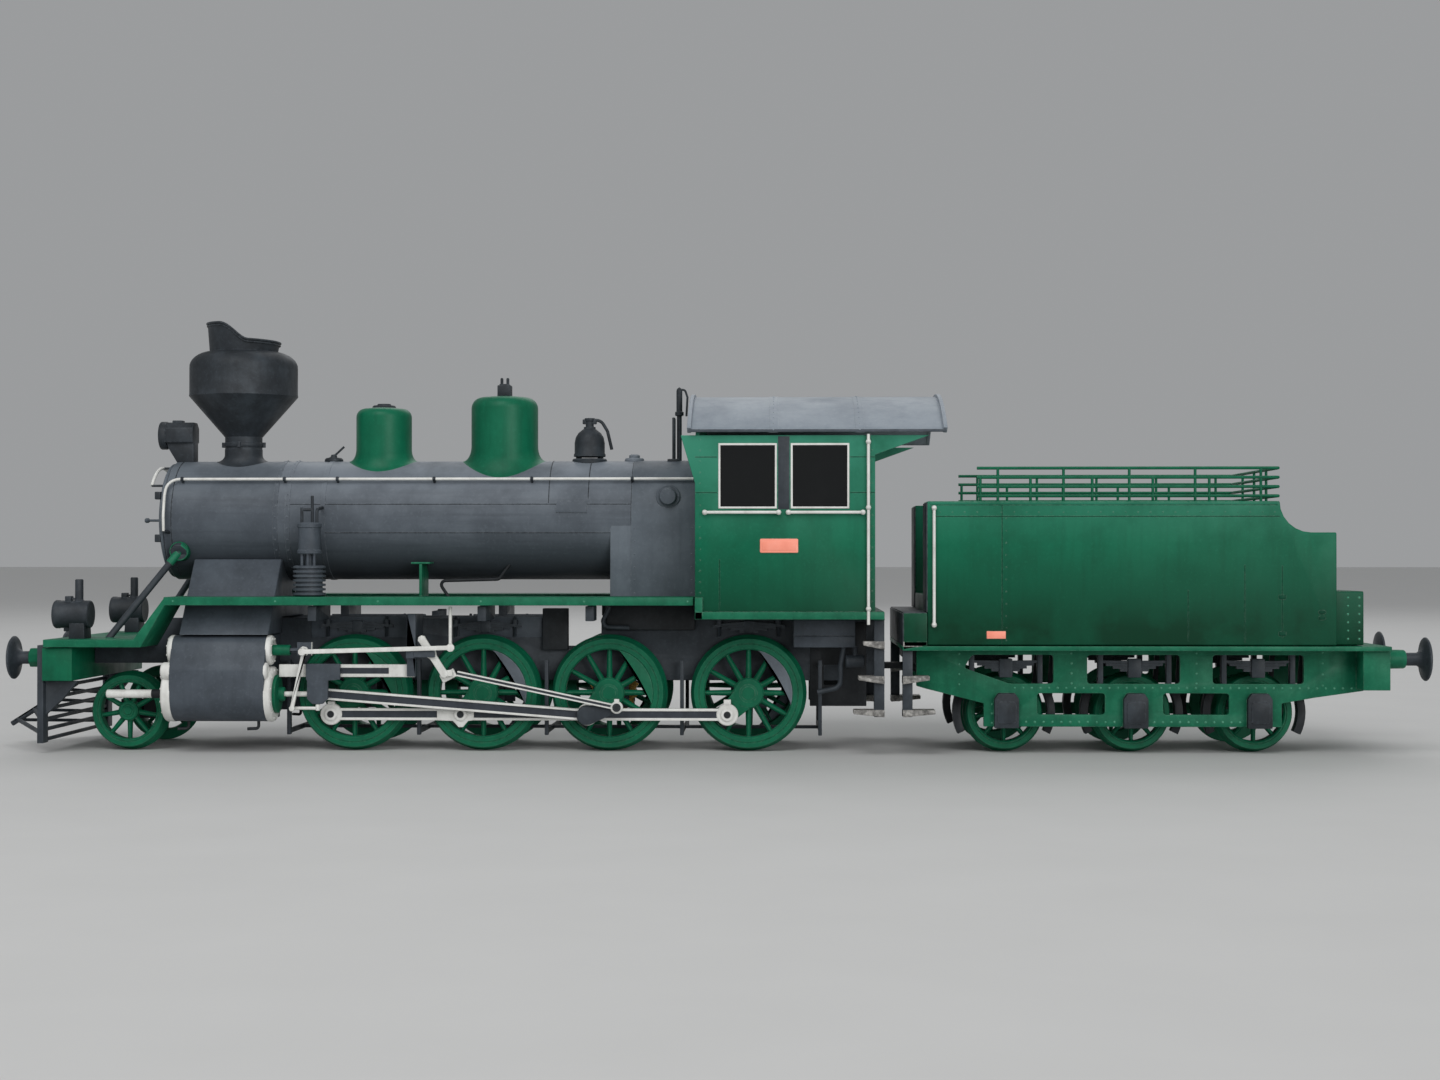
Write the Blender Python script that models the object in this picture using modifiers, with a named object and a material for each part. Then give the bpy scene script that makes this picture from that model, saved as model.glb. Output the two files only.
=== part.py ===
"""Model steam locomotive with tender for 45 mm track, at a scale of 1 to 32.

Sizes are millimetres on the model. X runs from the front (-X) to the tender (+X), -Y is the left side and
Z = 0 is the lowest point of the wheel flanges. Stations along X are measured from a line just inside the
cab's front. The whole model hangs on one empty, which puts the origin under the middle of its length.
"""

import math

import bmesh
import bpy
from bmesh.types import BMEdge
from mathutils import Matrix, Vector

MM = 0.001

# Fits
SEAT = 0.3  # gap between pieces that rest on each other
PLAY = 0.25  # radial room of a pin in its bore
SIDE_PLAY = 0.4  # room between rods that pass each other
LAP = 0.4  # how far joined shapes reach into each other

# Facets of round shapes
PIN_SIDES = 8
ROUND_SIDES = 12
EYE_STEP = 45.0  # degrees
FLAT = 0.005  # radians between faces that count as one
NO_AREA = 1e-10  # square metres, of a face whose corners lie on one line

# Wheels
FLANGE = 1.0
FLANGE_WIDTH = 2.0
BACK_TO_BACK = 41.0
TYRE_WIDTH = 6.0
TYRE_RECESS = 0.3
DRIVER_R = 19.85
DRIVER_RIM = 4.3
DRIVER_HUB_R = 5.4
DRIVER_SPOKES = 12
DRIVER_SIDES = 16
DRIVER_AXLE_R = 2.5
PONY_R = 13.2
TENDER_R = 13.4
CARRYING_RIM = 3.1
CARRYING_HUB_R = 3.2
CARRYING_SPOKES = 8
CARRYING_SIDES = 16
CARRYING_AXLE_R = 2.0
SPOKE_WIDTH = 1.5
SPOKE_ROOT = 0.5  # from the hub to the openings
HUB_PROUD = 0.5
COUNTERWEIGHT_TURN = 157.0  # degrees from the crank
COUNTERWEIGHT_HALF_SPAN = 56.0  # degrees

# Axle stations
FIRST_DRIVER_X = -128.7
DRIVER_PITCHES = (46.5, 45.3, 49.9)
PONY_X = -210.2
FIRST_TENDER_X = 104.0
TENDER_PITCHES = (45.3, 43.3)

# Cranks and rods
CRANK_THROW = 10.6
LEFT_CRANK_TURN = 225.0  # degrees from +X towards +Z
RIGHT_CRANK_TURN = 135.0
CRANK_PIN_R = 1.5
MAIN_PIN_R = 1.7
PIN_HEAD_R = 2.2
PIN_HEAD = 0.6
COUPLING_THICK = 2.0
COUPLING_HEIGHT = 4.3
COUPLING_EYE_R = 3.9
OIL_CUP = 3.2
MAIN_THICK = 2.2
MAIN_HEIGHT = 4.0
MAIN_EYE_R = 3.4
RETURN_THICK = 1.5
RETURN_HEIGHT = 3.2
RETURN_PIN_R = 1.0
RETURN_PIN_FROM_AXLE = (3.5, -4.5)  # on the left side, along X and Z
ECCENTRIC_THICK = 1.5
ECCENTRIC_HEIGHT = 1.9
ECCENTRIC_EYE_R = 2.2
LINK_THICK = 1.4
LINK_WIDTH = 2.7
LINK_ARM_THICK = 1.0
RADIUS_THICK = 1.2
RADIUS_HEIGHT = 1.6
RADIUS_EYE_R = 1.5
ROD_TAPER = 0.02  # share of a rod's height lost from each eye to the next

# Cylinders, crossheads and valve gear
CYLINDER_X = -190.6
CYLINDER_LENGTH = 33.6
CYLINDER_R = 9.7
COVER = 3.0
COVER_LIP = 0.25
VALVE_CHEST_R = 5.2
VALVE_CHEST_ABOVE = 15.65
VALVE_CHEST_OUT = 1.6
PISTON_ROD_R = 1.0
PISTON_ROD_INSIDE = 25.0
PISTON_ROOM = 5.0  # free bore in front of a rod's end
GLAND_R = 2.4
GLAND = 2.6
TAIL_TUBE_R = 1.5
TAIL_TUBE = 21.0
WRIST_X = -139.6
WRIST_PIN_R = 1.2
CROSSHEAD_WIDTH = 7.4
SLIPPER_LENGTH = 12.1
SLIPPER_HEIGHT = 5.6
CROSSHEAD_DROP = 3.4
CROSSHEAD_THICK = 1.8
SLIDE_BAR_Z = 26.9
SLIDE_BAR_HEIGHT = 4.5
SLIDE_BAR_THICK = 1.5
YOKE_X = -107.8
YOKE_WIDTH = 3.1
YOKE_TOP = 49.4
YOKE_ARM_Z = 41.5
LINK_PIVOT_X = -98.9
LINK_PIVOT_Z = 35.3
LINK_PIN_R = 0.9
LINK_LEAN = 57.0  # degrees below +X, from its top to its foot
LINK_TOP_REACH = 6.0
LINK_FOOT_REACH = 8.4
LINK_TOE_REACH = (7.5, -6.7)
VALVE_BLOCK_X = -146.8
VALVE_BLOCK_LENGTH = 5.2
VALVE_BLOCK_HEIGHT = 4.7
VALVE_SPINDLE_R = 0.9
VALVE_SPINDLE_INSIDE = 16.0
VALVE_PIN_R = 0.8
RADIUS_ROD_Z = 37.6
LIFTING_LINK_X = -91.7
LIFTING_LINK_TOP = 52.0
THIN_ROD_R = 0.65
LEVER_FOOT_X = -148.4
LEVER_FOOT_Z = 15.9

# Frame
FRAME_HALF = 16.0
FRAME_PLATE = 2.0
FRAME_TOP = 47.4
FRAME_BOTTOM = 25.0
HORN_BOTTOM = 15.0
HORN_WIDTH = 13.0
FRAME_STEP_X = -202.0
FRAME_FRONT_TOP = 37.3
FRAME_FRONT_BOTTOM = 31.0
FRAME_DEEP_X = -154.0
FRAME_REAR_X = 60.0
STRETCHER = 3.0
CYLINDER_STRETCHER_X = -186.0
CYLINDER_STRETCHER_LENGTH = 26.0
DRAG_BOX_X = 47.0
DRAG_BOX_Z = 33.0
BOARD_BRACKET_XS = (-142.0, -82.0, -44.0)
BOARD_BRACKET_HALF = 42.0
HANGER_STUD_R = 1.0
UNDER_CAB_BOX_X = 29.0
UNDER_CAB_BOX_LENGTH = 22.0
UNDER_CAB_BOX_HALF = 30.0
UNDER_CAB_BOX_Z = 37.5

# Drive
GEAR_R = 9.4
GEAR_TOOTH = 1.5
GEAR_TEETH = 14
GEAR_WIDTH = 6.0
WORM_R = 3.0
WORM_RIDGES = 3
WORM_RIDGE = 0.8
WORM_LENGTH = 11.0
WORM_ROOM = 0.4
SHAFT_R = 1.1
MOTOR_R = 9.5
MOTOR_LENGTH = 31.0
MOTOR_PLATE_X = -28.2
MOTOR_PLATE_Z = 28.5
BEARING_X = -50.0
SHAFT_IN_MOTOR = 6.0

# Brakes
HANGER_XS = (-152.6, -105.6, -59.55, -10.9, 38.6)
HANGER_THICK = 1.3
HANGER_INNER = 21.5
HANGER_WIDTH = 2.6
HANGER_BOTTOM = 5.6
HANGER_TOP = 32.5
BRAKE_BEAM = 1.8
BRAKE_PULL_HALF = 2.0

# Pony truck
PONY_PIVOT_X = -165.0
PONY_PIVOT_R = 1.8
PONY_BAR_INNER = 12.8
PONY_BAR_THICK = 2.2
PONY_BAR_REACH = 6.0
PONY_BAR_HEIGHT = 7.0
PONY_TONGUE_HALF = 4.0
PONY_TONGUE_THICK = 3.0

# Running board and front end
BOARD_HALF = 45.0
BOARD_INNER = 23.0
BOARD_TOP = 55.45
BOARD_THICK = 2.9
BOARD_FRONT_X = -192.3
BOARD_REAR_X = -6.0
DECK_TOP = 40.45
DECK_THICK = 2.7
DECK_REAR_X = -203.1
DECK_FRONT_X = -235.0
BRACE_R = 1.3
BRACE_FOOT = (-216.5, 30.0)
BRACE_TOP_X = -193.3
BRACE_TOP_Z = 71.6
BRACE_BOSS_R = 3.3
BRACE_BOSS = 2.4
BEAM_X = -236.0
BEAM_LENGTH = 11.0
BEAM_HALF = 43.0
BEAM_BOTTOM = 25.8
POST_THICK = 2.2
POST_INNER = 35.0
POST_WIDTH = 5.5
POST_BOTTOM = 3.6
POST_TOP = 38.3
GUSSET_BOTTOM = 12.0
SLAT_R = 0.85
SLAT_COUNT = 6
SLAT_LOW = 4.6
SLAT_PITCH = 3.6
NOSE_X = -261.6
NOSE_Z = 7.4
NOSE_SLATS = 4

# Buffers
BUFFER_HALF = 30.0
BUFFER_Z = 33.5
FRONT_BUFFER_X = -251.0
REAR_BUFFER_X = 253.7
BUFFER_HEAD_R = 7.7
BUFFER_HEAD = 1.8
BUFFER_CROWN = 1.2
BUFFER_SHANK_R = 2.3
SOCKET_R = 3.2
FRONT_SOCKET = 8.2
REAR_SOCKET = 8.4

# Boiler and its fittings
BOILER_R = 21.83
BOILER_Z = 83.05
BOILER_SIDES = 28
SMOKEBOX_X = -199.1
SMOKEBOX_WALL = 1.8
SMOKEBOX_DEPTH = 30.0
BOILER_REAR_X = -5.7
FIREBOX_X = -36.9
FIREBOX_HALF = 21.7
FIREBOX_BOTTOM = 48.0
SADDLE_X = -188.2
SADDLE_LENGTH = 31.8
SADDLE_TOP = 68.7
SADDLE_TOP_HALF = 19.2
SADDLE_FOOT_HALF = 40.0
DOOR_EDGE = 1.0
DOOR_RIM = 1.4
DOOR_CROWN = 2.2
DOOR_KNOB_R = 1.1
DOOR_KNOB = 9.0
DOOR_RAIL_R = 0.6
DOOR_RAIL_RING = 19.35
DOOR_RAIL_OUT = 4.2
DOOR_RAIL_TURN = 100.0  # degrees of arc over the top
DOOR_RAIL_STEPS = 8
CHIMNEY_X = -174.9
CHIMNEY_BASE_R = 9.7
CHIMNEY_STEM_R = 6.8
CHIMNEY_RING_R = 7.8
CHIMNEY_BOWL_R = 20.3
CHIMNEY_NECK_R = 12.8
CHIMNEY_WALL = 1.3
CHIMNEY_STEM_TOP = 9.3  # heights above the boiler's top
CHIMNEY_RING_Z = 6.0
CHIMNEY_CONE_TOP = 24.0
CHIMNEY_BOWL_TOP = 35.6
CHIMNEY_NECK_Z = 41.1
HOOD_FRONT_TOP = 52.4
HOOD_REAR_TOP = 43.8
SAND_DOME_X = -122.5
SAND_DOME_R = 10.2
SAND_DOME_FLARE = 2.2
SAND_DOME_HEIGHT = 19.9
SAND_CAP_R = 4.2
SAND_CAP = 1.5
STEAM_DOME_X = -77.6
STEAM_DOME_R = 12.3
STEAM_DOME_FLARE = 3.0
STEAM_DOME_HEIGHT = 23.9
VALVE_BOX_HALF = 2.5
VALVE_BOX = 4.2
VALVE_BOX_PIN_R = 0.7
VALVE_BOX_PIN = 2.8
DOME_SKIRT = 5.5
DOME_SHOULDER = 5.0
SAFETY_X = -46.1
SAFETY_R = 5.8
SAFETY_BASE = 1.8
SAFETY_BELL = 9.8
SAFETY_STEM_R = 1.5
SAFETY_STEM = 4.6
SAFETY_LEG_X = 4.0
SAFETY_LEG_R = 1.1
SAFETY_LEVER_R = 0.7
SAFETY_LEVER_REACH = 8.2
WHISTLE_X = -13.5
WHISTLE_PLATE = 3.3
WHISTLE_PLATE_HEIGHT = 16.0
WHISTLE_R = 1.0
WHISTLE_HEIGHT = 27.4
HEADLIGHT_X = -203.1
HEADLIGHT_LENGTH = 10.5
HEADLIGHT_HALF = 4.6
HEADLIGHT_Z = 114.5
HEADLIGHT_LENS_R = 5.3
HEADLIGHT_LENS = 2.6
HEADLIGHT_BODY_LOW = 2.9
HEADLIGHT_BODY_HIGH = 5.0
HEADLIGHT_CAP = 0.6
HEADLIGHT_POST_HALF = 3.0
PUMP_X = -142.3
PUMP_OUT = 30.5
PUMP_STEAM_R = 4.2
PUMP_STEAM_Z = 70.6
PUMP_STEAM_TOP = 81.2
PUMP_AIR_R = 4.9
PUMP_FIN = 1.0
PUMP_FINS = 3
PUMP_AIR_TOP = 66.3
PUMP_NECK_R = 2.2
PUMP_PAD_HALF = 2.2
RAIL_R = 0.75
RAIL_Z = 97.8
RAIL_STANDOFF = 2.3
RAIL_FRONT_X = -193.6
RAIL_DROP_X = -198.3
RAIL_DROP_Z = 78.7
RAIL_POST_XS = (-192.9, -155.5, -136.2, -101.0, -65.5, -29.1)
RAIL_POST_R = 1.1
LAMP_X = -234.2
LAMP_LENGTH = 13.0
LAMP_R = 5.0
LAMP_OUT = 33.6
LAMP_Z = 49.1
LAMP_RIM = 1.4
LAMP_FOOT_X = -228.3
LAMP_FOOT_LENGTH = 5.5
LAMP_FOOT_HALF = 3.0
LAMP_FLUE_X = -225.7
LAMP_FLUE_R = 1.4
LAMP_FLUE_TOP = 61.5

# Cab
CAB_X = -5.4
CAB_LENGTH = 62.8
CAB_HALF = 46.0
CAB_WALL = 1.5
CAB_FLOOR_Z = 47.7
CAB_FLOOR = 2.9
CAB_FLOOR_REAR = 60.5
CAB_TOP = 112.0
WINDOW_XS = (2.9, 28.1)
WINDOW_WIDTH = 20.2
WINDOW_Z = 86.5
WINDOW_HEIGHT = 22.6
FRONT_WINDOW_Y = 27.0
FRONT_WINDOW_WIDTH = 13.0
FRONT_WINDOW_HEIGHT = 18.0
ROOF_X = -8.2
ROOF_LENGTH = 90.7
ROOF_HALF = 48.0
ROOF_TOP = 128.3
ROOF_RISE = 14.7
ROOF_THICK = 2.0
ROOF_STEPS = 10
BRACKET_FRONT = 5.0
BRACKET_FRONT_DROP = 18.0
BRACKET_REAR = 19.0
BRACKET_REAR_DROP = 7.0
GLASS = 0.8
STEP_POST_X = 57.2
STEP_POST_WIDTH = 3.4
STEP_BOTTOM = 13.4
STEP_TREAD = 1.3
STEP_TREAD_LENGTH = 7.6
STEP_TREAD_DEPTH = 8.0
STEP_PITCH = 11.8
STEP_COUNT = 3

# Drawbar
DRAW_PIN_R = 1.8
ENGINE_PIN_X = 55.5
TENDER_PIN_X = 74.5
DRAWBAR_Z = 28.6
DRAWBAR_THICK = 2.2
DRAWBAR_HALF = 4.0
PIN_BELOW = 1.0

# Tender
TENDER_HALF = 45.0
FOOTPLATE_Z = 36.9
FOOTPLATE = 1.6
TENDER_FRONT_X = 67.0
TENDER_REAR_X = 236.0
PLATFORM_TOP = 50.2
TANK_X = 75.6
TANK_HALF = 44.0
TANK_TOP = 89.0
TANK_STEP_X = 208.6
TANK_SCOOP = 10.9
TANK_REAR_X = 217.3
TANK_WALL = 9.0
TANK_GATE_HALF = 25.0
BUNKER_FLOOR = 56.0
BUNKER_FRONT = 14.0
BUNKER_LENGTH = 94.0
TOOL_BOX_X = 227.6
TOOL_BOX_HALF = 40.0
TOOL_BOX_TOP = 57.6
TENDER_PLATE_OUT = 33.6
TENDER_PLATE = 2.0
TENDER_PLATE_LOW = 9.5
TENDER_PLATE_X = 70.0
TENDER_PLATE_REAR = 230.0
TENDER_PLATE_END_Z = 23.0
TENDER_PLATE_BEND_Z = 17.8
TENDER_LOW_X = 96.5
TENDER_LOW_REAR = 201.2
UPPER_WINDOW_Z = 25.1
UPPER_WINDOW_HEIGHT = 9.5
UPPER_WINDOW_HALF = 15.8
LOWER_WINDOW_Z = 14.0
LOWER_WINDOW_HEIGHT = 7.5
LOWER_WINDOW_HALF = 11.7
AXLE_BOX_WIDTH = 8.6
AXLE_BOX_Z = 9.2
AXLE_BOX_HEIGHT = 12.4
AXLE_BOX_OUT = 3.2
JOURNAL_R = 1.5
JOURNAL_IN_BOX = 1.6
SPRING_HALF = 12.9
SPRING_Z = 27.9
SPRING_HEIGHT = 4.8
SPRING_BUCKLE_HALF = 2.6
SPRING_THICK = 2.2
TENDER_BEAM_X = 226.6
TENDER_BEAM_HALF = 43.0
TENDER_BEAM_BOTTOM = 23.2
TENDER_STEP_X = 67.3
FUEL_RAIL_X = 93.2
FUEL_RAIL_LENGTH = 105.0
FUEL_RAIL_HALF = 40.0
FUEL_RAIL_Z = 90.9
FUEL_RAIL_PITCH = 3.25
FUEL_RAIL_COUNT = 4
FUEL_RAIL_R = 0.6
FUEL_POST_PITCH = 22.7
FUEL_POST_COUNT = 5
FUEL_POST_INSET = 7.0

# Places worked out from the sizes above
DRIVER_Z = FLANGE + DRIVER_R
PONY_Z = FLANGE + PONY_R
TENDER_Z = FLANGE + TENDER_R
DRIVER_XS = [FIRST_DRIVER_X + sum(DRIVER_PITCHES[:i]) for i in range(len(DRIVER_PITCHES) + 1)]
TENDER_XS = [FIRST_TENDER_X + sum(TENDER_PITCHES[:i]) for i in range(len(TENDER_PITCHES) + 1)]
WHEEL_BACK = BACK_TO_BACK / 2
WHEEL_FACE = WHEEL_BACK + TYRE_WIDTH
HUB_FACE = WHEEL_FACE + HUB_PROUD
COUPLING_IN = HUB_FACE + SIDE_PLAY
COUPLING_OUT = COUPLING_IN + COUPLING_THICK
HEAD_OUT = COUPLING_OUT + PLAY + PIN_HEAD
MAIN_IN = HEAD_OUT + SIDE_PLAY
MAIN_OUT = MAIN_IN + MAIN_THICK
RETURN_IN = MAIN_OUT + SIDE_PLAY
RETURN_OUT = RETURN_IN + RETURN_THICK
ECCENTRIC_IN = RETURN_OUT + SIDE_PLAY
ECCENTRIC_OUT = ECCENTRIC_IN + ECCENTRIC_THICK
LINK_IN = ECCENTRIC_OUT + SIDE_PLAY
LINK_OUT = LINK_IN + LINK_THICK
LINK_ARM_IN = LINK_OUT + SIDE_PLAY
LINK_ARM_OUT = LINK_ARM_IN + LINK_ARM_THICK
RADIUS_IN = LINK_ARM_OUT + SIDE_PLAY
RADIUS_OUT = RADIUS_IN + RADIUS_THICK
FRAME_FRONT_X = BEAM_X + BEAM_LENGTH
PISTON_Y = MAIN_OUT + SIDE_PLAY + PISTON_ROD_R + LAP / 2
SLIDE_BAR_OUT = RETURN_IN + SLIDE_BAR_THICK
CROSSHEAD_IN = SLIDE_BAR_OUT + SEAT
CROSSHEAD_OUT = CROSSHEAD_IN + CROSSHEAD_THICK
CHEST_Y = PISTON_Y + VALVE_CHEST_OUT
CHEST_Z = DRIVER_Z + VALVE_CHEST_ABOVE
CYLINDER_REAR = CYLINDER_X + CYLINDER_LENGTH
COVER_REAR = CYLINDER_REAR + COVER
FRAME_OUT = FRAME_HALF + FRAME_PLATE
BOARD_BOTTOM = BOARD_TOP - BOARD_THICK
DECK_BOTTOM = DECK_TOP - DECK_THICK
BOILER_TOP = BOILER_Z + BOILER_R
MAIN_X = DRIVER_XS[2]
WORM_Z = DRIVER_Z + GEAR_R + WORM_ROOM + WORM_R
CAB_REAR = CAB_X + CAB_LENGTH
CAB_FLOOR_TOP = CAB_FLOOR_Z + CAB_FLOOR
ROOF_R = (ROOF_HALF**2 + ROOF_RISE**2) / (2 * ROOF_RISE)
ROOF_CENTRE_Z = ROOF_TOP - ROOF_R
FOOTPLATE_TOP = FOOTPLATE_Z + FOOTPLATE
TENDER_PLATE_IN = TENDER_PLATE_OUT - TENDER_PLATE
NOSE_TIP_X = NOSE_X - SLAT_R / 2  # front of the nose bar, which is cut square
ORIGIN_SHIFT = -(NOSE_TIP_X + REAR_BUFFER_X) / 2
SIDES = {"left": -1, "right": 1}

# Finishes: colour, roughness, metallic
FINISHES = {
    "green": ((0.014, 0.171, 0.080), 0.45, 0.0),
    "slate": ((0.074, 0.091, 0.109), 0.55, 0.1),
    "dark": ((0.024, 0.031, 0.040), 0.6, 0.1),
    "roof": ((0.26, 0.30, 0.34), 0.6, 0.0),
    "white": ((0.80, 0.80, 0.79), 0.4, 0.0),
    "steel": ((0.45, 0.46, 0.48), 0.35, 0.9),
    "brass": ((0.62, 0.44, 0.16), 0.35, 0.9),
    "glass": ((0.02, 0.025, 0.03), 0.08, 0.0),
}


def start_scene():
    """Empties the scene and returns the collections for the parts and their cutters."""
    for obj in list(bpy.data.objects):
        bpy.data.objects.remove(obj, do_unlink=True)
    made = []
    for name in ("steam_locomotive", "cutters"):
        collection = bpy.data.collections.new(name)
        bpy.context.scene.collection.children.link(collection)
        made.append(collection)
    return made


PARTS, CUTTERS = start_scene()


def keep(mesh_name, mesh):
    obj = bpy.data.objects.new(mesh_name, mesh)
    PARTS.objects.link(obj)
    return obj


def from_bmesh(bm):
    bmesh.ops.recalc_face_normals(bm, faces=bm.faces)
    mesh = bpy.data.meshes.new("shape")
    bm.to_mesh(mesh)
    bm.free()
    return keep("shape", mesh)


def baked(obj, matrix):
    """A plain mesh of an evaluated curve or modified profile, moved by the matrix."""
    bpy.context.view_layer.update()
    graph = bpy.context.evaluated_depsgraph_get()
    mesh = bpy.data.meshes.new_from_object(obj.evaluated_get(graph))
    bpy.data.objects.remove(obj, do_unlink=True)
    bm = bmesh.new()
    bm.from_mesh(mesh)
    bpy.data.meshes.remove(mesh)
    bmesh.ops.remove_doubles(bm, verts=bm.verts, dist=0.001 * MM)
    thin = [max(face.edges, key=BMEdge.calc_length) for face in bm.faces if face.calc_area() < NO_AREA]
    bmesh.ops.dissolve_edges(bm, edges=list(set(thin)), use_verts=False)
    bmesh.ops.dissolve_limit(bm, angle_limit=FLAT, verts=bm.verts, edges=bm.edges)
    bmesh.ops.transform(bm, matrix=matrix, verts=bm.verts)
    return from_bmesh(bm)


def box(x, y, z):
    """A block between two limits on each axis."""
    low = Vector([min(pair) for pair in (x, y, z)]) * MM
    high = Vector([max(pair) for pair in (x, y, z)]) * MM
    bm = bmesh.new()
    size = high - low
    place = Matrix.Translation((low + high) / 2) @ Matrix.Diagonal((*size, 1))
    bmesh.ops.create_cube(bm, size=1, matrix=place)
    return from_bmesh(bm)


def strut(start, end, radius, sides=PIN_SIDES):
    """A round bar between two points."""
    start = Vector(start) * MM
    end = Vector(end) * MM
    along = end - start
    spin = Matrix.Rotation(math.pi / sides, 4, "Z")
    place = Matrix.Translation((start + end) / 2) @ along.to_track_quat("Z", "Y").to_matrix().to_4x4() @ spin
    bm = bmesh.new()
    bmesh.ops.create_cone(
        bm,
        cap_ends=True,
        segments=sides,
        radius1=radius * MM,
        radius2=radius * MM,
        depth=along.length,
        matrix=place,
    )
    return from_bmesh(bm)


def disc(x, z, radius, y, sides=PIN_SIDES):
    """A round bar along Y between two limits."""
    return strut((x, min(y), z), (x, max(y), z), radius, sides)


def slab(plane, outline, span, holes=()):
    """A flat outline with holes, as thick as the span along the plane's normal."""
    curve = bpy.data.curves.new("outline", "CURVE")
    curve.dimensions = "2D"
    curve.fill_mode = "BOTH"
    curve.extrude = abs(span[1] - span[0]) / 2 * MM
    for loop in (outline, *holes):
        spline = curve.splines.new("POLY")
        spline.points.add(len(loop) - 1)
        spline.use_cyclic_u = True
        for point, (a, b) in zip(spline.points, loop):
            point.co = (a * MM, b * MM, 0, 1)
    middle = (span[0] + span[1]) / 2 * MM
    axes = {
        "XZ": (Vector((1, 0, 0)), Vector((0, 0, 1)), Vector((0, -1, 0)), Vector((0, middle, 0))),
        "YZ": (Vector((0, 1, 0)), Vector((0, 0, 1)), Vector((1, 0, 0)), Vector((middle, 0, 0))),
        "XY": (Vector((1, 0, 0)), Vector((0, 1, 0)), Vector((0, 0, 1)), Vector((0, 0, middle))),
    }[plane]
    turn = Matrix(axes[:3]).transposed().to_4x4()
    obj = keep("outline", curve)
    return baked(obj, Matrix.Translation(axes[3]) @ turn)


def turned(axis, centre, profile, sides, closed=False, spin=0.0):
    """A profile of (radius, place along the axis) swept round an axis through the centre."""
    mesh = bpy.data.meshes.new("profile")
    points = [(radius * MM, 0, along * MM) for radius, along in profile]
    edges = [(i, i + 1) for i in range(len(points) - 1)]
    if closed:
        edges.append((len(points) - 1, 0))
    mesh.from_pydata(points, edges, [])
    obj = keep("profile", mesh)
    screw = obj.modifiers.new("turn", "SCREW")
    screw.steps = sides
    screw.render_steps = sides
    screw.use_merge_vertices = True
    screw.merge_threshold = 0.001 * MM
    turn = {
        "X": Matrix.Rotation(math.pi / 2, 4, "Y"),
        "Y": Matrix.Rotation(-math.pi / 2, 4, "X"),
        "Z": Matrix.Identity(4),
    }[axis]
    place = Matrix.Translation(Vector(centre) * MM) @ turn @ Matrix.Rotation(spin, 4, "Z")
    return baked(obj, place)


def bar(start, end, height, y):
    """A flat bar in the XZ plane between two points."""
    start = Vector(start)
    end = Vector(end)
    across = (end - start).normalized().orthogonal() * height / 2
    corners = [start + across, end + across, end - across, start - across]
    return slab("XZ", [tuple(corner) for corner in corners], y)


def wire(points, radius, closed=False):
    """A thin bar through the points, closed into a ring or with its ends filled."""
    curve = bpy.data.curves.new("wire", "CURVE")
    curve.dimensions = "3D"
    curve.bevel_depth = radius * MM
    curve.bevel_resolution = 0
    curve.use_fill_caps = not closed
    spline = curve.splines.new("POLY")
    spline.points.add(len(points) - 1)
    spline.use_cyclic_u = closed
    for point, place in zip(spline.points, points):
        point.co = (*(Vector(place) * MM), 1)
    return baked(keep("wire", curve), Matrix.Identity(4))


def join(first, *others):
    """Fuses shapes into the first one."""
    for other in others:
        modifier = first.modifiers.new("join", "BOOLEAN")
        modifier.operation = "UNION"
        modifier.object = other
    joined = baked(first, Matrix.Identity(4))
    for other in others:
        bpy.data.objects.remove(other, do_unlink=True)
    return joined


def cut(obj, *cutters):
    """Cuts shapes from an object and keeps the cutters by themselves."""
    for cutter in cutters:
        PARTS.objects.unlink(cutter)
        CUTTERS.objects.link(cutter)
        cutter.name = "cutter"
        cutter.hide_render = True
        cutter.display_type = "WIRE"
        modifier = obj.modifiers.new("cut", "BOOLEAN")
        modifier.operation = "DIFFERENCE"
        modifier.object = cutter
    return obj


def finish(obj, name, look, origin=(0, 0, 0)):
    """Names a part, sets its material and puts its origin on its joint's axis."""
    colour, roughness, metallic = FINISHES[look]
    material = bpy.data.materials.new(name + "_" + look)
    material.use_nodes = True
    shader = material.node_tree.nodes["Principled BSDF"]
    shader.inputs["Base Color"].default_value = (*colour, 1)
    shader.inputs["Roughness"].default_value = roughness
    shader.inputs["Metallic"].default_value = metallic
    if obj.modifiers:
        tidy = obj.modifiers.new("tidy", "DECIMATE")
        tidy.decimate_type = "DISSOLVE"
        tidy.angle_limit = FLAT
    obj.data.materials.clear()
    obj.data.materials.append(material)
    obj.name = name
    place = Vector(origin) * MM
    obj.data.transform(Matrix.Translation(-place))
    obj.location = place
    obj.data.shade_smooth()
    obj.data.set_sharp_from_angle(angle=math.radians(35))
    return obj


def span(side, inner, outer):
    """Limits along Y on one side of the model."""
    return (side * inner, side * outer)


def bore_r(radius):
    """Corner radius of a faceted bore that clears a pin all round."""
    return (radius + PLAY) / math.cos(math.pi / PIN_SIDES)


def arc(centre, radius, first, last, steps):
    """Points on an arc, in degrees, both ends included."""
    turns = [math.radians(first + (last - first) * i / steps) for i in range(steps + 1)]
    return [(centre[0] + radius * math.cos(t), centre[1] + radius * math.sin(t)) for t in turns]


def ring(centre, radius, sides=PIN_SIDES):
    """Corner points of a round hole."""
    return arc(centre, radius, 180 / sides, 360 - 180 / sides, sides - 1)


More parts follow.
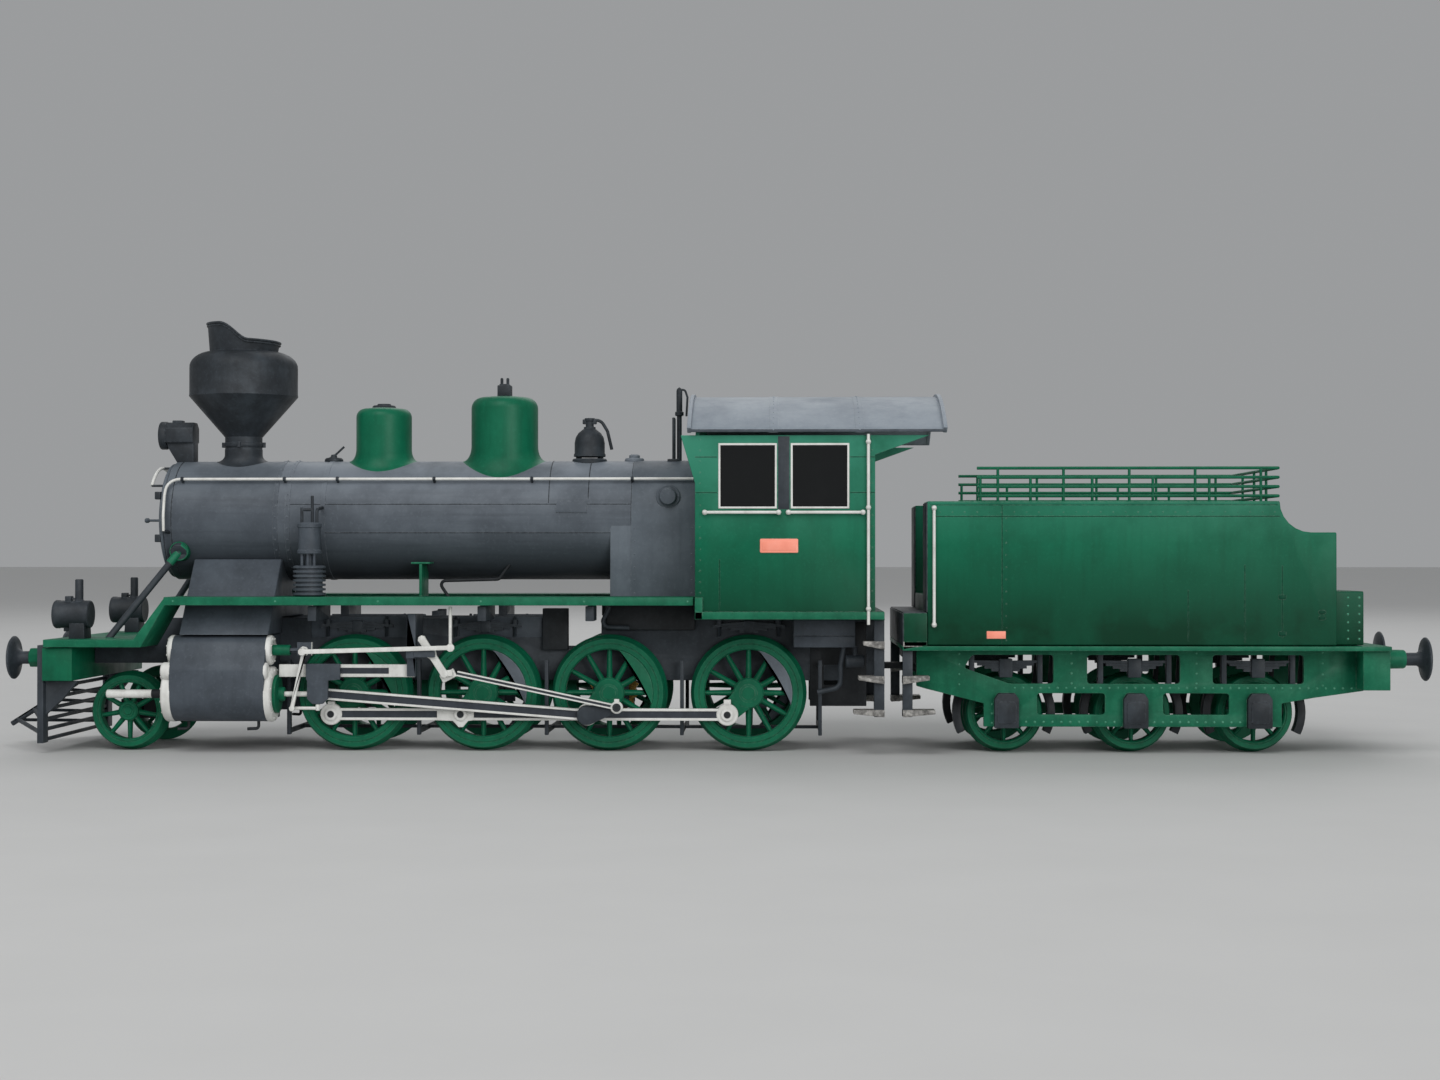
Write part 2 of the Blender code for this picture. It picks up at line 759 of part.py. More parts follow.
def rod_outline(eyes, height):
    """Outline of a slightly tapered rod with a round eye, (place, radius), at each end and any between."""
    first = Vector(eyes[0][0])
    along = (Vector(eyes[-1][0]) - first).normalized()
    lean = math.degrees(math.atan2(along.y, along.x))
    heights = [height * (1 - ROD_TAPER * i) for i in range(len(eyes))]
    corners = [math.degrees(math.asin(high / 2 / radius)) for high, (_, radius) in zip(heights, eyes)]

    def bend(index, start, end):
        place, radius = eyes[index]
        pieces = max(1, round(abs(end - start) / EYE_STEP))
        return arc(place, radius, lean + start, lean + end, pieces)

    last = len(eyes) - 1
    outline = bend(0, corners[0], 360 - corners[0])
    for i in range(1, last):
        outline += bend(i, 180 + corners[i], 360 - corners[i])
    outline += bend(last, 180 + corners[last], 540 - corners[last])
    for i in range(last - 1, 0, -1):
        outline += bend(i, corners[i], 180 - corners[i])
    return outline


def crank_turn(side):
    return LEFT_CRANK_TURN if side < 0 else RIGHT_CRANK_TURN


def crank_pin(side, axle_x):
    turn = math.radians(crank_turn(side))
    return (axle_x + CRANK_THROW * math.cos(turn), DRIVER_Z + CRANK_THROW * math.sin(turn))


def driver_openings(side):
    """Openings between the spokes that neither the crank boss nor the counterweight fills."""
    pitch = 360 / DRIVER_SPOKES
    crank = crank_turn(side)
    found = []
    for i in range(1, DRIVER_SPOKES):
        turn = pitch * i
        if abs(turn - COUNTERWEIGHT_TURN) > COUNTERWEIGHT_HALF_SPAN:
            found.append((crank + turn - pitch / 2, crank + turn + pitch / 2))
    return found


def return_pin(side):
    """The return crank's pin, which keeps its place against the crank on both sides."""
    along, up = RETURN_PIN_FROM_AXLE
    turn = math.radians(0 if side < 0 else RIGHT_CRANK_TURN - LEFT_CRANK_TURN)
    return (
        MAIN_X + along * math.cos(turn) - up * math.sin(turn),
        DRIVER_Z + along * math.sin(turn) + up * math.cos(turn),
    )


def boiler_seat():
    """Cutter that leaves the seat of a fitting just clear of the boiler."""
    return strut((SMOKEBOX_X, 0, BOILER_Z), (BOILER_REAR_X, 0, BOILER_Z), BOILER_R + SEAT, BOILER_SIDES)


def wheel_disc(side, x, z, tread_r, rim, hub_r, openings, sides):
    """Wheel centre and tyre in one outline, with the openings between its spokes, in degrees."""
    grow = 1 / math.cos(math.pi / sides)
    rim_r = tread_r - rim
    root_r = hub_r + SPOKE_ROOT
    root_edge = math.asin(SPOKE_WIDTH / 2 / root_r)
    rim_edge = math.asin(SPOKE_WIDTH / 2 / rim_r)
    holes = []
    for first, last in openings:
        low = math.radians(first)
        high = math.radians(last)
        corners = [
            (root_r, low + root_edge),
            (rim_r, low + rim_edge),
            (rim_r, high - rim_edge),
            (root_r, high - root_edge),
        ]
        holes.append([(x + r * math.cos(t), z + r * math.sin(t)) for r, t in corners])
    outline = ring((x, z), tread_r * grow, sides)
    return slab("XZ", outline, span(side, WHEEL_BACK + TYRE_RECESS, WHEEL_FACE), holes)


def flange(side, x, z, tread_r, sides):
    """Flange at the back of a tyre, with a flat at the bottom for the wheel to stand on."""
    grow = 1 / math.cos(math.pi / sides)
    inner = (tread_r - 2 * LAP) * grow
    edge = (tread_r + FLANGE) * grow
    profile = [(inner, WHEEL_BACK), (edge, WHEEL_BACK), (inner, WHEEL_BACK + FLANGE_WIDTH)]
    profile = [(radius, side * along) for radius, along in profile]
    return turned("Y", (x, 0, z), profile, sides, closed=True, spin=math.pi / sides)


def wheelset(name, x, z, tread_r, rim, hub_r, openings, sides, axle_r, extra=()):
    """Two spoked wheels on an axle, with any further shapes that turn with them."""
    shapes = [strut((x, -WHEEL_FACE, z), (x, WHEEL_FACE, z), axle_r)]
    for side in SIDES.values():
        shapes.append(wheel_disc(side, x, z, tread_r, rim, hub_r, openings[side], sides))
        shapes.append(flange(side, x, z, tread_r, sides))
        shapes.append(disc(x, z, hub_r, span(side, WHEEL_FACE - TYRE_WIDTH / 2, HUB_FACE), ROUND_SIDES))
    return finish(join(*shapes, *extra), name, "green", (x, 0, z))


def driver_wheelset(number):
    x = DRIVER_XS[number - 1]
    extra = []
    for side in SIDES.values():
        pin_x, pin_z = crank_pin(side, x)
        extra.append(disc(pin_x, pin_z, PIN_HEAD_R + LAP, span(side, WHEEL_FACE - LAP, WHEEL_FACE + LAP)))
        if number != 3:
            extra.append(disc(pin_x, pin_z, CRANK_PIN_R, span(side, WHEEL_FACE, HEAD_OUT - LAP / 2)))
            extra.append(disc(pin_x, pin_z, PIN_HEAD_R, span(side, COUPLING_OUT + PLAY, HEAD_OUT)))
            continue
        back = return_pin(side)
        eyes = [((pin_x, pin_z), MAIN_PIN_R + 2 * LAP), (back, RETURN_HEIGHT / 2 + LAP)]
        arm = rod_outline(eyes, RETURN_HEIGHT)
        extra.append(disc(pin_x, pin_z, MAIN_PIN_R, span(side, WHEEL_FACE, RETURN_OUT - LAP)))
        extra.append(slab("XZ", arm, span(side, RETURN_IN, RETURN_OUT)))
        extra.append(disc(*back, RETURN_PIN_R, span(side, RETURN_IN + LAP, ECCENTRIC_OUT + PLAY)))
    wheelset(
        f"driver_wheelset_{number}",
        x,
        DRIVER_Z,
        DRIVER_R,
        DRIVER_RIM,
        DRIVER_HUB_R,
        {side: driver_openings(side) for side in SIDES.values()},
        DRIVER_SIDES,
        DRIVER_AXLE_R,
        extra,
    )


def carrying_wheelset(name, x, z, tread_r, extra=()):
    pitch = 360 / CARRYING_SPOKES
    openings = [(pitch * i, pitch * (i + 1)) for i in range(CARRYING_SPOKES)]
    wheelset(
        name,
        x,
        z,
        tread_r,
        CARRYING_RIM,
        CARRYING_HUB_R,
        {side: openings for side in SIDES.values()},
        CARRYING_SIDES,
        CARRYING_AXLE_R,
        extra,
    )


def tender_wheelset(number):
    """Tender wheels, whose axle runs on into the boxes outside the frame."""
    x = TENDER_XS[number - 1]
    ends = TENDER_PLATE_OUT + JOURNAL_IN_BOX
    journal = strut((x, -ends, TENDER_Z), (x, ends, TENDER_Z), JOURNAL_R)
    carrying_wheelset(f"tender_wheelset_{number}", x, TENDER_Z, TENDER_R, [journal])


def coupling_rod(side_name):
    side = SIDES[side_name]
    pins = [crank_pin(side, x) for x in DRIVER_XS]
    y = span(side, COUPLING_IN, COUPLING_OUT)
    bores = [ring(pin, bore_r(MAIN_PIN_R if i == 2 else CRANK_PIN_R)) for i, pin in enumerate(pins)]
    outline = rod_outline([(pin, COUPLING_EYE_R) for pin in pins], COUPLING_HEIGHT)
    shapes = [slab("XZ", outline, y, bores)]
    cup_y = span(side, COUPLING_IN + LAP / 2, COUPLING_OUT - LAP / 2)
    for x, z in (pins[0], pins[-1]):
        cup_z = (z + COUPLING_EYE_R - LAP, z + COUPLING_EYE_R + OIL_CUP / 2)
        shapes.append(box((x - OIL_CUP / 2, x + OIL_CUP / 2), cup_y, cup_z))
    finish(join(*shapes), "coupling_rod_" + side_name, "white", (pins[2][0], y[0], pins[2][1]))


def main_rod(side_name):
    side = SIDES[side_name]
    pin = crank_pin(side, MAIN_X)
    wrist = (WRIST_X, DRIVER_Z)
    y = span(side, MAIN_IN, MAIN_OUT)
    outline = rod_outline([(wrist, MAIN_HEIGHT / 2 + LAP), (pin, MAIN_EYE_R)], MAIN_HEIGHT)
    rod = slab("XZ", outline, y, [ring(pin, bore_r(MAIN_PIN_R))])
    finish(rod, "main_rod_" + side_name, "white", (pin[0], y[0], pin[1]))


def eccentric_rod(side_name):
    side = SIDES[side_name]
    pin = return_pin(side)
    toe = (LINK_PIVOT_X + LINK_TOE_REACH[0], LINK_PIVOT_Z + LINK_TOE_REACH[1])
    y = span(side, ECCENTRIC_IN, ECCENTRIC_OUT)
    outline = rod_outline([(toe, ECCENTRIC_HEIGHT / 2 + LAP), (pin, ECCENTRIC_EYE_R)], ECCENTRIC_HEIGHT)
    rod = slab("XZ", outline, y, [ring(pin, bore_r(RETURN_PIN_R))])
    finish(rod, "eccentric_rod_" + side_name, "white", (pin[0], y[0], pin[1]))


def expansion_link(side_name):
    """Slotted link on its pivot, with the foot that the eccentric rod moves."""
    side = SIDES[side_name]
    pivot = Vector((LINK_PIVOT_X, LINK_PIVOT_Z))
    lean = math.radians(LINK_LEAN)
    down = Vector((math.cos(lean), -math.sin(lean)))
    top = pivot - down * LINK_TOP_REACH
    foot = pivot + down * LINK_FOOT_REACH
    toe = pivot + Vector(LINK_TOE_REACH)
    end_r = LINK_WIDTH / 2 + LAP / 2
    outline = rod_outline([(top, end_r), (pivot, LINK_PIN_R + PLAY + 2 * LAP), (foot, end_r)], LINK_WIDTH)
    inset = span(side, LINK_IN + LAP / 2, LINK_OUT - LAP / 2)
    link = join(
        slab("XZ", outline, span(side, LINK_IN, LINK_OUT), [ring(pivot, bore_r(LINK_PIN_R))]),
        bar(foot, toe, LINK_WIDTH - LAP, inset),
    )
    finish(link, "expansion_link_" + side_name, "white", (pivot.x, side * LINK_IN, pivot.y))


def valve_pin_place():
    return (VALVE_BLOCK_X + VALVE_BLOCK_LENGTH / 2, CHEST_Z - VALVE_PIN_R / 2)


def radius_rod(side_name):
    """Radius rod with the valve spindle, its guide block and the lifting link."""
    side = SIDES[side_name]
    y = span(side, RADIUS_IN, RADIUS_OUT)
    middle = (y[0] + y[1]) / 2
    pin = valve_pin_place()
    low = CHEST_Z - VALVE_BLOCK_HEIGHT / 2 + VALVE_SPINDLE_R / 2
    block_y = span(side, CHEST_Y - VALVE_SPINDLE_R - LAP, CROSSHEAD_OUT)
    block_x = (VALVE_BLOCK_X, VALVE_BLOCK_X + VALVE_BLOCK_LENGTH)
    spindle_start = (COVER_REAR - VALVE_SPINDLE_INSIDE, side * CHEST_Y, CHEST_Z)
    eyes = [(pin, RADIUS_EYE_R), ((LIFTING_LINK_X, RADIUS_ROD_Z), RADIUS_EYE_R)]
    outline = rod_outline(eyes, RADIUS_HEIGHT)
    lifting_foot = (LIFTING_LINK_X, middle, RADIUS_ROD_Z)
    lifting_top = (LIFTING_LINK_X, middle, LIFTING_LINK_TOP)
    rod = join(
        slab("XZ", outline, y),
        box(block_x, block_y, (low, low + VALVE_BLOCK_HEIGHT)),
        strut(spindle_start, (VALVE_BLOCK_X + LAP, side * CHEST_Y, CHEST_Z), VALVE_SPINDLE_R),
        disc(*pin, VALVE_PIN_R, span(side, CROSSHEAD_OUT - LAP, RADIUS_OUT - LAP)),
        strut(lifting_foot, lifting_top, THIN_ROD_R, 6),
    )
    finish(rod, "radius_rod_" + side_name, "white")


def combination_lever(side_name):
    side = SIDES[side_name]
    y = span(side, LINK_IN, LINK_OUT)
    pin = valve_pin_place()
    foot = (LEVER_FOOT_X, LEVER_FOOT_Z)
    outline = rod_outline([(foot, THIN_ROD_R + LAP), (pin, VALVE_PIN_R + PLAY + 2 * LAP)], 2 * THIN_ROD_R)
    lever = slab("XZ", outline, y, [ring(pin, bore_r(VALVE_PIN_R))])
    finish(lever, "combination_lever_" + side_name, "white", (pin[0], y[0], pin[1]))


def crosshead(side_name):
    """Crosshead plate with its slipper, piston rod, wrist pin and union link."""
    side = SIDES[side_name]
    y = span(side, CROSSHEAD_IN, CROSSHEAD_OUT)
    half = CROSSHEAD_WIDTH / 2
    low = DRIVER_Z - CROSSHEAD_DROP
    top = SLIDE_BAR_Z + SLIDE_BAR_HEIGHT + SEAT
    slipper_front = WRIST_X - half - LAP
    slipper_rear = slipper_front + SLIPPER_LENGTH
    chamfer = half / 2
    outline = [
        (slipper_front, top),
        (slipper_front, top - SLIPPER_HEIGHT),
        (WRIST_X - half, top - SLIPPER_HEIGHT - LAP),
        (WRIST_X - half, low + chamfer),
        (WRIST_X - half + chamfer, low),
        (WRIST_X + half - chamfer, low),
        (WRIST_X + half, low + chamfer),
        (WRIST_X + half, top - SLIPPER_HEIGHT - LAP),
        (slipper_rear, top - SLIPPER_HEIGHT),
        (slipper_rear, top),
    ]
    arm_y = (y[0] + y[1]) / 2
    rod_front = COVER_REAR - PISTON_ROD_INSIDE
    arm_r = THIN_ROD_R + LAP / 2
    head = join(
        slab("XZ", outline, y),
        strut((rod_front, side * PISTON_Y, DRIVER_Z), (WRIST_X, side * PISTON_Y, DRIVER_Z), PISTON_ROD_R),
        disc(WRIST_X, DRIVER_Z, WRIST_PIN_R, span(side, MAIN_OUT + SEAT, CROSSHEAD_IN + LAP)),
        strut((WRIST_X, arm_y, low + LAP), (WRIST_X, arm_y, LEVER_FOOT_Z - arm_r), arm_r, 6),
        strut((WRIST_X, arm_y, LEVER_FOOT_Z), (LEVER_FOOT_X, arm_y, LEVER_FOOT_Z), THIN_ROD_R, 6),
    )
    finish(head, "crosshead_" + side_name, "slate", (WRIST_X, side * PISTON_Y, DRIVER_Z))


def motion_bracket(side_name):
    """Slide bar, the yoke that carries its rear end, and the arm that holds the expansion link."""
    side = SIDES[side_name]
    yoke_x = (YOKE_X, YOKE_X + YOKE_WIDTH)
    inset_x = (YOKE_X + LAP / 2, YOKE_X + YOKE_WIDTH - LAP / 2)
    bar_z = (SLIDE_BAR_Z, SLIDE_BAR_Z + SLIDE_BAR_HEIGHT)
    arm_z = (LINK_PIVOT_Z - YOKE_WIDTH / 2, LINK_PIVOT_Z + YOKE_WIDTH / 2)
    arm_x = (YOKE_X + LAP, LINK_PIVOT_X + YOKE_WIDTH / 2)
    bracket = join(
        box(yoke_x, span(side, RETURN_IN + LAP, ECCENTRIC_OUT), (SLIDE_BAR_Z + LAP, YOKE_TOP)),
        box((COVER_REAR + SEAT, YOKE_X + YOKE_WIDTH - LAP), span(side, RETURN_IN, SLIDE_BAR_OUT), bar_z),
        box(inset_x, span(side, FRAME_OUT + SEAT, ECCENTRIC_OUT - LAP), (YOKE_ARM_Z, YOKE_TOP - LAP)),
        box(inset_x, span(side, ECCENTRIC_OUT - LAP, LINK_ARM_OUT), arm_z),
        box(arm_x, span(side, LINK_ARM_IN, LINK_ARM_OUT - LAP / 2), (arm_z[0] + LAP, arm_z[1] - LAP)),
        disc(LINK_PIVOT_X, LINK_PIVOT_Z, LINK_PIN_R, span(side, LINK_IN - PLAY, LINK_ARM_OUT - LAP)),
    )
    finish(bracket, "motion_bracket_" + side_name, "slate")


def cylinder(side_name):
    """Cylinder block with its valve chest, end covers, gland and tail-rod tube."""
    side = SIDES[side_name]
    bore = (PISTON_Y, DRIVER_Z)
    chest = (CHEST_Y, CHEST_Z)
    inner = FRAME_OUT + SEAT
    high = DRIVER_Z + CYLINDER_R
    outline = arc(bore, CYLINDER_R, 180, 360, 8)
    outline += arc(chest, VALVE_CHEST_R, 0, 90, 3)
    outline += [(inner, CHEST_Z + VALVE_CHEST_R), (inner, high), (bore[0] - CYLINDER_R, high)]
    outline = [(side * a, b) for a, b in outline]
    ends = ((CYLINDER_X - COVER, CYLINDER_X + LAP), (CYLINDER_REAR - LAP, COVER_REAR))
    covers = ((bore, CYLINDER_R + COVER_LIP, 0), (chest, VALVE_CHEST_R - COVER_LIP, LAP))
    shapes = [slab("YZ", outline, (CYLINDER_X, CYLINDER_REAR))]
    for (y, z), radius, short in covers:
        for first, last in ends:
            if first < CYLINDER_X:
                first += short
            else:
                last -= short
            shapes.append(strut((first, side * y, z), (last, side * y, z), radius, ROUND_SIDES))
    gland_end = (COVER_REAR + GLAND, side * PISTON_Y, DRIVER_Z)
    shapes.append(strut((COVER_REAR - LAP, side * PISTON_Y, DRIVER_Z), gland_end, GLAND_R))
    tail_end = (CYLINDER_X - TAIL_TUBE - COVER, side * PISTON_Y, DRIVER_Z)
    shapes.append(strut(tail_end, (CYLINDER_X, side * PISTON_Y, DRIVER_Z), TAIL_TUBE_R))
    block = join(*shapes)
    rod_bore = (COVER_REAR - PISTON_ROD_INSIDE - PISTON_ROOM, side * PISTON_Y, DRIVER_Z)
    rod_mouth = (COVER_REAR + GLAND + LAP, side * PISTON_Y, DRIVER_Z)
    spindle_bore = (COVER_REAR - VALVE_SPINDLE_INSIDE - PISTON_ROOM, side * CHEST_Y, CHEST_Z)
    spindle_mouth = (COVER_REAR + LAP, side * CHEST_Y, CHEST_Z)
    cut(
        block,
        strut(rod_bore, rod_mouth, bore_r(PISTON_ROD_R)),
        strut(spindle_bore, spindle_mouth, bore_r(VALVE_SPINDLE_R)),
    )
    finish(block, "cylinder_" + side_name, "slate")


def frame_outline():
    """Frame plate seen from the side, shallow over the leading truck."""
    return [
        (FRAME_FRONT_X, FRAME_FRONT_BOTTOM),
        (FRAME_DEEP_X, FRAME_FRONT_BOTTOM),
        (FRAME_DEEP_X, FRAME_BOTTOM),
        (FRAME_REAR_X, FRAME_BOTTOM),
        (FRAME_REAR_X, FRAME_TOP),
        (FRAME_STEP_X, FRAME_TOP),
        (FRAME_STEP_X, FRAME_FRONT_TOP),
        (FRAME_FRONT_X, FRAME_FRONT_TOP),
    ]


def main_frame():
    """Two side plates with stretchers, pivot pins, running-board brackets and brake studs."""
    in_plate = FRAME_HALF + FRAME_PLATE / 3
    reach = FRAME_HALF + FRAME_PLATE / 2
    across = (-reach, reach)
    top = FRAME_TOP - LAP
    shapes = []
    for side in SIDES.values():
        shapes.append(slab("XZ", frame_outline(), span(side, FRAME_HALF, FRAME_OUT)))
        for x in DRIVER_XS:
            horn = rectangle((x - HORN_WIDTH / 2, x + HORN_WIDTH / 2), (HORN_BOTTOM, FRAME_BOTTOM + LAP))
            horn_y = span(side, FRAME_HALF + LAP / 2, FRAME_OUT - LAP / 2)
            shapes.append(slab("XZ", horn, horn_y, [ring((x, DRIVER_Z), bore_r(DRIVER_AXLE_R))]))
        for x in BOARD_BRACKET_XS:
            arm = span(side, in_plate, BOARD_BRACKET_HALF)
            shapes.append(box((x, x + STRETCHER), arm, (top, BOARD_BOTTOM - SEAT)))
        for x in (HANGER_XS[0], HANGER_XS[-1]):
            stud = span(side, in_plate, HANGER_INNER - SEAT)
            shapes.append(disc(x, HANGER_TOP - 2 * HANGER_STUD_R, HANGER_STUD_R, stud, 6))
        side_box = span(side, in_plate, UNDER_CAB_BOX_HALF)
        box_x = (UNDER_CAB_BOX_X, UNDER_CAB_BOX_X + UNDER_CAB_BOX_LENGTH)
        shapes.append(box(box_x, side_box, (UNDER_CAB_BOX_Z, top - LAP)))
    stretcher_end = CYLINDER_STRETCHER_X + CYLINDER_STRETCHER_LENGTH
    low = FRAME_FRONT_BOTTOM + LAP
    pony_pin_end = PONY_Z - PONY_TONGUE_THICK / 2 - PIN_BELOW
    shapes += [
        box((FRAME_FRONT_X + LAP, FRAME_FRONT_X + STRETCHER), across, (low, FRAME_FRONT_TOP - LAP)),
        box((CYLINDER_STRETCHER_X, stretcher_end), across, (low, top)),
        box((BEARING_X, BEARING_X + STRETCHER), across, (FRAME_BOTTOM + LAP, top)),
        box((MOTOR_PLATE_X, MOTOR_PLATE_X + STRETCHER), across, (MOTOR_PLATE_Z, top)),
        box((DRAG_BOX_X, FRAME_REAR_X - LAP), across, (DRAG_BOX_Z, top)),
        strut((ENGINE_PIN_X, 0, DRAWBAR_Z - PIN_BELOW), (ENGINE_PIN_X, 0, DRAG_BOX_Z + LAP), DRAW_PIN_R),
        strut((PONY_PIVOT_X, 0, pony_pin_end), (PONY_PIVOT_X, 0, low + LAP), PONY_PIVOT_R),
    ]
    frame = join(*shapes)
    for x in (BEARING_X, MOTOR_PLATE_X):
        cut(frame, strut((x - LAP, 0, WORM_Z), (x + STRETCHER + LAP, 0, WORM_Z), bore_r(SHAFT_R)))
    finish(frame, "main_frame", "dark")


def drive():
    """Motor, its worm shaft and the gear on the driven axle."""
    motor_x = MOTOR_PLATE_X + STRETCHER + SEAT
    motor = strut((motor_x, 0, WORM_Z), (motor_x + MOTOR_LENGTH, 0, WORM_Z), MOTOR_R, ROUND_SIDES)
    shaft_end = motor_x + SHAFT_IN_MOTOR
    cut(motor, strut((motor_x - LAP, 0, WORM_Z), (shaft_end + SEAT, 0, WORM_Z), bore_r(SHAFT_R)))
    finish(motor, "motor", "steel")
    pitch = WORM_LENGTH / (2 * WORM_RIDGES)
    start = MAIN_X - WORM_LENGTH / 2
    profile = [(0, BEARING_X - LAP), (SHAFT_R, BEARING_X - LAP), (SHAFT_R, start - LAP)]
    for i in range(2 * WORM_RIDGES + 1):
        profile.append((WORM_R - (0 if i % 2 else WORM_RIDGE), start + pitch * i))
    profile += [(SHAFT_R, start + WORM_LENGTH + LAP), (SHAFT_R, shaft_end), (0, shaft_end)]
    worm = turned("X", (0, 0, WORM_Z), profile, PIN_SIDES)
    finish(worm, "worm_shaft", "brass", (MAIN_X, 0, WORM_Z))
    teeth = []
    for i in range(2 * GEAR_TEETH):
        radius = GEAR_R - (0 if i % 2 else GEAR_TOOTH)
        turn = math.pi * i / GEAR_TEETH
        teeth.append((MAIN_X + radius * math.cos(turn), DRIVER_Z + radius * math.sin(turn)))
    hole = ring((MAIN_X, DRIVER_Z), bore_r(DRIVER_AXLE_R))
    gear = slab("XZ", teeth, (-GEAR_WIDTH / 2, GEAR_WIDTH / 2), [hole])
    finish(gear, "drive_gear", "brass", (MAIN_X, 0, DRIVER_Z))


def brake_gear():
    """Brake hangers on cross beams, joined by the pull rod under the axles."""
    low = (HANGER_BOTTOM + LAP, HANGER_BOTTOM + LAP + BRAKE_BEAM)
    pull = (HANGER_XS[0], HANGER_XS[-1])
    shapes = [box(pull, (-BRAKE_PULL_HALF, BRAKE_PULL_HALF), (low[0] + LAP, low[1] - LAP))]
    half = HANGER_THICK / 2
    for x in HANGER_XS:
        reach = HANGER_INNER + LAP
        shapes.append(box((x - half + LAP / 2, x + half - LAP / 2), (-reach, reach), low))
        for side in SIDES.values():
            y = span(side, HANGER_INNER, HANGER_INNER + HANGER_WIDTH)
            shapes.append(box((x - half, x + half), y, (HANGER_BOTTOM, HANGER_TOP)))
    finish(join(*shapes), "brake_gear", "dark")


def pony_truck():
    """Truck frame that swings on its pin and carries the leading axle."""
    shapes = []
    z = (PONY_Z - PONY_BAR_HEIGHT / 2, PONY_Z + PONY_BAR_HEIGHT / 2)
    tongue_z = (PONY_Z - PONY_TONGUE_THICK / 2, PONY_Z + PONY_TONGUE_THICK / 2)
    rear = PONY_X + PONY_BAR_REACH + STRETCHER
    side_bar = rectangle((PONY_X - PONY_BAR_REACH, rear), z)
    axle = ring((PONY_X, PONY_Z), bore_r(CARRYING_AXLE_R))
    for side in SIDES.values():
        y = span(side, PONY_BAR_INNER, PONY_BAR_INNER + PONY_BAR_THICK)
        shapes.append(slab("XZ", side_bar, y, [axle]))
    cross = PONY_BAR_INNER + LAP
    shapes.append(box((rear - STRETCHER, rear - LAP), (-cross, cross), (z[0] + LAP, z[1] - LAP)))
    start = (rear - STRETCHER / 2, 0)
    pivot = (PONY_PIVOT_X, 0)
    eyes = [(start, PONY_TONGUE_HALF + LAP / 2), (pivot, PONY_TONGUE_HALF + LAP)]
    tongue = rod_outline(eyes, 2 * PONY_TONGUE_HALF)
    tongue = [(max(a, rear - STRETCHER + LAP), b) for a, b in tongue]
    shapes.append(slab("XY", tongue, tongue_z, [ring(pivot, bore_r(PONY_PIVOT_R))]))
    finish(join(*shapes), "pony_truck", "dark", (PONY_PIVOT_X, 0, PONY_Z))


def running_board():
    """Side boards, the slopes down to the front deck, the deck and the smokebox braces."""
    board_z = (BOARD_BOTTOM, BOARD_TOP)
    deck = (DECK_BOTTOM, DECK_TOP)
    shapes = [box((DECK_FRONT_X, DECK_REAR_X + LAP), (-BOARD_HALF, BOARD_HALF), deck)]
    slope = [
        (BOARD_FRONT_X + LAP, BOARD_TOP),
        (DECK_REAR_X, DECK_TOP),
        (DECK_REAR_X, DECK_BOTTOM),
        (DECK_REAR_X + DECK_THICK, DECK_BOTTOM),
        (BOARD_FRONT_X + LAP, BOARD_BOTTOM),
    ]
    for side in SIDES.values():
        strip = span(side, BOARD_INNER, BOARD_HALF)
        shapes.append(box((BOARD_FRONT_X, BOARD_REAR_X), strip, board_z))
        shapes.append(slab("XZ", slope, strip))
        foot = (BRACE_FOOT[0], side * BRACE_FOOT[1], DECK_TOP - LAP)
        drop = BRACE_TOP_Z - BOILER_Z
        out = math.sqrt((BOILER_R + SEAT + BRACE_BOSS / 2) ** 2 - drop**2)
        top = Vector((BRACE_TOP_X, side * out, BRACE_TOP_Z))
        away = Vector((0, side * out, drop)).normalized() * BRACE_BOSS / 2
        shapes.append(strut(foot, top, BRACE_R))
        shapes.append(strut(top - away, top + away, BRACE_BOSS_R))
    board = join(*shapes)
    saddle_x = (SADDLE_X - SEAT, SADDLE_X + SADDLE_LENGTH + SEAT)
    slant = (SADDLE_FOOT_HALF - SADDLE_TOP_HALF) / (SADDLE_TOP - saddle_foot_z())
    clear = SADDLE_TOP_HALF + (SADDLE_TOP - BOARD_BOTTOM) * slant + SEAT
    for side in SIDES.values():
        notch = span(side, BOARD_INNER - LAP, clear)
        cut(board, box(saddle_x, notch, (BOARD_BOTTOM - LAP, BOARD_TOP + LAP)))
    finish(board, "running_board", "green")


def saddle_foot_z():
    return CHEST_Z + VALVE_CHEST_R + SEAT


def smokebox_saddle():
    """Saddle between the cylinders and the smokebox, cut to both."""
    foot = saddle_foot_z()
    outline = [
        (-SADDLE_FOOT_HALF, foot),
        (SADDLE_FOOT_HALF, foot),
        (SADDLE_TOP_HALF, SADDLE_TOP),
        (-SADDLE_TOP_HALF, SADDLE_TOP),
    ]
    saddle = slab("YZ", outline, (SADDLE_X, SADDLE_X + SADDLE_LENGTH))
    clear = FRAME_OUT + SEAT
    long = (SADDLE_X - LAP, SADDLE_X + SADDLE_LENGTH + LAP)
    cut(saddle, boiler_seat(), box(long, (-clear, clear), (foot - LAP, FRAME_TOP + SEAT)))
    finish(saddle, "smokebox_saddle", "slate")


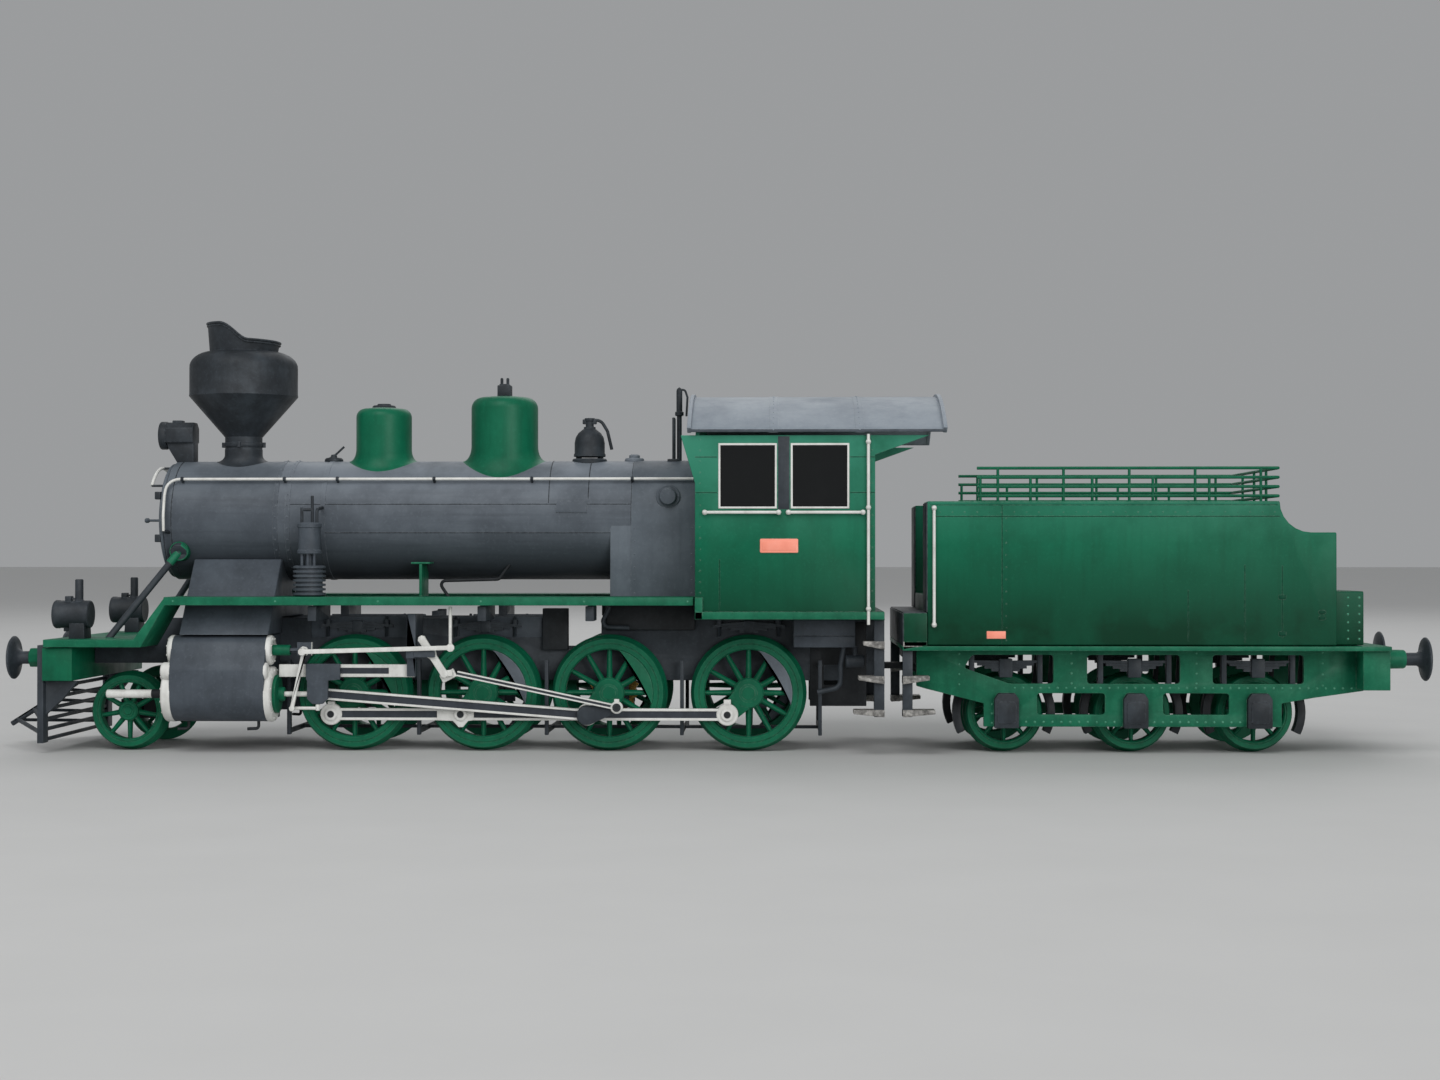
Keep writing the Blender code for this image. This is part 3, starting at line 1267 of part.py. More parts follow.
def front_beam():
    """Buffer beam with its two sockets."""
    sockets = []
    bores = []
    for side in SIDES.values():
        y = side * BUFFER_HALF
        front = BEAM_X - FRONT_SOCKET
        sockets.append(strut((front, y, BUFFER_Z), (BEAM_X + LAP, y, BUFFER_Z), SOCKET_R + LAP))
        end = (BEAM_X + BEAM_LENGTH - STRETCHER, y, BUFFER_Z)
        bores.append(strut((front - LAP, y, BUFFER_Z), end, bore_r(BUFFER_SHANK_R)))
    beam_z = (BEAM_BOTTOM, DECK_BOTTOM - SEAT)
    beam_x = (BEAM_X, BEAM_X + BEAM_LENGTH - SEAT)
    beam = join(box(beam_x, (-BEAM_HALF, BEAM_HALF), beam_z), *sockets)
    finish(cut(beam, *bores), "front_beam", "green")


def cowcatcher():
    """Side posts with gussets, cross slats between them and a V of slats to the nose."""
    front = BEAM_X - SEAT - POST_THICK
    middle = front + POST_THICK / 2
    reach = POST_INNER + LAP
    shapes = []
    for side in SIDES.values():
        y = span(side, POST_INNER, POST_INNER + POST_WIDTH)
        shapes.append(box((front, front + POST_THICK), y, (POST_BOTTOM, POST_TOP)))
        gusset = [
            (front + LAP, GUSSET_BOTTOM),
            (front + LAP, BEAM_BOTTOM - SEAT),
            (BEAM_X + BEAM_LENGTH, BEAM_BOTTOM - SEAT),
            (BEAM_X + BEAM_LENGTH / 2, (GUSSET_BOTTOM + BEAM_BOTTOM) / 2),
        ]
        shapes.append(slab("XZ", gusset, span(side, POST_INNER + LAP, POST_INNER + POST_WIDTH / 2)))
    for i in range(SLAT_COUNT):
        z = SLAT_LOW + SLAT_PITCH * i
        shapes.append(strut((middle, -reach, z), (middle, reach, z), SLAT_R, 4))
    top = Vector((middle, 0, SLAT_LOW + SLAT_PITCH * (SLAT_COUNT - 1)))
    nose = Vector((NOSE_X, 0, NOSE_Z))
    shapes.append(strut(top, nose, SLAT_R + LAP / 2, 6))
    for i in range(NOSE_SLATS):
        along = nose.lerp(top, (i + LAP) / NOSE_SLATS)
        z = SLAT_LOW + SLAT_PITCH * (i + LAP)
        for side in SIDES.values():
            shapes.append(strut((middle, side * reach, z), along, SLAT_R, 4))
    finish(join(*shapes), "cowcatcher", "dark")


def buffer(name, end, side):
    """Sprung buffer: a crowned head on a shank that slides in its socket."""
    face = FRONT_BUFFER_X if end < 0 else REAR_BUFFER_X
    inside = (BEAM_X if end < 0 else TENDER_REAR_X) - end * SEAT
    back = face - end * (BUFFER_HEAD + BUFFER_CROWN)
    profile = [
        (0, inside),
        (BUFFER_SHANK_R, inside),
        (BUFFER_SHANK_R, back - end * LAP),
        (BUFFER_HEAD_R, back),
        (BUFFER_HEAD_R, face - end * BUFFER_CROWN),
        (BUFFER_HEAD_R / 2, face),
        (0, face),
    ]
    shape = turned("X", (0, side * BUFFER_HALF, BUFFER_Z), profile, ROUND_SIDES)
    finish(shape, name, "dark", (face, side * BUFFER_HALF, BUFFER_Z))


def boiler():
    """Smokebox, barrel and firebox, hollow behind the smokebox door."""
    shell = join(
        strut((SMOKEBOX_X, 0, BOILER_Z), (BOILER_REAR_X, 0, BOILER_Z), BOILER_R, BOILER_SIDES),
        box((FIREBOX_X, BOILER_REAR_X), (-FIREBOX_HALF, FIREBOX_HALF), (FIREBOX_BOTTOM, BOILER_Z)),
    )
    start = (SMOKEBOX_X - LAP, 0, BOILER_Z)
    end = (SMOKEBOX_X + SMOKEBOX_DEPTH, 0, BOILER_Z)
    cut(shell, strut(start, end, BOILER_R - SMOKEBOX_WALL, BOILER_SIDES))
    finish(shell, "boiler", "slate")


def smokebox_door():
    """Dished door with its centre handle and a rail over the top, hinged on the right."""
    back = SMOKEBOX_X - SEAT
    edge = BOILER_R - DOOR_EDGE
    rail_x = back - DOOR_RIM - DOOR_RAIL_OUT
    rail = []
    for i in range(DOOR_RAIL_STEPS + 1):
        turn = math.radians(DOOR_RAIL_TURN * (i / DOOR_RAIL_STEPS - 1 / 2))
        rail.append((rail_x, DOOR_RAIL_RING * math.sin(turn), BOILER_Z + DOOR_RAIL_RING * math.cos(turn)))
    feet = [(back - DOOR_RIM / 2, y, z) for x, y, z in (rail[0], rail[-1])]
    profile = [
        (0, back),
        (edge, back),
        (edge, back - DOOR_RIM),
        (edge * 0.75, back - DOOR_RIM - DOOR_CROWN * 0.6),
        (edge * 0.4, back - DOOR_RIM - DOOR_CROWN * 0.9),
        (DOOR_KNOB_R, back - DOOR_RIM - DOOR_CROWN),
        (DOOR_KNOB_R, back - DOOR_RIM - DOOR_CROWN - DOOR_KNOB),
        (0, back - DOOR_RIM - DOOR_CROWN - DOOR_KNOB),
    ]
    door = turned("X", (0, 0, BOILER_Z), profile, ROUND_SIDES + 4)
    door = join(door, wire([feet[0]] + rail + [feet[1]], DOOR_RAIL_R))
    finish(door, "smokebox_door", "slate", (back - DOOR_RIM, edge, BOILER_Z))


def above_boiler(profile):
    """Profile heights measured from the boiler's top, made absolute."""
    return [(radius, BOILER_TOP + height) for radius, height in profile]


def chimney():
    """Stem, conical bowl and the hooded mouth, which is higher at the front."""
    centre = (CHIMNEY_X, 0, 0)
    ring = (CHIMNEY_RING_R - CHIMNEY_STEM_R) / 2
    body = above_boiler(
        [
            (0, CHIMNEY_NECK_Z),
            (CHIMNEY_NECK_R, CHIMNEY_NECK_Z),
            (CHIMNEY_BOWL_R * 0.88, CHIMNEY_BOWL_TOP + (CHIMNEY_NECK_Z - CHIMNEY_BOWL_TOP) * 0.6),
            (CHIMNEY_BOWL_R, CHIMNEY_BOWL_TOP),
            (CHIMNEY_BOWL_R, CHIMNEY_CONE_TOP),
            (CHIMNEY_STEM_R, CHIMNEY_STEM_TOP),
            (CHIMNEY_STEM_R, CHIMNEY_RING_Z + 2 * ring),
            (CHIMNEY_RING_R, CHIMNEY_RING_Z + ring),
            (CHIMNEY_RING_R, CHIMNEY_RING_Z - ring),
            (CHIMNEY_STEM_R, CHIMNEY_RING_Z - 2 * ring),
            (CHIMNEY_STEM_R, 2 * SEAT + LAP),
            (CHIMNEY_BASE_R, SEAT),
            (CHIMNEY_BASE_R, -DOME_SKIRT / 2),
            (0, -DOME_SKIRT / 2),
        ]
    )
    hood = above_boiler(
        [
            (0, HOOD_FRONT_TOP),
            (CHIMNEY_NECK_R, HOOD_FRONT_TOP),
            (CHIMNEY_NECK_R - LAP / 2, CHIMNEY_NECK_Z - LAP),
            (0, CHIMNEY_NECK_Z - LAP),
        ]
    )
    stack = join(turned("Z", centre, body, ROUND_SIDES + 4), turned("Z", centre, hood, ROUND_SIDES + 4))
    front = BOILER_TOP + HOOD_FRONT_TOP
    rear = BOILER_TOP + HOOD_REAR_TOP
    reach = CHIMNEY_NECK_R + LAP
    sweep = []
    for i in range(9):
        share = i / 8
        sweep.append((CHIMNEY_X - reach * 0.7 + 1.7 * reach * share, front + (rear - front) * share ** 0.6))
    above = [(CHIMNEY_X + reach, front + reach), (CHIMNEY_X - reach * 0.7, front + reach)]
    mouth = strut(
        (CHIMNEY_X, 0, BOILER_TOP + CHIMNEY_CONE_TOP),
        (CHIMNEY_X, 0, front + reach),
        CHIMNEY_NECK_R - CHIMNEY_WALL,
        ROUND_SIDES + 4,
    )
    cut(stack, boiler_seat(), slab("XZ", sweep + above, (-reach, reach)), mouth)
    finish(stack, "chimney", "dark")


def dome_profile(radius, flare, height):
    """Straight-sided dome with a round shoulder and a skirt that flares to the boiler."""
    top = [(0, height)]
    for turn in (80, 50, 25, 0):
        part = math.radians(turn)
        top.append(
            (
                radius - DOME_SHOULDER + DOME_SHOULDER * math.cos(part),
                height - DOME_SHOULDER + DOME_SHOULDER * math.sin(part),
            )
        )
    skirt = [
        (radius, flare),
        (radius + flare * 0.4, 0),
        (radius + flare, -DOME_SKIRT * 0.6),
        (radius + flare, -DOME_SKIRT),
        (0, -DOME_SKIRT),
    ]
    return above_boiler(top + skirt)


def sand_dome():
    profile = dome_profile(SAND_DOME_R, SAND_DOME_FLARE, SAND_DOME_HEIGHT)
    body = turned("Z", (SAND_DOME_X, 0, 0), profile, ROUND_SIDES + 4)
    top = BOILER_TOP + SAND_DOME_HEIGHT
    cap = strut((SAND_DOME_X, 0, top - 2 * LAP), (SAND_DOME_X, 0, top + SAND_CAP), SAND_CAP_R)
    finish(cut(join(body, cap), boiler_seat()), "sand_dome", "green")


def steam_dome():
    profile = dome_profile(STEAM_DOME_R, STEAM_DOME_FLARE, STEAM_DOME_HEIGHT)
    body = turned("Z", (STEAM_DOME_X, 0, 0), profile, ROUND_SIDES + 4)
    top = BOILER_TOP + STEAM_DOME_HEIGHT
    half = VALVE_BOX_HALF
    limits = (STEAM_DOME_X - half, STEAM_DOME_X + half)
    shapes = [box(limits, (-half, half), (top - 2 * LAP, top + VALVE_BOX))]
    for x in (STEAM_DOME_X - half / 2, STEAM_DOME_X + half / 2):
        pin_top = top + VALVE_BOX + VALVE_BOX_PIN
        shapes.append(strut((x, 0, top + VALVE_BOX - LAP), (x, 0, pin_top), VALVE_BOX_PIN_R))
    finish(cut(join(body, *shapes), boiler_seat()), "steam_dome", "green")


def safety_valve():
    """Bell-shaped valve on two legs, with its lever bent down to the rear."""
    low = BOILER_TOP + SAFETY_BASE
    bell_top = low + SAFETY_BELL
    profile = [
        (0, bell_top + SAFETY_STEM),
        (SAFETY_STEM_R, bell_top + SAFETY_STEM),
        (SAFETY_STEM_R, bell_top),
        (SAFETY_R * 0.6, bell_top - SAFETY_BELL * 0.12),
        (SAFETY_R * 0.95, bell_top - SAFETY_BELL * 0.35),
        (SAFETY_R, bell_top - SAFETY_BELL * 0.6),
        (SAFETY_R, low),
        (0, low),
    ]
    shapes = [turned("Z", (SAFETY_X, 0, 0), profile, ROUND_SIDES)]
    for x in (SAFETY_X - SAFETY_LEG_X, SAFETY_X + SAFETY_LEG_X):
        shapes.append(strut((x, 0, BOILER_TOP - SAFETY_BASE), (x, 0, low + LAP), SAFETY_LEG_R))
    reach = SAFETY_LEVER_REACH
    lever = [
        (SAFETY_X, 0, bell_top + SAFETY_STEM - LAP),
        (SAFETY_X + reach * 0.6, 0, bell_top + SAFETY_STEM * 0.6),
        (SAFETY_X + reach * 0.95, 0, bell_top - SAFETY_STEM * 0.4),
        (SAFETY_X + reach, 0, low + SAFETY_BASE),
    ]
    shapes.append(wire(lever, SAFETY_LEVER_R))
    finish(cut(join(*shapes), boiler_seat()), "safety_valve", "dark")


def whistle():
    """Whistle on an upright plate in front of the cab."""
    half = WHISTLE_PLATE / 2
    plate_top = BOILER_TOP + WHISTLE_PLATE_HEIGHT
    shape = join(
        box((WHISTLE_X - half, WHISTLE_X + half), (-half, half), (BOILER_TOP - SEAT, plate_top)),
        strut((WHISTLE_X, 0, plate_top - LAP), (WHISTLE_X, 0, BOILER_TOP + WHISTLE_HEIGHT), WHISTLE_R),
    )
    finish(cut(shape, boiler_seat()), "whistle", "dark")


def headlight():
    """Lamp body with chamfered top, lens, rear cap and pedestal on the smokebox."""
    low = HEADLIGHT_Z - HEADLIGHT_BODY_LOW
    high = HEADLIGHT_Z + HEADLIGHT_BODY_HIGH
    half = HEADLIGHT_HALF
    rear = HEADLIGHT_X + HEADLIGHT_LENGTH
    outline = [
        (-half, low),
        (half, low),
        (half, high - half / 2),
        (half / 2, high),
        (-half / 2, high),
        (-half, high - half / 2),
    ]
    foot = (rear - 2 * HEADLIGHT_POST_HALF, rear)
    lens = (HEADLIGHT_X - HEADLIGHT_LENS, 0, HEADLIGHT_Z)
    lamp = join(
        slab("YZ", outline, (HEADLIGHT_X, rear)),
        strut(lens, (HEADLIGHT_X + LAP, 0, HEADLIGHT_Z), HEADLIGHT_LENS_R, ROUND_SIDES),
        strut((rear - LAP, 0, HEADLIGHT_Z), (rear + HEADLIGHT_CAP, 0, HEADLIGHT_Z), half - LAP),
        box(foot, (-HEADLIGHT_POST_HALF, HEADLIGHT_POST_HALF), (BOILER_TOP - 2 * SEAT, low + LAP)),
    )
    finish(cut(lamp, boiler_seat()), "headlight", "dark")


def air_pump():
    """Steam cylinder above a finned air cylinder, on the left running board."""
    low = BOARD_TOP + SEAT
    profile = [(0, PUMP_STEAM_TOP), (PUMP_STEAM_R, PUMP_STEAM_TOP), (PUMP_STEAM_R, PUMP_STEAM_Z)]
    profile += [(PUMP_NECK_R, PUMP_STEAM_Z), (PUMP_NECK_R, PUMP_AIR_TOP)]
    pitch = (PUMP_AIR_TOP - low) / (2 * PUMP_FINS - 1)
    for i in range(2 * PUMP_FINS - 1):
        radius = PUMP_AIR_R + (0 if i % 2 else PUMP_FIN)
        profile += [(radius, PUMP_AIR_TOP - pitch * i), (radius, PUMP_AIR_TOP - pitch * (i + 1))]
    profile.append((0, low))
    pad_z = (PUMP_STEAM_Z + LAP, PUMP_STEAM_Z + 2 * PUMP_PAD_HALF)
    pad = box((PUMP_X - PUMP_PAD_HALF, PUMP_X + PUMP_PAD_HALF), (-PUMP_OUT, -BOILER_R + PUMP_PAD_HALF), pad_z)
    pump = join(turned("Z", (PUMP_X, -PUMP_OUT, 0), profile, PIN_SIDES + 2), pad)
    finish(cut(pump, boiler_seat()), "air_pump", "dark")


def handrail(side_name):
    """Boiler handrail on short posts, turned down at the smokebox front."""
    side = SIDES[side_name]
    rail_out = BOILER_R + RAIL_STANDOFF

    def place(x, z):
        return (x, side * math.sqrt(rail_out**2 - (z - BOILER_Z) ** 2), z)

    corner = (RAIL_FRONT_X - RAIL_DROP_X) * 0.3
    points = [
        place(BOILER_REAR_X - SEAT, RAIL_Z),
        place(RAIL_FRONT_X, RAIL_Z),
        place(RAIL_DROP_X + corner, RAIL_Z - corner),
        place(RAIL_DROP_X, RAIL_Z - 3 * corner),
        place(RAIL_DROP_X, (RAIL_Z + RAIL_DROP_Z) / 2 - corner),
        place(RAIL_DROP_X, RAIL_DROP_Z),
    ]
    shapes = [wire(points, RAIL_R)]
    out = place(0, RAIL_Z)
    away = Vector((0, out[1], RAIL_Z - BOILER_Z)).normalized()
    for x in RAIL_POST_XS:
        post_top = Vector((x, 0, BOILER_Z)) + away * (rail_out + LAP)
        post_foot = Vector((x, 0, BOILER_Z)) + away * (BOILER_R + SEAT)
        shapes.append(strut(post_foot, post_top, RAIL_POST_R, 4))
    finish(join(*shapes), "handrail_" + side_name, "white")


def front_lamp(side_name):
    """Round lamp on a foot, with a rim at each end and a flue on top."""
    side = SIDES[side_name]
    y = side * LAMP_OUT
    end = LAMP_X + LAMP_LENGTH
    small = LAMP_R - LAMP_RIM / 2
    profile = [
        (0, LAMP_X),
        (LAMP_R, LAMP_X),
        (LAMP_R, LAMP_X + LAMP_RIM),
        (small, LAMP_X + 2 * LAMP_RIM),
        (small, end - 2 * LAMP_RIM),
        (LAMP_R, end - LAMP_RIM),
        (LAMP_R, end),
        (0, end),
    ]
    lamp = join(
        turned("X", (0, y, LAMP_Z), profile, ROUND_SIDES),
        box(
            (LAMP_FOOT_X, LAMP_FOOT_X + LAMP_FOOT_LENGTH),
            (y - LAMP_FOOT_HALF, y + LAMP_FOOT_HALF),
            (DECK_TOP + SEAT, LAMP_Z - small * 0.6),
        ),
        strut((LAMP_FLUE_X, y, LAMP_Z), (LAMP_FLUE_X, y, LAMP_FLUE_TOP), LAMP_FLUE_R),
    )
    finish(lamp, "front_lamp_" + side_name, "dark")


def rectangle(a, b):
    return [(a[0], b[0]), (a[1], b[0]), (a[1], b[1]), (a[0], b[1])]


def roof_arc(drop, half):
    """Points of the roof's curve from right to left, some way below its outer face."""
    points = []
    for i in range(ROOF_STEPS + 1):
        y = half - 2 * half * i / ROOF_STEPS
        points.append((y, ROOF_CENTRE_Z + math.sqrt((ROOF_R - drop) ** 2 - y**2)))
    return points


def steps(x, width, tread_x, side, top):
    """Hanging step plate with three treads."""
    y = span(side, TENDER_HALF - CAB_WALL - LAP, TENDER_HALF - LAP)
    shapes = [box((x, x + width), y, (STEP_BOTTOM + LAP, top))]
    tread_y = span(side, TENDER_HALF - STEP_TREAD_DEPTH, TENDER_HALF + LAP)
    for i in range(STEP_COUNT):
        low = STEP_BOTTOM + STEP_PITCH * i
        shapes.append(box(tread_x, tread_y, (low, low + STEP_TREAD)))
    return shapes


def cab():
    """Floor, front wall and side walls with window openings, and the steps below."""
    window_z = (WINDOW_Z, WINDOW_Z + WINDOW_HEIGHT)
    windows = [rectangle((x, x + WINDOW_WIDTH), window_z) for x in WINDOW_XS]
    wall_z = (CAB_FLOOR_TOP - LAP, CAB_TOP)
    inside = CAB_HALF - CAB_WALL
    shapes = [box((CAB_X, CAB_FLOOR_REAR), (-CAB_HALF, CAB_HALF), (CAB_FLOOR_Z, CAB_FLOOR_TOP))]
    for side in SIDES.values():
        wall = span(side, inside, CAB_HALF)
        shapes.append(slab("XZ", rectangle((CAB_X, CAB_REAR), wall_z), wall, windows))
        front = [
            (CAB_X + LAP, CAB_TOP),
            (CAB_X - BRACKET_FRONT, CAB_TOP),
            (CAB_X + LAP, CAB_TOP - BRACKET_FRONT_DROP),
        ]
        rear = [
            (CAB_REAR - LAP, CAB_TOP),
            (CAB_REAR + BRACKET_REAR, CAB_TOP),
            (CAB_REAR - LAP, CAB_TOP - BRACKET_REAR_DROP),
        ]
        shapes.append(slab("XZ", front, wall))
        shapes.append(slab("XZ", rear, wall))
        treads = (STEP_POST_X + STEP_POST_WIDTH - STEP_TREAD_LENGTH, STEP_POST_X + STEP_POST_WIDTH)
        shapes += steps(STEP_POST_X, STEP_POST_WIDTH, treads, side, CAB_FLOOR_Z + LAP)
    lookouts = []
    for side in SIDES.values():
        low = WINDOW_Z + WINDOW_HEIGHT - FRONT_WINDOW_HEIGHT
        pair = span(side, FRONT_WINDOW_Y, FRONT_WINDOW_Y + FRONT_WINDOW_WIDTH)
        lookouts.append(rectangle(pair, (low, window_z[1])))
    wall = [(-inside - LAP, wall_z[0]), (inside + LAP, wall_z[0])] + roof_arc(ROOF_THICK + SEAT, inside + LAP)
    shapes.append(slab("YZ", wall, (CAB_X + LAP / 2, CAB_X + CAB_WALL), lookouts))
    finish(join(*shapes), "cab", "green")


def cab_roof():
    outline = roof_arc(0, ROOF_HALF) + list(reversed(roof_arc(ROOF_THICK, ROOF_HALF)))
    finish(slab("YZ", outline, (ROOF_X, ROOF_X + ROOF_LENGTH)), "cab_roof", "roof")


def cab_glazing():
    """One clear moulding behind the side windows and the front lookouts."""
    out = CAB_HALF - CAB_WALL - SEAT
    front = CAB_X + CAB_WALL + SEAT
    rear = WINDOW_XS[-1] + WINDOW_WIDTH + STRETCHER
    z = (WINDOW_Z - STRETCHER, WINDOW_Z + WINDOW_HEIGHT + STRETCHER / 2)
    shapes = [box((front, front + GLASS), (-out, out), z)]
    for side in SIDES.values():
        shapes.append(box((front, rear), span(side, out - GLASS, out), z))
    finish(join(*shapes), "cab_glazing", "glass")


def drawbar():
    pins = [(ENGINE_PIN_X, 0), (TENDER_PIN_X, 0)]
    outline = rod_outline([(pin, DRAWBAR_HALF) for pin in pins], 2 * DRAWBAR_HALF - 2 * LAP)
    z = (DRAWBAR_Z, DRAWBAR_Z + DRAWBAR_THICK)
    link = slab("XY", outline, z, [ring(pin, bore_r(DRAW_PIN_R)) for pin in pins])
    finish(link, "drawbar", "dark", (ENGINE_PIN_X, 0, z[0]))


def tender_plate_holes():
    """Openings in the tender's side plate: one above each axle and one between each two."""
    holes = []
    upper = (UPPER_WINDOW_Z, UPPER_WINDOW_Z + UPPER_WINDOW_HEIGHT)
    lower = (LOWER_WINDOW_Z, LOWER_WINDOW_Z + LOWER_WINDOW_HEIGHT)
    for x in TENDER_XS:
        holes.append(rectangle((x - UPPER_WINDOW_HALF, x + UPPER_WINDOW_HALF), upper))
    for first, second in zip(TENDER_XS, TENDER_XS[1:]):
        middle = (first + second) / 2
        holes.append(rectangle((middle - LOWER_WINDOW_HALF, middle + LOWER_WINDOW_HALF), lower))
    return holes


def tender_frame():
    """Footplate, side plates with axle boxes and springs, rear beam, platform and steps."""
    plate = [
        (TENDER_PLATE_X, FOOTPLATE_Z + LAP),
        (TENDER_PLATE_X, TENDER_PLATE_END_Z),
        (TENDER_LOW_X, TENDER_PLATE_BEND_Z),
        (TENDER_LOW_X, TENDER_PLATE_LOW),
        (TENDER_LOW_REAR, TENDER_PLATE_LOW),
        (TENDER_LOW_REAR, TENDER_PLATE_BEND_Z),
        (TENDER_PLATE_REAR, TENDER_PLATE_END_Z),
        (TENDER_PLATE_REAR, FOOTPLATE_Z + LAP),
    ]
    half = TENDER_HALF
    drag_z = (DRAWBAR_Z + DRAWBAR_THICK + PIN_BELOW, FOOTPLATE_Z + 2 * LAP)
    drag_x = (TENDER_PLATE_X + LAP, TENDER_PIN_X + DRAWBAR_HALF)
    drag_y = TENDER_PLATE_IN + TENDER_PLATE / 2
    beam_z = (TENDER_BEAM_BOTTOM, FOOTPLATE_Z + 3 * LAP)
    platform_x = (TENDER_FRONT_X + LAP, TANK_X - SEAT)
    leaf_y = (TENDER_PLATE_IN - SPRING_THICK + LAP, TENDER_PLATE_IN + LAP)
    shapes = [
        box((TENDER_FRONT_X, TENDER_REAR_X), (-half, half), (FOOTPLATE_Z, FOOTPLATE_TOP)),
        box(platform_x, (-TANK_HALF, TANK_HALF), (FOOTPLATE_TOP - LAP, PLATFORM_TOP)),
        box((TENDER_BEAM_X, TENDER_REAR_X - LAP), (-TENDER_BEAM_HALF, TENDER_BEAM_HALF), beam_z),
        box(drag_x, (-drag_y, drag_y), drag_z),
        strut((TENDER_PIN_X, 0, DRAWBAR_Z - PIN_BELOW), (TENDER_PIN_X, 0, drag_z[0] + LAP), DRAW_PIN_R),
    ]
    bores = []
    for side in SIDES.values():
        shapes.append(slab("XZ", plate, span(side, TENDER_PLATE_IN, TENDER_PLATE_OUT), tender_plate_holes()))
        treads = (TENDER_STEP_X, TENDER_STEP_X + STEP_TREAD_LENGTH + STEP_POST_WIDTH / 2)
        shapes += steps(TENDER_STEP_X, STEP_POST_WIDTH, treads, side, FOOTPLATE_Z + LAP)
        for x in TENDER_XS:
            box_x = (x - AXLE_BOX_WIDTH / 2, x + AXLE_BOX_WIDTH / 2)
            box_y = span(side, TENDER_PLATE_OUT - LAP, TENDER_PLATE_OUT + AXLE_BOX_OUT)
            shapes.append(box(box_x, box_y, (AXLE_BOX_Z, AXLE_BOX_Z + AXLE_BOX_HEIGHT)))
            start = side * (TENDER_PLATE_IN - LAP)
            end = side * (TENDER_PLATE_OUT + JOURNAL_IN_BOX + SEAT)
            bores.append(strut((x, start, TENDER_Z), (x, end, TENDER_Z), bore_r(JOURNAL_R)))
            top = SPRING_Z + SPRING_HEIGHT
            low = UPPER_WINDOW_Z - 2 * LAP
            buckle = SPRING_BUCKLE_HALF
            leaf = [
                (x - SPRING_HALF, top),
                (x - SPRING_HALF, top - SPRING_HEIGHT / 3),
                (x - buckle, SPRING_Z),
                (x - buckle, low),
                (x + buckle, low),
                (x + buckle, SPRING_Z),
                (x + SPRING_HALF, top - SPRING_HEIGHT / 3),
                (x + SPRING_HALF, top),
            ]
            shapes.append(slab("XZ", leaf, span(side, *leaf_y)))
        y = side * BUFFER_HALF
        rear = TENDER_REAR_X + REAR_SOCKET
        shapes.append(strut((TENDER_REAR_X - 2 * LAP, y, BUFFER_Z), (rear, y, BUFFER_Z), SOCKET_R + LAP))
        inner = TENDER_BEAM_X + STRETCHER
        bores.append(strut((inner, y, BUFFER_Z), (rear + LAP, y, BUFFER_Z), bore_r(BUFFER_SHANK_R)))
    finish(cut(join(*shapes), *bores), "tender_frame", "green")


def tender_tank():
    """Water tank round the fuel bunker, stepped down at the rear, with the tool box behind it."""
    low = FOOTPLATE_TOP + SEAT
    scoop = arc((TANK_STEP_X, TANK_TOP), TANK_SCOOP, 180, 270, 6)
    front = [(TANK_X, low), (TANK_X, TANK_TOP)]
    rear = [(TANK_REAR_X, TANK_TOP - TANK_SCOOP), (TANK_REAR_X, low)]
    outline = front + scoop + rear
    tank = join(
        slab("XZ", outline, (-TANK_HALF, TANK_HALF)),
        box((TANK_REAR_X - LAP, TOOL_BOX_X), (-TOOL_BOX_HALF, TOOL_BOX_HALF), (low, TOOL_BOX_TOP)),
    )
    bunker_x = (TANK_X + BUNKER_FRONT, TANK_X + BUNKER_FRONT + BUNKER_LENGTH)
    half = TANK_HALF - TANK_WALL
    gate_x = (TANK_X - LAP, bunker_x[0] + LAP)
    height = (BUNKER_FLOOR, TANK_TOP + LAP)
    cut(tank, box(bunker_x, (-half, half), height), box(gate_x, (-TANK_GATE_HALF, TANK_GATE_HALF), height))
    finish(tank, "tender_tank", "green")


def coal_rails():
    """Four rails round the bunker on posts."""
    x = (FUEL_RAIL_X, FUEL_RAIL_X + FUEL_RAIL_LENGTH)
    half = FUEL_RAIL_HALF
    shapes = []
    corners = rectangle(x, (-half, half))
    for i in range(FUEL_RAIL_COUNT):
        z = FUEL_RAIL_Z + FUEL_RAIL_PITCH * i
        shapes.append(wire([(a, b, z) for a, b in corners], FUEL_RAIL_R, closed=True))
    top = FUEL_RAIL_Z + FUEL_RAIL_PITCH * (FUEL_RAIL_COUNT - 1) + FUEL_RAIL_R / 2
    for side in SIDES.values():
        for i in range(FUEL_POST_COUNT):
            post = x[0] + FUEL_POST_INSET + FUEL_POST_PITCH * i
            y = span(side, half - 2 * FUEL_RAIL_R, half)
            shapes.append(box((post - FUEL_RAIL_R, post + FUEL_RAIL_R), y, (TANK_TOP + SEAT, top)))
    finish(join(*shapes), "coal_rails", "green")


def hang_on_origin():
    """Hangs every part on one empty that moves the stations to the model's own origin."""
    root = bpy.data.objects.new("locomotive_origin", None)
    bpy.context.scene.collection.objects.link(root)
    root.location.x = ORIGIN_SHIFT * MM
    for obj in (*PARTS.objects, *CUTTERS.objects):
        obj.parent = root


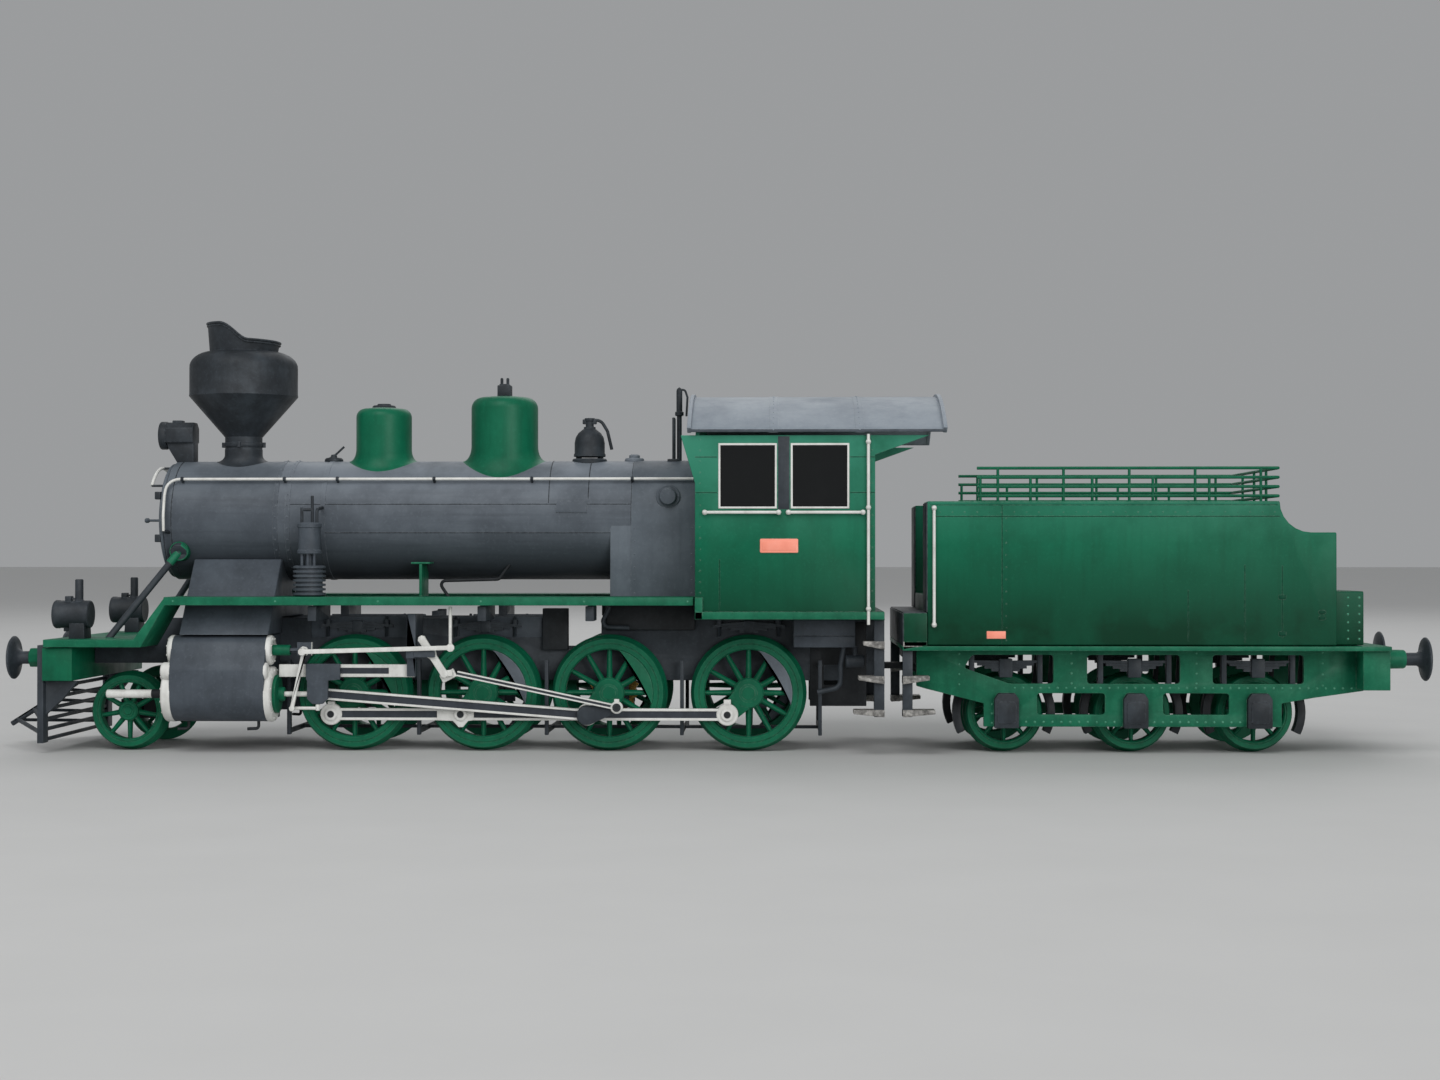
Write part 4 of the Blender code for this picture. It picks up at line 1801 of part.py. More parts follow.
def build():
    main_frame()
    drive()
    running_board()
    front_beam()
    cowcatcher()
    smokebox_saddle()
    boiler()
    smokebox_door()
    chimney()
    sand_dome()
    steam_dome()
    safety_valve()
    whistle()
    headlight()
    air_pump()
    cab()
    cab_roof()
    cab_glazing()
    brake_gear()
    pony_truck()
    carrying_wheelset("pony_wheelset", PONY_X, PONY_Z, PONY_R)
    for number in range(1, len(DRIVER_XS) + 1):
        driver_wheelset(number)
    for side_name in SIDES:
        cylinder(side_name)
        crosshead(side_name)
        motion_bracket(side_name)
        coupling_rod(side_name)
        main_rod(side_name)
        eccentric_rod(side_name)
        expansion_link(side_name)
        radius_rod(side_name)
        combination_lever(side_name)
        handrail(side_name)
        front_lamp(side_name)
        buffer("buffer_front_" + side_name, -1, SIDES[side_name])
        buffer("buffer_rear_" + side_name, 1, SIDES[side_name])
    drawbar()
    tender_frame()
    tender_tank()
    coal_rails()
    for number in range(1, len(TENDER_XS) + 1):
        tender_wheelset(number)
    hang_on_origin()


build()
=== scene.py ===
"""Looks for the model steam locomotive and its tender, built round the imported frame.

Pieces are modelled in millimetres, with stations along X measured from a line just inside the cab's front,
and are moved into the frame's metres when they are done. -X is the front and -Y the left side.
"""

import math

import bmesh
import bpy
from mathutils import Matrix, Vector


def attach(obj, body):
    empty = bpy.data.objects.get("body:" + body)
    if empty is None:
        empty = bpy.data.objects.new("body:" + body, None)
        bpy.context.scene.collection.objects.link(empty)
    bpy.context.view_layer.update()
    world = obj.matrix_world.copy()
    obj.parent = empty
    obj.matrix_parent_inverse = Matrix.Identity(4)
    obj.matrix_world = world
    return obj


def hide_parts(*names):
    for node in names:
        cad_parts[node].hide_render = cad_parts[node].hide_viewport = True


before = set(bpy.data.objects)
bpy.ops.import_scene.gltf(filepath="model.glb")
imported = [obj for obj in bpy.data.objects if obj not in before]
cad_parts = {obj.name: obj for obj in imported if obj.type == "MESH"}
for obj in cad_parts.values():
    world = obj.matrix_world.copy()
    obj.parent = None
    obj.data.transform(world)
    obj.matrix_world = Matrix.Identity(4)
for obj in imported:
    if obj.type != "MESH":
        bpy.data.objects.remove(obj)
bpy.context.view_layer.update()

MM = 0.001
SHIFT = 4.1625  # from the line the stations are measured from to the frame's origin
TO_FRAME = Matrix.Scale(MM, 4) @ Matrix.Translation((SHIFT, 0, 0))
FROM_FRAME = TO_FRAME.inverted()
SIDES = {"left": -1, "right": 1}

# Wheels and cranks
DRIVER_XS = (-128.7, -82.2, -36.9, 13.0)
DRIVER_Z = 20.85
DRIVER_R = 19.85
PONY_X = -210.2
PONY_Z = 14.2
PONY_R = 13.2
TENDER_XS = (104.0, 149.3, 192.6)
TENDER_Z = 14.4
TENDER_R = 13.4
WHEEL_BACK = 20.5
WHEEL_FACE = 26.5
CRANK_THROW = 10.6
CRANK_TURNS = {"left": 225.0, "right": 135.0}
RETURN_FROM_AXLE = {"left": (3.5, -4.5), "right": (-4.5, -3.5)}

# Motion, as distances from the middle of the model
COUPLING_Y = (27.4, 29.4)
MAIN_Y = (30.65, 32.85)
RETURN_Y = (33.25, 34.75)
ECCENTRIC_Y = (35.15, 36.65)
LINK_Y = (37.05, 38.45)
SLIDE_BAR_Y = (33.25, 34.75)
COUPLING_CUPS = (4.6, 0, 3.8, 5.4)
KNUCKLE = [(-8.5, 2.15), (4.7, 2.15), (4.7, -2.1), (2.6, -2.4), (0.8, -4.6), (-0.8, -4.6), (-2.6, -2.4), (-8.5, -2.15)]
WRIST = (-139.6, 20.85)
LINK_TOE = (-91.4, 28.6)
CYLINDER_Y = 34.45
CHEST = (36.05, 36.5)
MIDDLE_COVER = (41.4, 29.3)

# Boiler and cab
BOILER_R = 21.83
BOILER_Z = 83.05
SMOKEBOX_X = -199.1
SMOKEBOX_REAR_X = -156.1
DOOR_X = SMOKEBOX_X - 1.7  # front of the smokebox door's rim
BOILER_REAR_X = -5.7
FIREBOX_X = -36.9
FIREBOX_Z = 52.1
WRAPPER_X = -29.3
RAIL_FRONT_X = -198.3
BRACE_TOP = (-193.3, 20.33, 71.6)
BRACE_FOOT = (-216.5, 30.0, 40.45)
BEAM_X = -236.0
HATCH_XS = (-56.4, -45.3)
HATCH_ANGLES = (6.4, 9.2, 12.0, 14.8, 17.6)
CHIMNEY_X = -174.9
CAB_HALF = 46.0
WINDOW_XS = (2.9, 28.1)
WINDOW_WIDTH = 20.2
WINDOW_Z = 86.5
WINDOW_HEIGHT = 22.6
ROOF_R = 85.72
ROOF_CENTRE_Z = 42.58

# Tender, with its frame plates in the XZ plane
TANK_HALF = 44.0
TANK_TOP = 89.0
RAIL_BALL = [(0, -0.95), (0.7, -0.7), (0.95, 0), (0.7, 0.7), (0, 0.95)]
PLATE_Y = 33.6
FRAME_PLATE = [(72.4, 37.4), (72.4, 24.0), (75.9, 23.0), (96.1, 17.9), (96.1, 9.7), (200.6, 9.7), (200.6, 18.0),
               (211.8, 20.0), (229.2, 22.5), (229.2, 37.4)]
FRAME_HOLES = [[(92.0, 35.0), (120.6, 35.0), (120.6, 24.9), (105.2, 24.9), (89.2, 30.4)],
               [(132.5, 24.9), (165.0, 24.9), (165.0, 35.0), (132.5, 35.0)],
               [(176.5, 24.9), (208.3, 24.9), (208.3, 35.0), (176.5, 35.0)],
               [(114.9, 14.0), (138.7, 14.0), (138.7, 21.5), (114.9, 21.5)],
               [(159.1, 14.0), (182.2, 14.0), (182.2, 21.5), (159.1, 21.5)]]
# Rows of rivets on the plates: start x and z, end x and z
FRAME_RIVETS = [(107.0, 23.4, 228.0, 23.4), (87.5, 24.6, 87.5, 35.4), (99.0, 11.0, 99.0, 17.6),
                (127.0, 25.0, 127.0, 35.6), (170.8, 25.0, 170.8, 35.6), (214.9, 24.4, 214.9, 36.0),
                (111.0, 11.4, 142.0, 11.4), (156.0, 11.4, 186.0, 11.4)]
STEP_ZS = ((37.2, 40.1), (25.2, 28.0), (13.7, 16.2))
# Laps in the tank's side sheets: start x and z, end x and z
TANK_SEAMS = [(78.4, 83.7, 197.7, 83.7), (101.6, 39.0, 101.6, 88.0), (198.5, 41.4, 198.5, 66.5),
              (185.6, 40.0, 185.6, 66.8), (166.0, 40.0, 166.0, 58.0)]


def linear(code):
    """An sRGB hex colour as linear RGBA."""
    parts = [int(code[i : i + 2], 16) / 255 for i in (1, 3, 5)]
    return tuple(c / 12.92 if c <= 0.04045 else ((c + 0.055) / 1.055) ** 2.4 for c in parts) + (1.0,)


def add(tree, kind, links=None, **settings):
    """Adds a node with its settings, and sets or links its inputs."""
    made = tree.nodes.new(kind)
    for name, value in settings.items():
        setattr(made, name, value)
    for name, value in (links or {}).items():
        if isinstance(value, bpy.types.NodeSocket):
            tree.links.new(value, made.inputs[name])
        else:
            made.inputs[name].default_value = value
    return made


def per_mm(size):
    """The noise scale whose features are this many millimetres wide, on coordinates in metres."""
    return 1 / (size * MM)


def new_material(name):
    material = bpy.data.materials.new(name)
    material.use_nodes = True
    material.node_tree.nodes.clear()
    return material, material.node_tree


def painted(name, base, dark, light, roughness, cloud=14.0, stain=0.5, fade=0.35, streak=0.35,
            run_way=(1.0, 1.0, 0.09), shade_and_light_by_height=(), wear=0.25, wear_code="#9fb3a6", shine=0.28):
    """Brushed or sprayed paint: clouds of fading, darker stains, runs, bare edges, and tints by height that paint shade
    and light.

    Each of the height tints paints shade or light: a height in mm where it starts, one where it is full, its colour and
    strength.
    """
    material, tree = new_material(name)
    place = add(tree, "ShaderNodeTexCoord").outputs["Object"]
    clouds = add(tree, "ShaderNodeTexNoise", {"Vector": place, "Scale": per_mm(cloud), "Detail": 6.0,
                                              "Roughness": 0.62})
    speck = add(tree, "ShaderNodeTexNoise", {"Vector": place, "Scale": per_mm(1.1), "Detail": 3.0})
    tall = add(tree, "ShaderNodeMapping", {"Vector": place, "Scale": run_way})
    runs = add(tree, "ShaderNodeTexNoise", {"Vector": tall.outputs[0], "Scale": per_mm(2.6), "Detail": 4.0})
    dim = add(tree, "ShaderNodeMapRange", {0: clouds.outputs[0], 1: 0.52, 2: 0.32, 3: 0.0, 4: stain})
    pale = add(tree, "ShaderNodeMapRange", {0: clouds.outputs[0], 1: 0.5, 2: 0.72, 3: 0.0, 4: fade})
    run = add(tree, "ShaderNodeMapRange", {0: runs.outputs[0], 1: 0.5, 2: 0.72, 3: 0.0, 4: streak})
    grain = add(tree, "ShaderNodeMapRange", {0: speck.outputs[0], 1: 0.56, 2: 0.7, 3: 0.0, 4: 0.22})
    colour = linear(base)
    for factor, code in ((dim, dark), (pale, light), (run, dark), (grain, light)):
        mix = add(tree, "ShaderNodeMix", {0: factor.outputs[0], 7: linear(code)}, data_type="RGBA")
        if isinstance(colour, bpy.types.NodeSocket):
            tree.links.new(colour, mix.inputs[6])
        else:
            mix.inputs[6].default_value = colour
        colour = mix.outputs[2]
    height = add(tree, "ShaderNodeSeparateXYZ", {0: place})
    # Painted shade and painted light: each tint darkens or pales the colour by height, broken up by the clouds.
    for start, full, code, strength in shade_and_light_by_height:
        share = add(tree, "ShaderNodeMapRange", {0: height.outputs[2], 1: start * MM, 2: full * MM,
                                                 3: 0.0, 4: strength})
        patch = add(tree, "ShaderNodeMapRange", {0: clouds.outputs[0], 1: 0.25, 2: 0.55, 3: 0.35})
        both = add(tree, "ShaderNodeMath", {0: share.outputs[0], 1: patch.outputs[0]}, operation="MULTIPLY")
        colour = add(tree, "ShaderNodeMix", {0: both.outputs[0], 6: colour, 7: linear(code)},
                     data_type="RGBA").outputs[2]
    if wear:
        rounded = add(tree, "ShaderNodeBevel", {"Radius": 0.45 * MM}, samples=4)
        facing = add(tree, "ShaderNodeNewGeometry")
        across = add(tree, "ShaderNodeVectorMath", {0: rounded.outputs[0], 1: facing.outputs["Normal"]},
                     operation="DOT_PRODUCT")
        edge = add(tree, "ShaderNodeMapRange", {0: across.outputs["Value"], 1: 0.985, 2: 0.9, 3: 0.0, 4: wear})
        rubbed = add(tree, "ShaderNodeMapRange", {0: speck.outputs[0], 1: 0.35, 2: 0.6})
        both = add(tree, "ShaderNodeMath", {0: edge.outputs[0], 1: rubbed.outputs[0]}, operation="MULTIPLY")
        colour = add(tree, "ShaderNodeMix", {0: both.outputs[0], 6: colour, 7: linear(wear_code)},
                     data_type="RGBA").outputs[2]
    rough = add(tree, "ShaderNodeMapRange", {0: clouds.outputs[0], 1: 0.3, 2: 0.7, 3: roughness + 0.1,
                                             4: roughness - 0.08})
    skin = add(tree, "ShaderNodeTexNoise", {"Vector": place, "Scale": per_mm(0.7), "Detail": 2.0})
    bump = add(tree, "ShaderNodeBump", {"Strength": 0.12, "Distance": 0.05 * MM, "Height": skin.outputs[0]})
    shader = add(tree, "ShaderNodeBsdfPrincipled", {"Base Color": colour, "Roughness": rough.outputs[0],
                                                    "Normal": bump.outputs[0], "Specular IOR Level": shine})
    add(tree, "ShaderNodeOutputMaterial", {0: shader.outputs[0]})
    return material


def bare_metal(name, base, dark, roughness, line=None):
    """Machined metal: fine tool marks round or along the piece and dull patches where oil dried."""
    material, tree = new_material(name)
    place = add(tree, "ShaderNodeTexCoord").outputs["Object"]
    drawn = add(tree, "ShaderNodeMapping", {"Vector": place, "Scale": line or (1.0, 1.0, 1.0)})
    marks = add(tree, "ShaderNodeTexNoise", {"Vector": drawn.outputs[0], "Scale": per_mm(0.8), "Detail": 3.0})
    patches = add(tree, "ShaderNodeTexNoise", {"Vector": place, "Scale": per_mm(6.0), "Detail": 4.0})
    dull = add(tree, "ShaderNodeMapRange", {0: patches.outputs[0], 1: 0.45, 2: 0.7, 3: 0.0, 4: 0.6})
    mix = add(tree, "ShaderNodeMix", {0: dull.outputs[0], 6: linear(base), 7: linear(dark)}, data_type="RGBA")
    rough = add(tree, "ShaderNodeMapRange", {0: marks.outputs[0], 1: 0.3, 2: 0.7, 3: roughness - 0.08,
                                             4: roughness + 0.12})
    bump = add(tree, "ShaderNodeBump", {"Strength": 0.2, "Distance": 0.03 * MM, "Height": marks.outputs[0]})
    shader = add(tree, "ShaderNodeBsdfPrincipled", {"Base Color": mix.outputs[2], "Metallic": 1.0,
                                                    "Roughness": rough.outputs[0], "Normal": bump.outputs[0]})
    add(tree, "ShaderNodeOutputMaterial", {0: shader.outputs[0]})
    return material


def tinted_glass(name, tint, roughness):
    """Smoked glazing: dark, smooth, with a faint film of dust that dulls it in patches."""
    material, tree = new_material(name)
    place = add(tree, "ShaderNodeTexCoord").outputs["Object"]
    film = add(tree, "ShaderNodeTexNoise", {"Vector": place, "Scale": per_mm(9.0), "Detail": 4.0})
    rough = add(tree, "ShaderNodeMapRange", {0: film.outputs[0], 1: 0.4, 2: 0.7, 3: roughness,
                                             4: roughness + 0.12})
    shader = add(tree, "ShaderNodeBsdfPrincipled", {"Base Color": linear(tint), "Roughness": rough.outputs[0],
                                                    "IOR": 1.5, "Transmission Weight": 0.75})
    add(tree, "ShaderNodeOutputMaterial", {0: shader.outputs[0]})
    return material


# Finishes. Brushed enamel on sheet metal: satin, cloudy where it faded; the main green is darker low down, painted
# shade, and paler high up, painted light.
GREEN = painted("green_enamel", "#086347", "#074b34", "#1f7859", 0.42, cloud=24.0, stain=0.55, fade=0.4,
                streak=0.3, shade_and_light_by_height=((74.0, 45.0, "#063421", 0.95), (74.0, 106.0, "#3f8c74", 0.72)), shine=0.16)
GREEN_SEAM = painted("green_seam_enamel", "#0b4330", "#083324", "#12543d", 0.5, cloud=9.0, wear=0.0, shine=0.12)
# Rivet heads in a paler green than the sheets: a painted highlight on each head.
GREEN_RIVET_HIGHLIGHT = painted("green_rivet_painted_highlight", "#4f9a7d", "#2f7a5e", "#7cb79f", 0.45, cloud=6.0, wear=0.0, shine=0.2)
GREEN_DOME = painted("green_dome_enamel", "#0b6145", "#084a34", "#217759", 0.4, cloud=18.0, shine=0.18)
GREEN_FRAME = painted("green_frame_enamel", "#14664a", "#0d4e38", "#2f8061", 0.45, cloud=9.0, fade=0.5,
                      shine=0.18)
GREEN_WHEEL = painted("green_wheel_enamel", "#0b6044", "#074a33", "#18724f", 0.45, cloud=8.0, wear=0.12,
                      shine=0.18)
# Stove paint on the boiler's cladding: dull, wiped in bands along it; the barrel's and smokebox's paints are darker
# below, painted shade, and paler on top, a painted highlight.
SLATE = painted("slate_stove_paint", "#535a62", "#3f454c", "#6a727a", 0.5, cloud=20.0, stain=0.6, fade=0.5,
                streak=0.5, run_way=(0.06, 1.0, 1.0), wear_code="#969da4",
                shade_and_light_by_height=((80.0, 60.0, "#202428", 0.85), (88.0, 104.0, "#89919a", 0.6)))
SLATE_SIDE = painted("slate_firebox_paint", "#5a626a", "#454c53", "#717a82", 0.5, cloud=20.0, stain=0.6,
                     fade=0.5, wear_code="#969da4")
SLATE_SMOKE = painted("slate_smokebox_paint", "#4a5159", "#363c43", "#5f676f", 0.5, cloud=20.0, stain=0.6,
                      fade=0.5, streak=0.5, run_way=(0.06, 1.0, 1.0), wear_code="#969da4",
                      shade_and_light_by_height=((80.0, 60.0, "#1d2125", 0.85), (90.0, 104.0, "#7c858d", 0.5)))
SLATE_BLOCK = painted("slate_cylinder_paint", "#454c54", "#33393f", "#5b646c", 0.5, cloud=12.0,
                      wear_code="#8f969d")
# Cast iron under thin paint and soot: almost black, blotched grey.
SOOT = painted("sooty_cast_iron", "#2b3035", "#1c2024", "#434b52", 0.55, cloud=10.0, stain=0.7, fade=0.5,
               wear_code="#777f87")
IRON = painted("black_iron_paint", "#212427", "#15171a", "#34393e", 0.55, cloud=8.0, wear_code="#6d737a")
SPRING_GREY = painted("spring_grey_paint", "#343a40", "#262b30", "#4a5158", 0.5, cloud=7.0,
                      wear_code="#777e86")
ROOF_GREY = painted("roof_grey_paint", "#858e97", "#6d7680", "#9aa3ab", 0.5, cloud=22.0, stain=0.6, fade=0.4,
                    streak=0.2, wear_code="#b3bac0")
# White enamel on rods, covers and rails, yellowed and rubbed to grey at the edges.
WHITE = painted("white_enamel", "#dcdcd8", "#aba9a3", "#ebebe8", 0.4, cloud=6.0, stain=0.35, fade=0.3,
                streak=0.25, wear=0.3, wear_code="#8f8d88")
FLUTE = painted("rod_flute_paint", "#33383f", "#24282e", "#474d55", 0.5, cloud=7.0, wear=0.0)
# Step plates worn through to mottled bright metal.
TREAD = painted("worn_tread_plate", "#7d7b78", "#3b3a38", "#bab8b3", 0.5, cloud=2.2, stain=0.9, fade=0.9,
                streak=0.0, wear_code="#cbc9c5")
# Blank plates in salmon enamel.
PLATE_RED = painted("salmon_plate_enamel", "#fc9b84", "#ee8a73", "#ffae9a", 0.4, cloud=5.0, streak=0.0,
                    wear_code="#fcc0b0")
CAB_GLASS = tinted_glass("smoked_cab_glass", "#14191b", 0.04)
LENS = tinted_glass("lamp_lens_glass", "#dfe6ea", 0.05)
STEEL = bare_metal("turned_steel", "#b9bcc0", "#8b8e92", 0.32, (0.1, 1.0, 1.0))
BRASS = bare_metal("turned_brass", "#c9a25a", "#96753a", 0.3)


def smooth_merge(bm):
    bmesh.ops.remove_doubles(bm, verts=bm.verts, dist=1e-3)
    bmesh.ops.recalc_face_normals(bm, faces=bm.faces)
    return bm


def bevelled(bm, width, segments=2, limit=25.0):
    """Rounds the edges sharper than a limit, in degrees."""
    sharp = [e for e in bm.edges if len(e.link_faces) == 2 and e.calc_face_angle(0.0) > math.radians(limit)]
    if width and sharp:
        bmesh.ops.bevel(bm, geom=sharp, offset=width, offset_type="OFFSET", segments=segments, profile=0.5,
                        affect="EDGES", clamp_overlap=False)
    return bm


def circle(centre, radius, steps=32, start=0.0, turn=360.0):
    """Points round a centre, from a start angle in degrees; a part turn keeps both ends."""
    count = steps if turn == 360.0 else steps + 1
    angles = [math.radians(start + turn * i / steps) for i in range(count)]
    return [(centre[0] + radius * math.cos(t), centre[1] + radius * math.sin(t)) for t in angles]


def hull(*loops):
    """The outline of a band stretched round all the points."""
    points = sorted({(round(a, 5), round(b, 5)) for loop in loops for a, b in loop})
    halves = []
    for ordered in (points, points[::-1]):
        chain = []
        for p in ordered:
            while len(chain) > 1 and ((chain[-1][0] - chain[-2][0]) * (p[1] - chain[-2][1])
                                      - (chain[-1][1] - chain[-2][1]) * (p[0] - chain[-2][0])) <= 0:
                chain.pop()
            chain.append(p)
        halves += chain[:-1]
    return halves


def rectangle(lo, hi):
    return [lo, (hi[0], lo[1]), hi, (lo[0], hi[1])]


def lathe(profile, centre=(0.0, 0.0, 0.0), axis="Z", steps=48):
    """Turns a profile of (radius, distance along) about an axis through a centre."""
    bm = bmesh.new()
    rings = []
    for radius, along in profile:
        count = steps if radius > 1e-6 else 1
        turns = [2 * math.pi * i / steps for i in range(count)]
        rings.append([bm.verts.new((radius * math.cos(t), radius * math.sin(t), along)) for t in turns])
    for low, high in zip(rings, rings[1:]):
        for i in range(steps):
            j = (i + 1) % steps
            corners = [low[i % len(low)], low[j % len(low)], high[j % len(high)], high[i % len(high)]]
            corners = list(dict.fromkeys(corners))
            if len(corners) > 2:
                bm.faces.new(corners)
    bmesh.ops.remove_doubles(bm, verts=bm.verts, dist=1e-4)
    bmesh.ops.holes_fill(bm, edges=bm.edges)
    turn = {"Z": Matrix(), "X": Matrix.Rotation(math.radians(90), 4, "Y"),
            "Y": Matrix.Rotation(math.radians(-90), 4, "X")}[axis]
    bm.transform(Matrix.Translation(centre) @ turn)
    return smooth_merge(bm)


def in_plane(plane, a, b, c):
    return {"XZ": (a, c, b), "YZ": (c, a, b), "XY": (a, b, c)}[plane]


def prism(outline, plane, low, high, holes=(), bevel=0.2, segments=2):
    """A flat outline in a plane, with holes, given a thickness from low to high across it."""
    bm = bmesh.new()
    loops = [[[bm.verts.new(in_plane(plane, a, b, c)) for a, b in loop] for c in (low, high)]
             for loop in (outline, *holes)]
    edges = [bm.edges.new((u, v)) for near, far in loops for u, v in zip(near, near[1:] + near[:1])]
    bmesh.ops.triangle_fill(bm, edges=edges, use_beauty=True)
    across = {u: v for near, far in loops for u, v in zip(near, far)}
    for face in bm.faces[:]:
        bm.faces.new([across[v] for v in face.verts])
    for near, far in loops:
        for i in range(len(near)):
            j = (i + 1) % len(near)
            bm.faces.new((near[i], near[j], far[j], far[i]))
    smooth_merge(bm)
    bmesh.ops.dissolve_limit(bm, angle_limit=0.005, verts=bm.verts, edges=bm.edges)
    return bevelled(bm, bevel, segments)


def block(low, high, bevel=0.25, segments=2):
    return prism(rectangle(low[:2], high[:2]), "XY", low[2], high[2], bevel=bevel, segments=segments)


def bar(start, end, height, low, high, bevel=0.15):
    """A flat bar of this height between two points of an XZ plane."""
    along = Vector((end[0] - start[0], end[1] - start[1])).normalized()
    off = Vector((-along.y, along.x)) * height / 2
    ends = (Vector(start), Vector(end))
    outline = [tuple(ends[0] - off), tuple(ends[1] - off), tuple(ends[1] + off), tuple(ends[0] + off)]
    return prism(outline, "XZ", low, high, bevel=bevel)


def refined(node, bevel=0.2, segments=2, notch=None):
    """A copy of a CAD node's shape with rounded edges, and with a block cut out of it if one is given."""
    bm = bmesh.new()
    bm.from_mesh(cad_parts[node].data)
    bm.transform(FROM_FRAME)
    bmesh.ops.remove_doubles(bm, verts=bm.verts, dist=2e-3)
    if notch:
        bm = cut_away(bm, *notch)
    bmesh.ops.dissolve_limit(bm, angle_limit=0.008, verts=bm.verts, edges=bm.edges)
    return bevelled(bm, bevel, segments)


def split(bm, test):
    """Cuts the faces whose middle passes the test out of a shape, as a shape of their own."""
    other = bm.copy()
    for shape, wanted in ((bm, False), (other, True)):
        gone = [f for f in shape.faces if bool(test(f.calc_center_median())) != wanted]
        bmesh.ops.delete(shape, geom=gone, context="FACES")
    return other


def cut_away(bm, low, high):
    """A shape with a block cut out of it."""
    objects = []
    for shape in (bm, block(low, high, 0.0)):
        mesh = bpy.data.meshes.new("cut")
        shape.to_mesh(mesh)
        shape.free()
        objects.append(bpy.data.objects.new("cut", mesh))
        bpy.context.scene.collection.objects.link(objects[-1])
    body, tool = objects
    cut = body.modifiers.new("cut", "BOOLEAN")
    cut.operation, cut.solver, cut.object = "DIFFERENCE", "EXACT", tool
    graph = bpy.context.evaluated_depsgraph_get()
    mesh = bpy.data.meshes.new_from_object(body.evaluated_get(graph), depsgraph=graph)
    done = bmesh.new()
    done.from_mesh(mesh)
    for obj in objects:
        bpy.data.objects.remove(obj)
    return done


def rounded(loop, radius, steps=4):
    """An outline with its corners rounded off."""
    points = []
    for before, here, after in zip(loop[-1:] + loop[:-1], loop, loop[1:] + loop[:1]):
        corner = Vector(here)
        start = corner + (Vector(before) - corner).normalized() * radius
        end = corner + (Vector(after) - corner).normalized() * radius
        for share in (k / steps for k in range(steps + 1)):
            points.append(tuple(start.lerp(corner, share).lerp(corner.lerp(end, share), share)))
    return points


def side_span(side, low, high):
    """A span across Y on one side, in rising order."""
    return (low, high) if side > 0 else (-high, -low)


def new_tree(name, sizes):
    """A Geometry Nodes tree with named sizes; returns it, its input node and its output node."""
    tree = bpy.data.node_groups.new(name, "GeometryNodeTree")
    tree.interface.new_socket("Geometry", in_out="INPUT", socket_type="NodeSocketGeometry")
    for label, value in sizes.items():
        kind = "NodeSocketInt" if isinstance(value, int) else "NodeSocketFloat"
        tree.interface.new_socket(label, in_out="INPUT", socket_type=kind).default_value = value
    tree.interface.new_socket("Finish", in_out="INPUT", socket_type="NodeSocketMaterial")
    tree.interface.new_socket("Geometry", in_out="OUTPUT", socket_type="NodeSocketGeometry")
    return tree, add(tree, "NodeGroupInput").outputs


def end_tree(tree, inputs, geometry):
    real = add(tree, "GeometryNodeRealizeInstances", {0: geometry})
    done = add(tree, "GeometryNodeSetMaterial", {"Geometry": real.outputs[0], "Material": inputs["Finish"]})
    add(tree, "NodeGroupOutput", {0: done.outputs[0]})
    return tree


def pipe_tree():
    """Round pipe or rod along each path, with rounded bends."""
    tree, given = new_tree("pipes_along_paths", {"Radius": 0.7, "Bend radius": 2.0, "Sides": 14})
    curve = add(tree, "GeometryNodeMeshToCurve", {0: given["Geometry"]})
    bent = add(tree, "GeometryNodeFilletCurve", {"Curve": curve.outputs[0], "Radius": given["Bend radius"],
                                                 "Count": 6, "Limit Radius": True}, mode="POLY")
    ring = add(tree, "GeometryNodeCurvePrimitiveCircle", {"Resolution": given["Sides"],
                                                          "Radius": given["Radius"]})
    pipe = add(tree, "GeometryNodeCurveToMesh", {"Curve": bent.outputs[0], "Profile Curve": ring.outputs[0],
                                                 "Fill Caps": True})
    return end_tree(tree, given, pipe.outputs[0])


def rivet_tree():
    """Domed rivet heads at an even pitch along each row, standing out of the surface."""
    tree, given = new_tree("rivets_along_rows", {"Pitch": 4.0, "Head radius": 0.45, "Head height": 0.35})
    curve = add(tree, "GeometryNodeMeshToCurve", {0: given["Geometry"]})
    even = add(tree, "GeometryNodeResampleCurve", {"Curve": curve.outputs[0], "Length": given["Pitch"]},
               mode="LENGTH")
    out = add(tree, "GeometryNodeInputNamedAttribute", {"Name": "out"}, data_type="FLOAT_VECTOR")
    turn = add(tree, "FunctionNodeAlignRotationToVector", {"Vector": out.outputs[0]}, axis="Z")
    head = add(tree, "GeometryNodeMeshUVSphere", {"Segments": 10, "Rings": 6, "Radius": 1.0})
    size = add(tree, "ShaderNodeCombineXYZ", {0: given["Head radius"], 1: given["Head radius"],
                                              2: given["Head height"]})
    heads = add(tree, "GeometryNodeInstanceOnPoints", {"Points": even.outputs[0], "Instance": head.outputs[0],
                                                       "Rotation": turn.outputs[0], "Scale": size.outputs[0]})
    return end_tree(tree, given, heads.outputs[0])


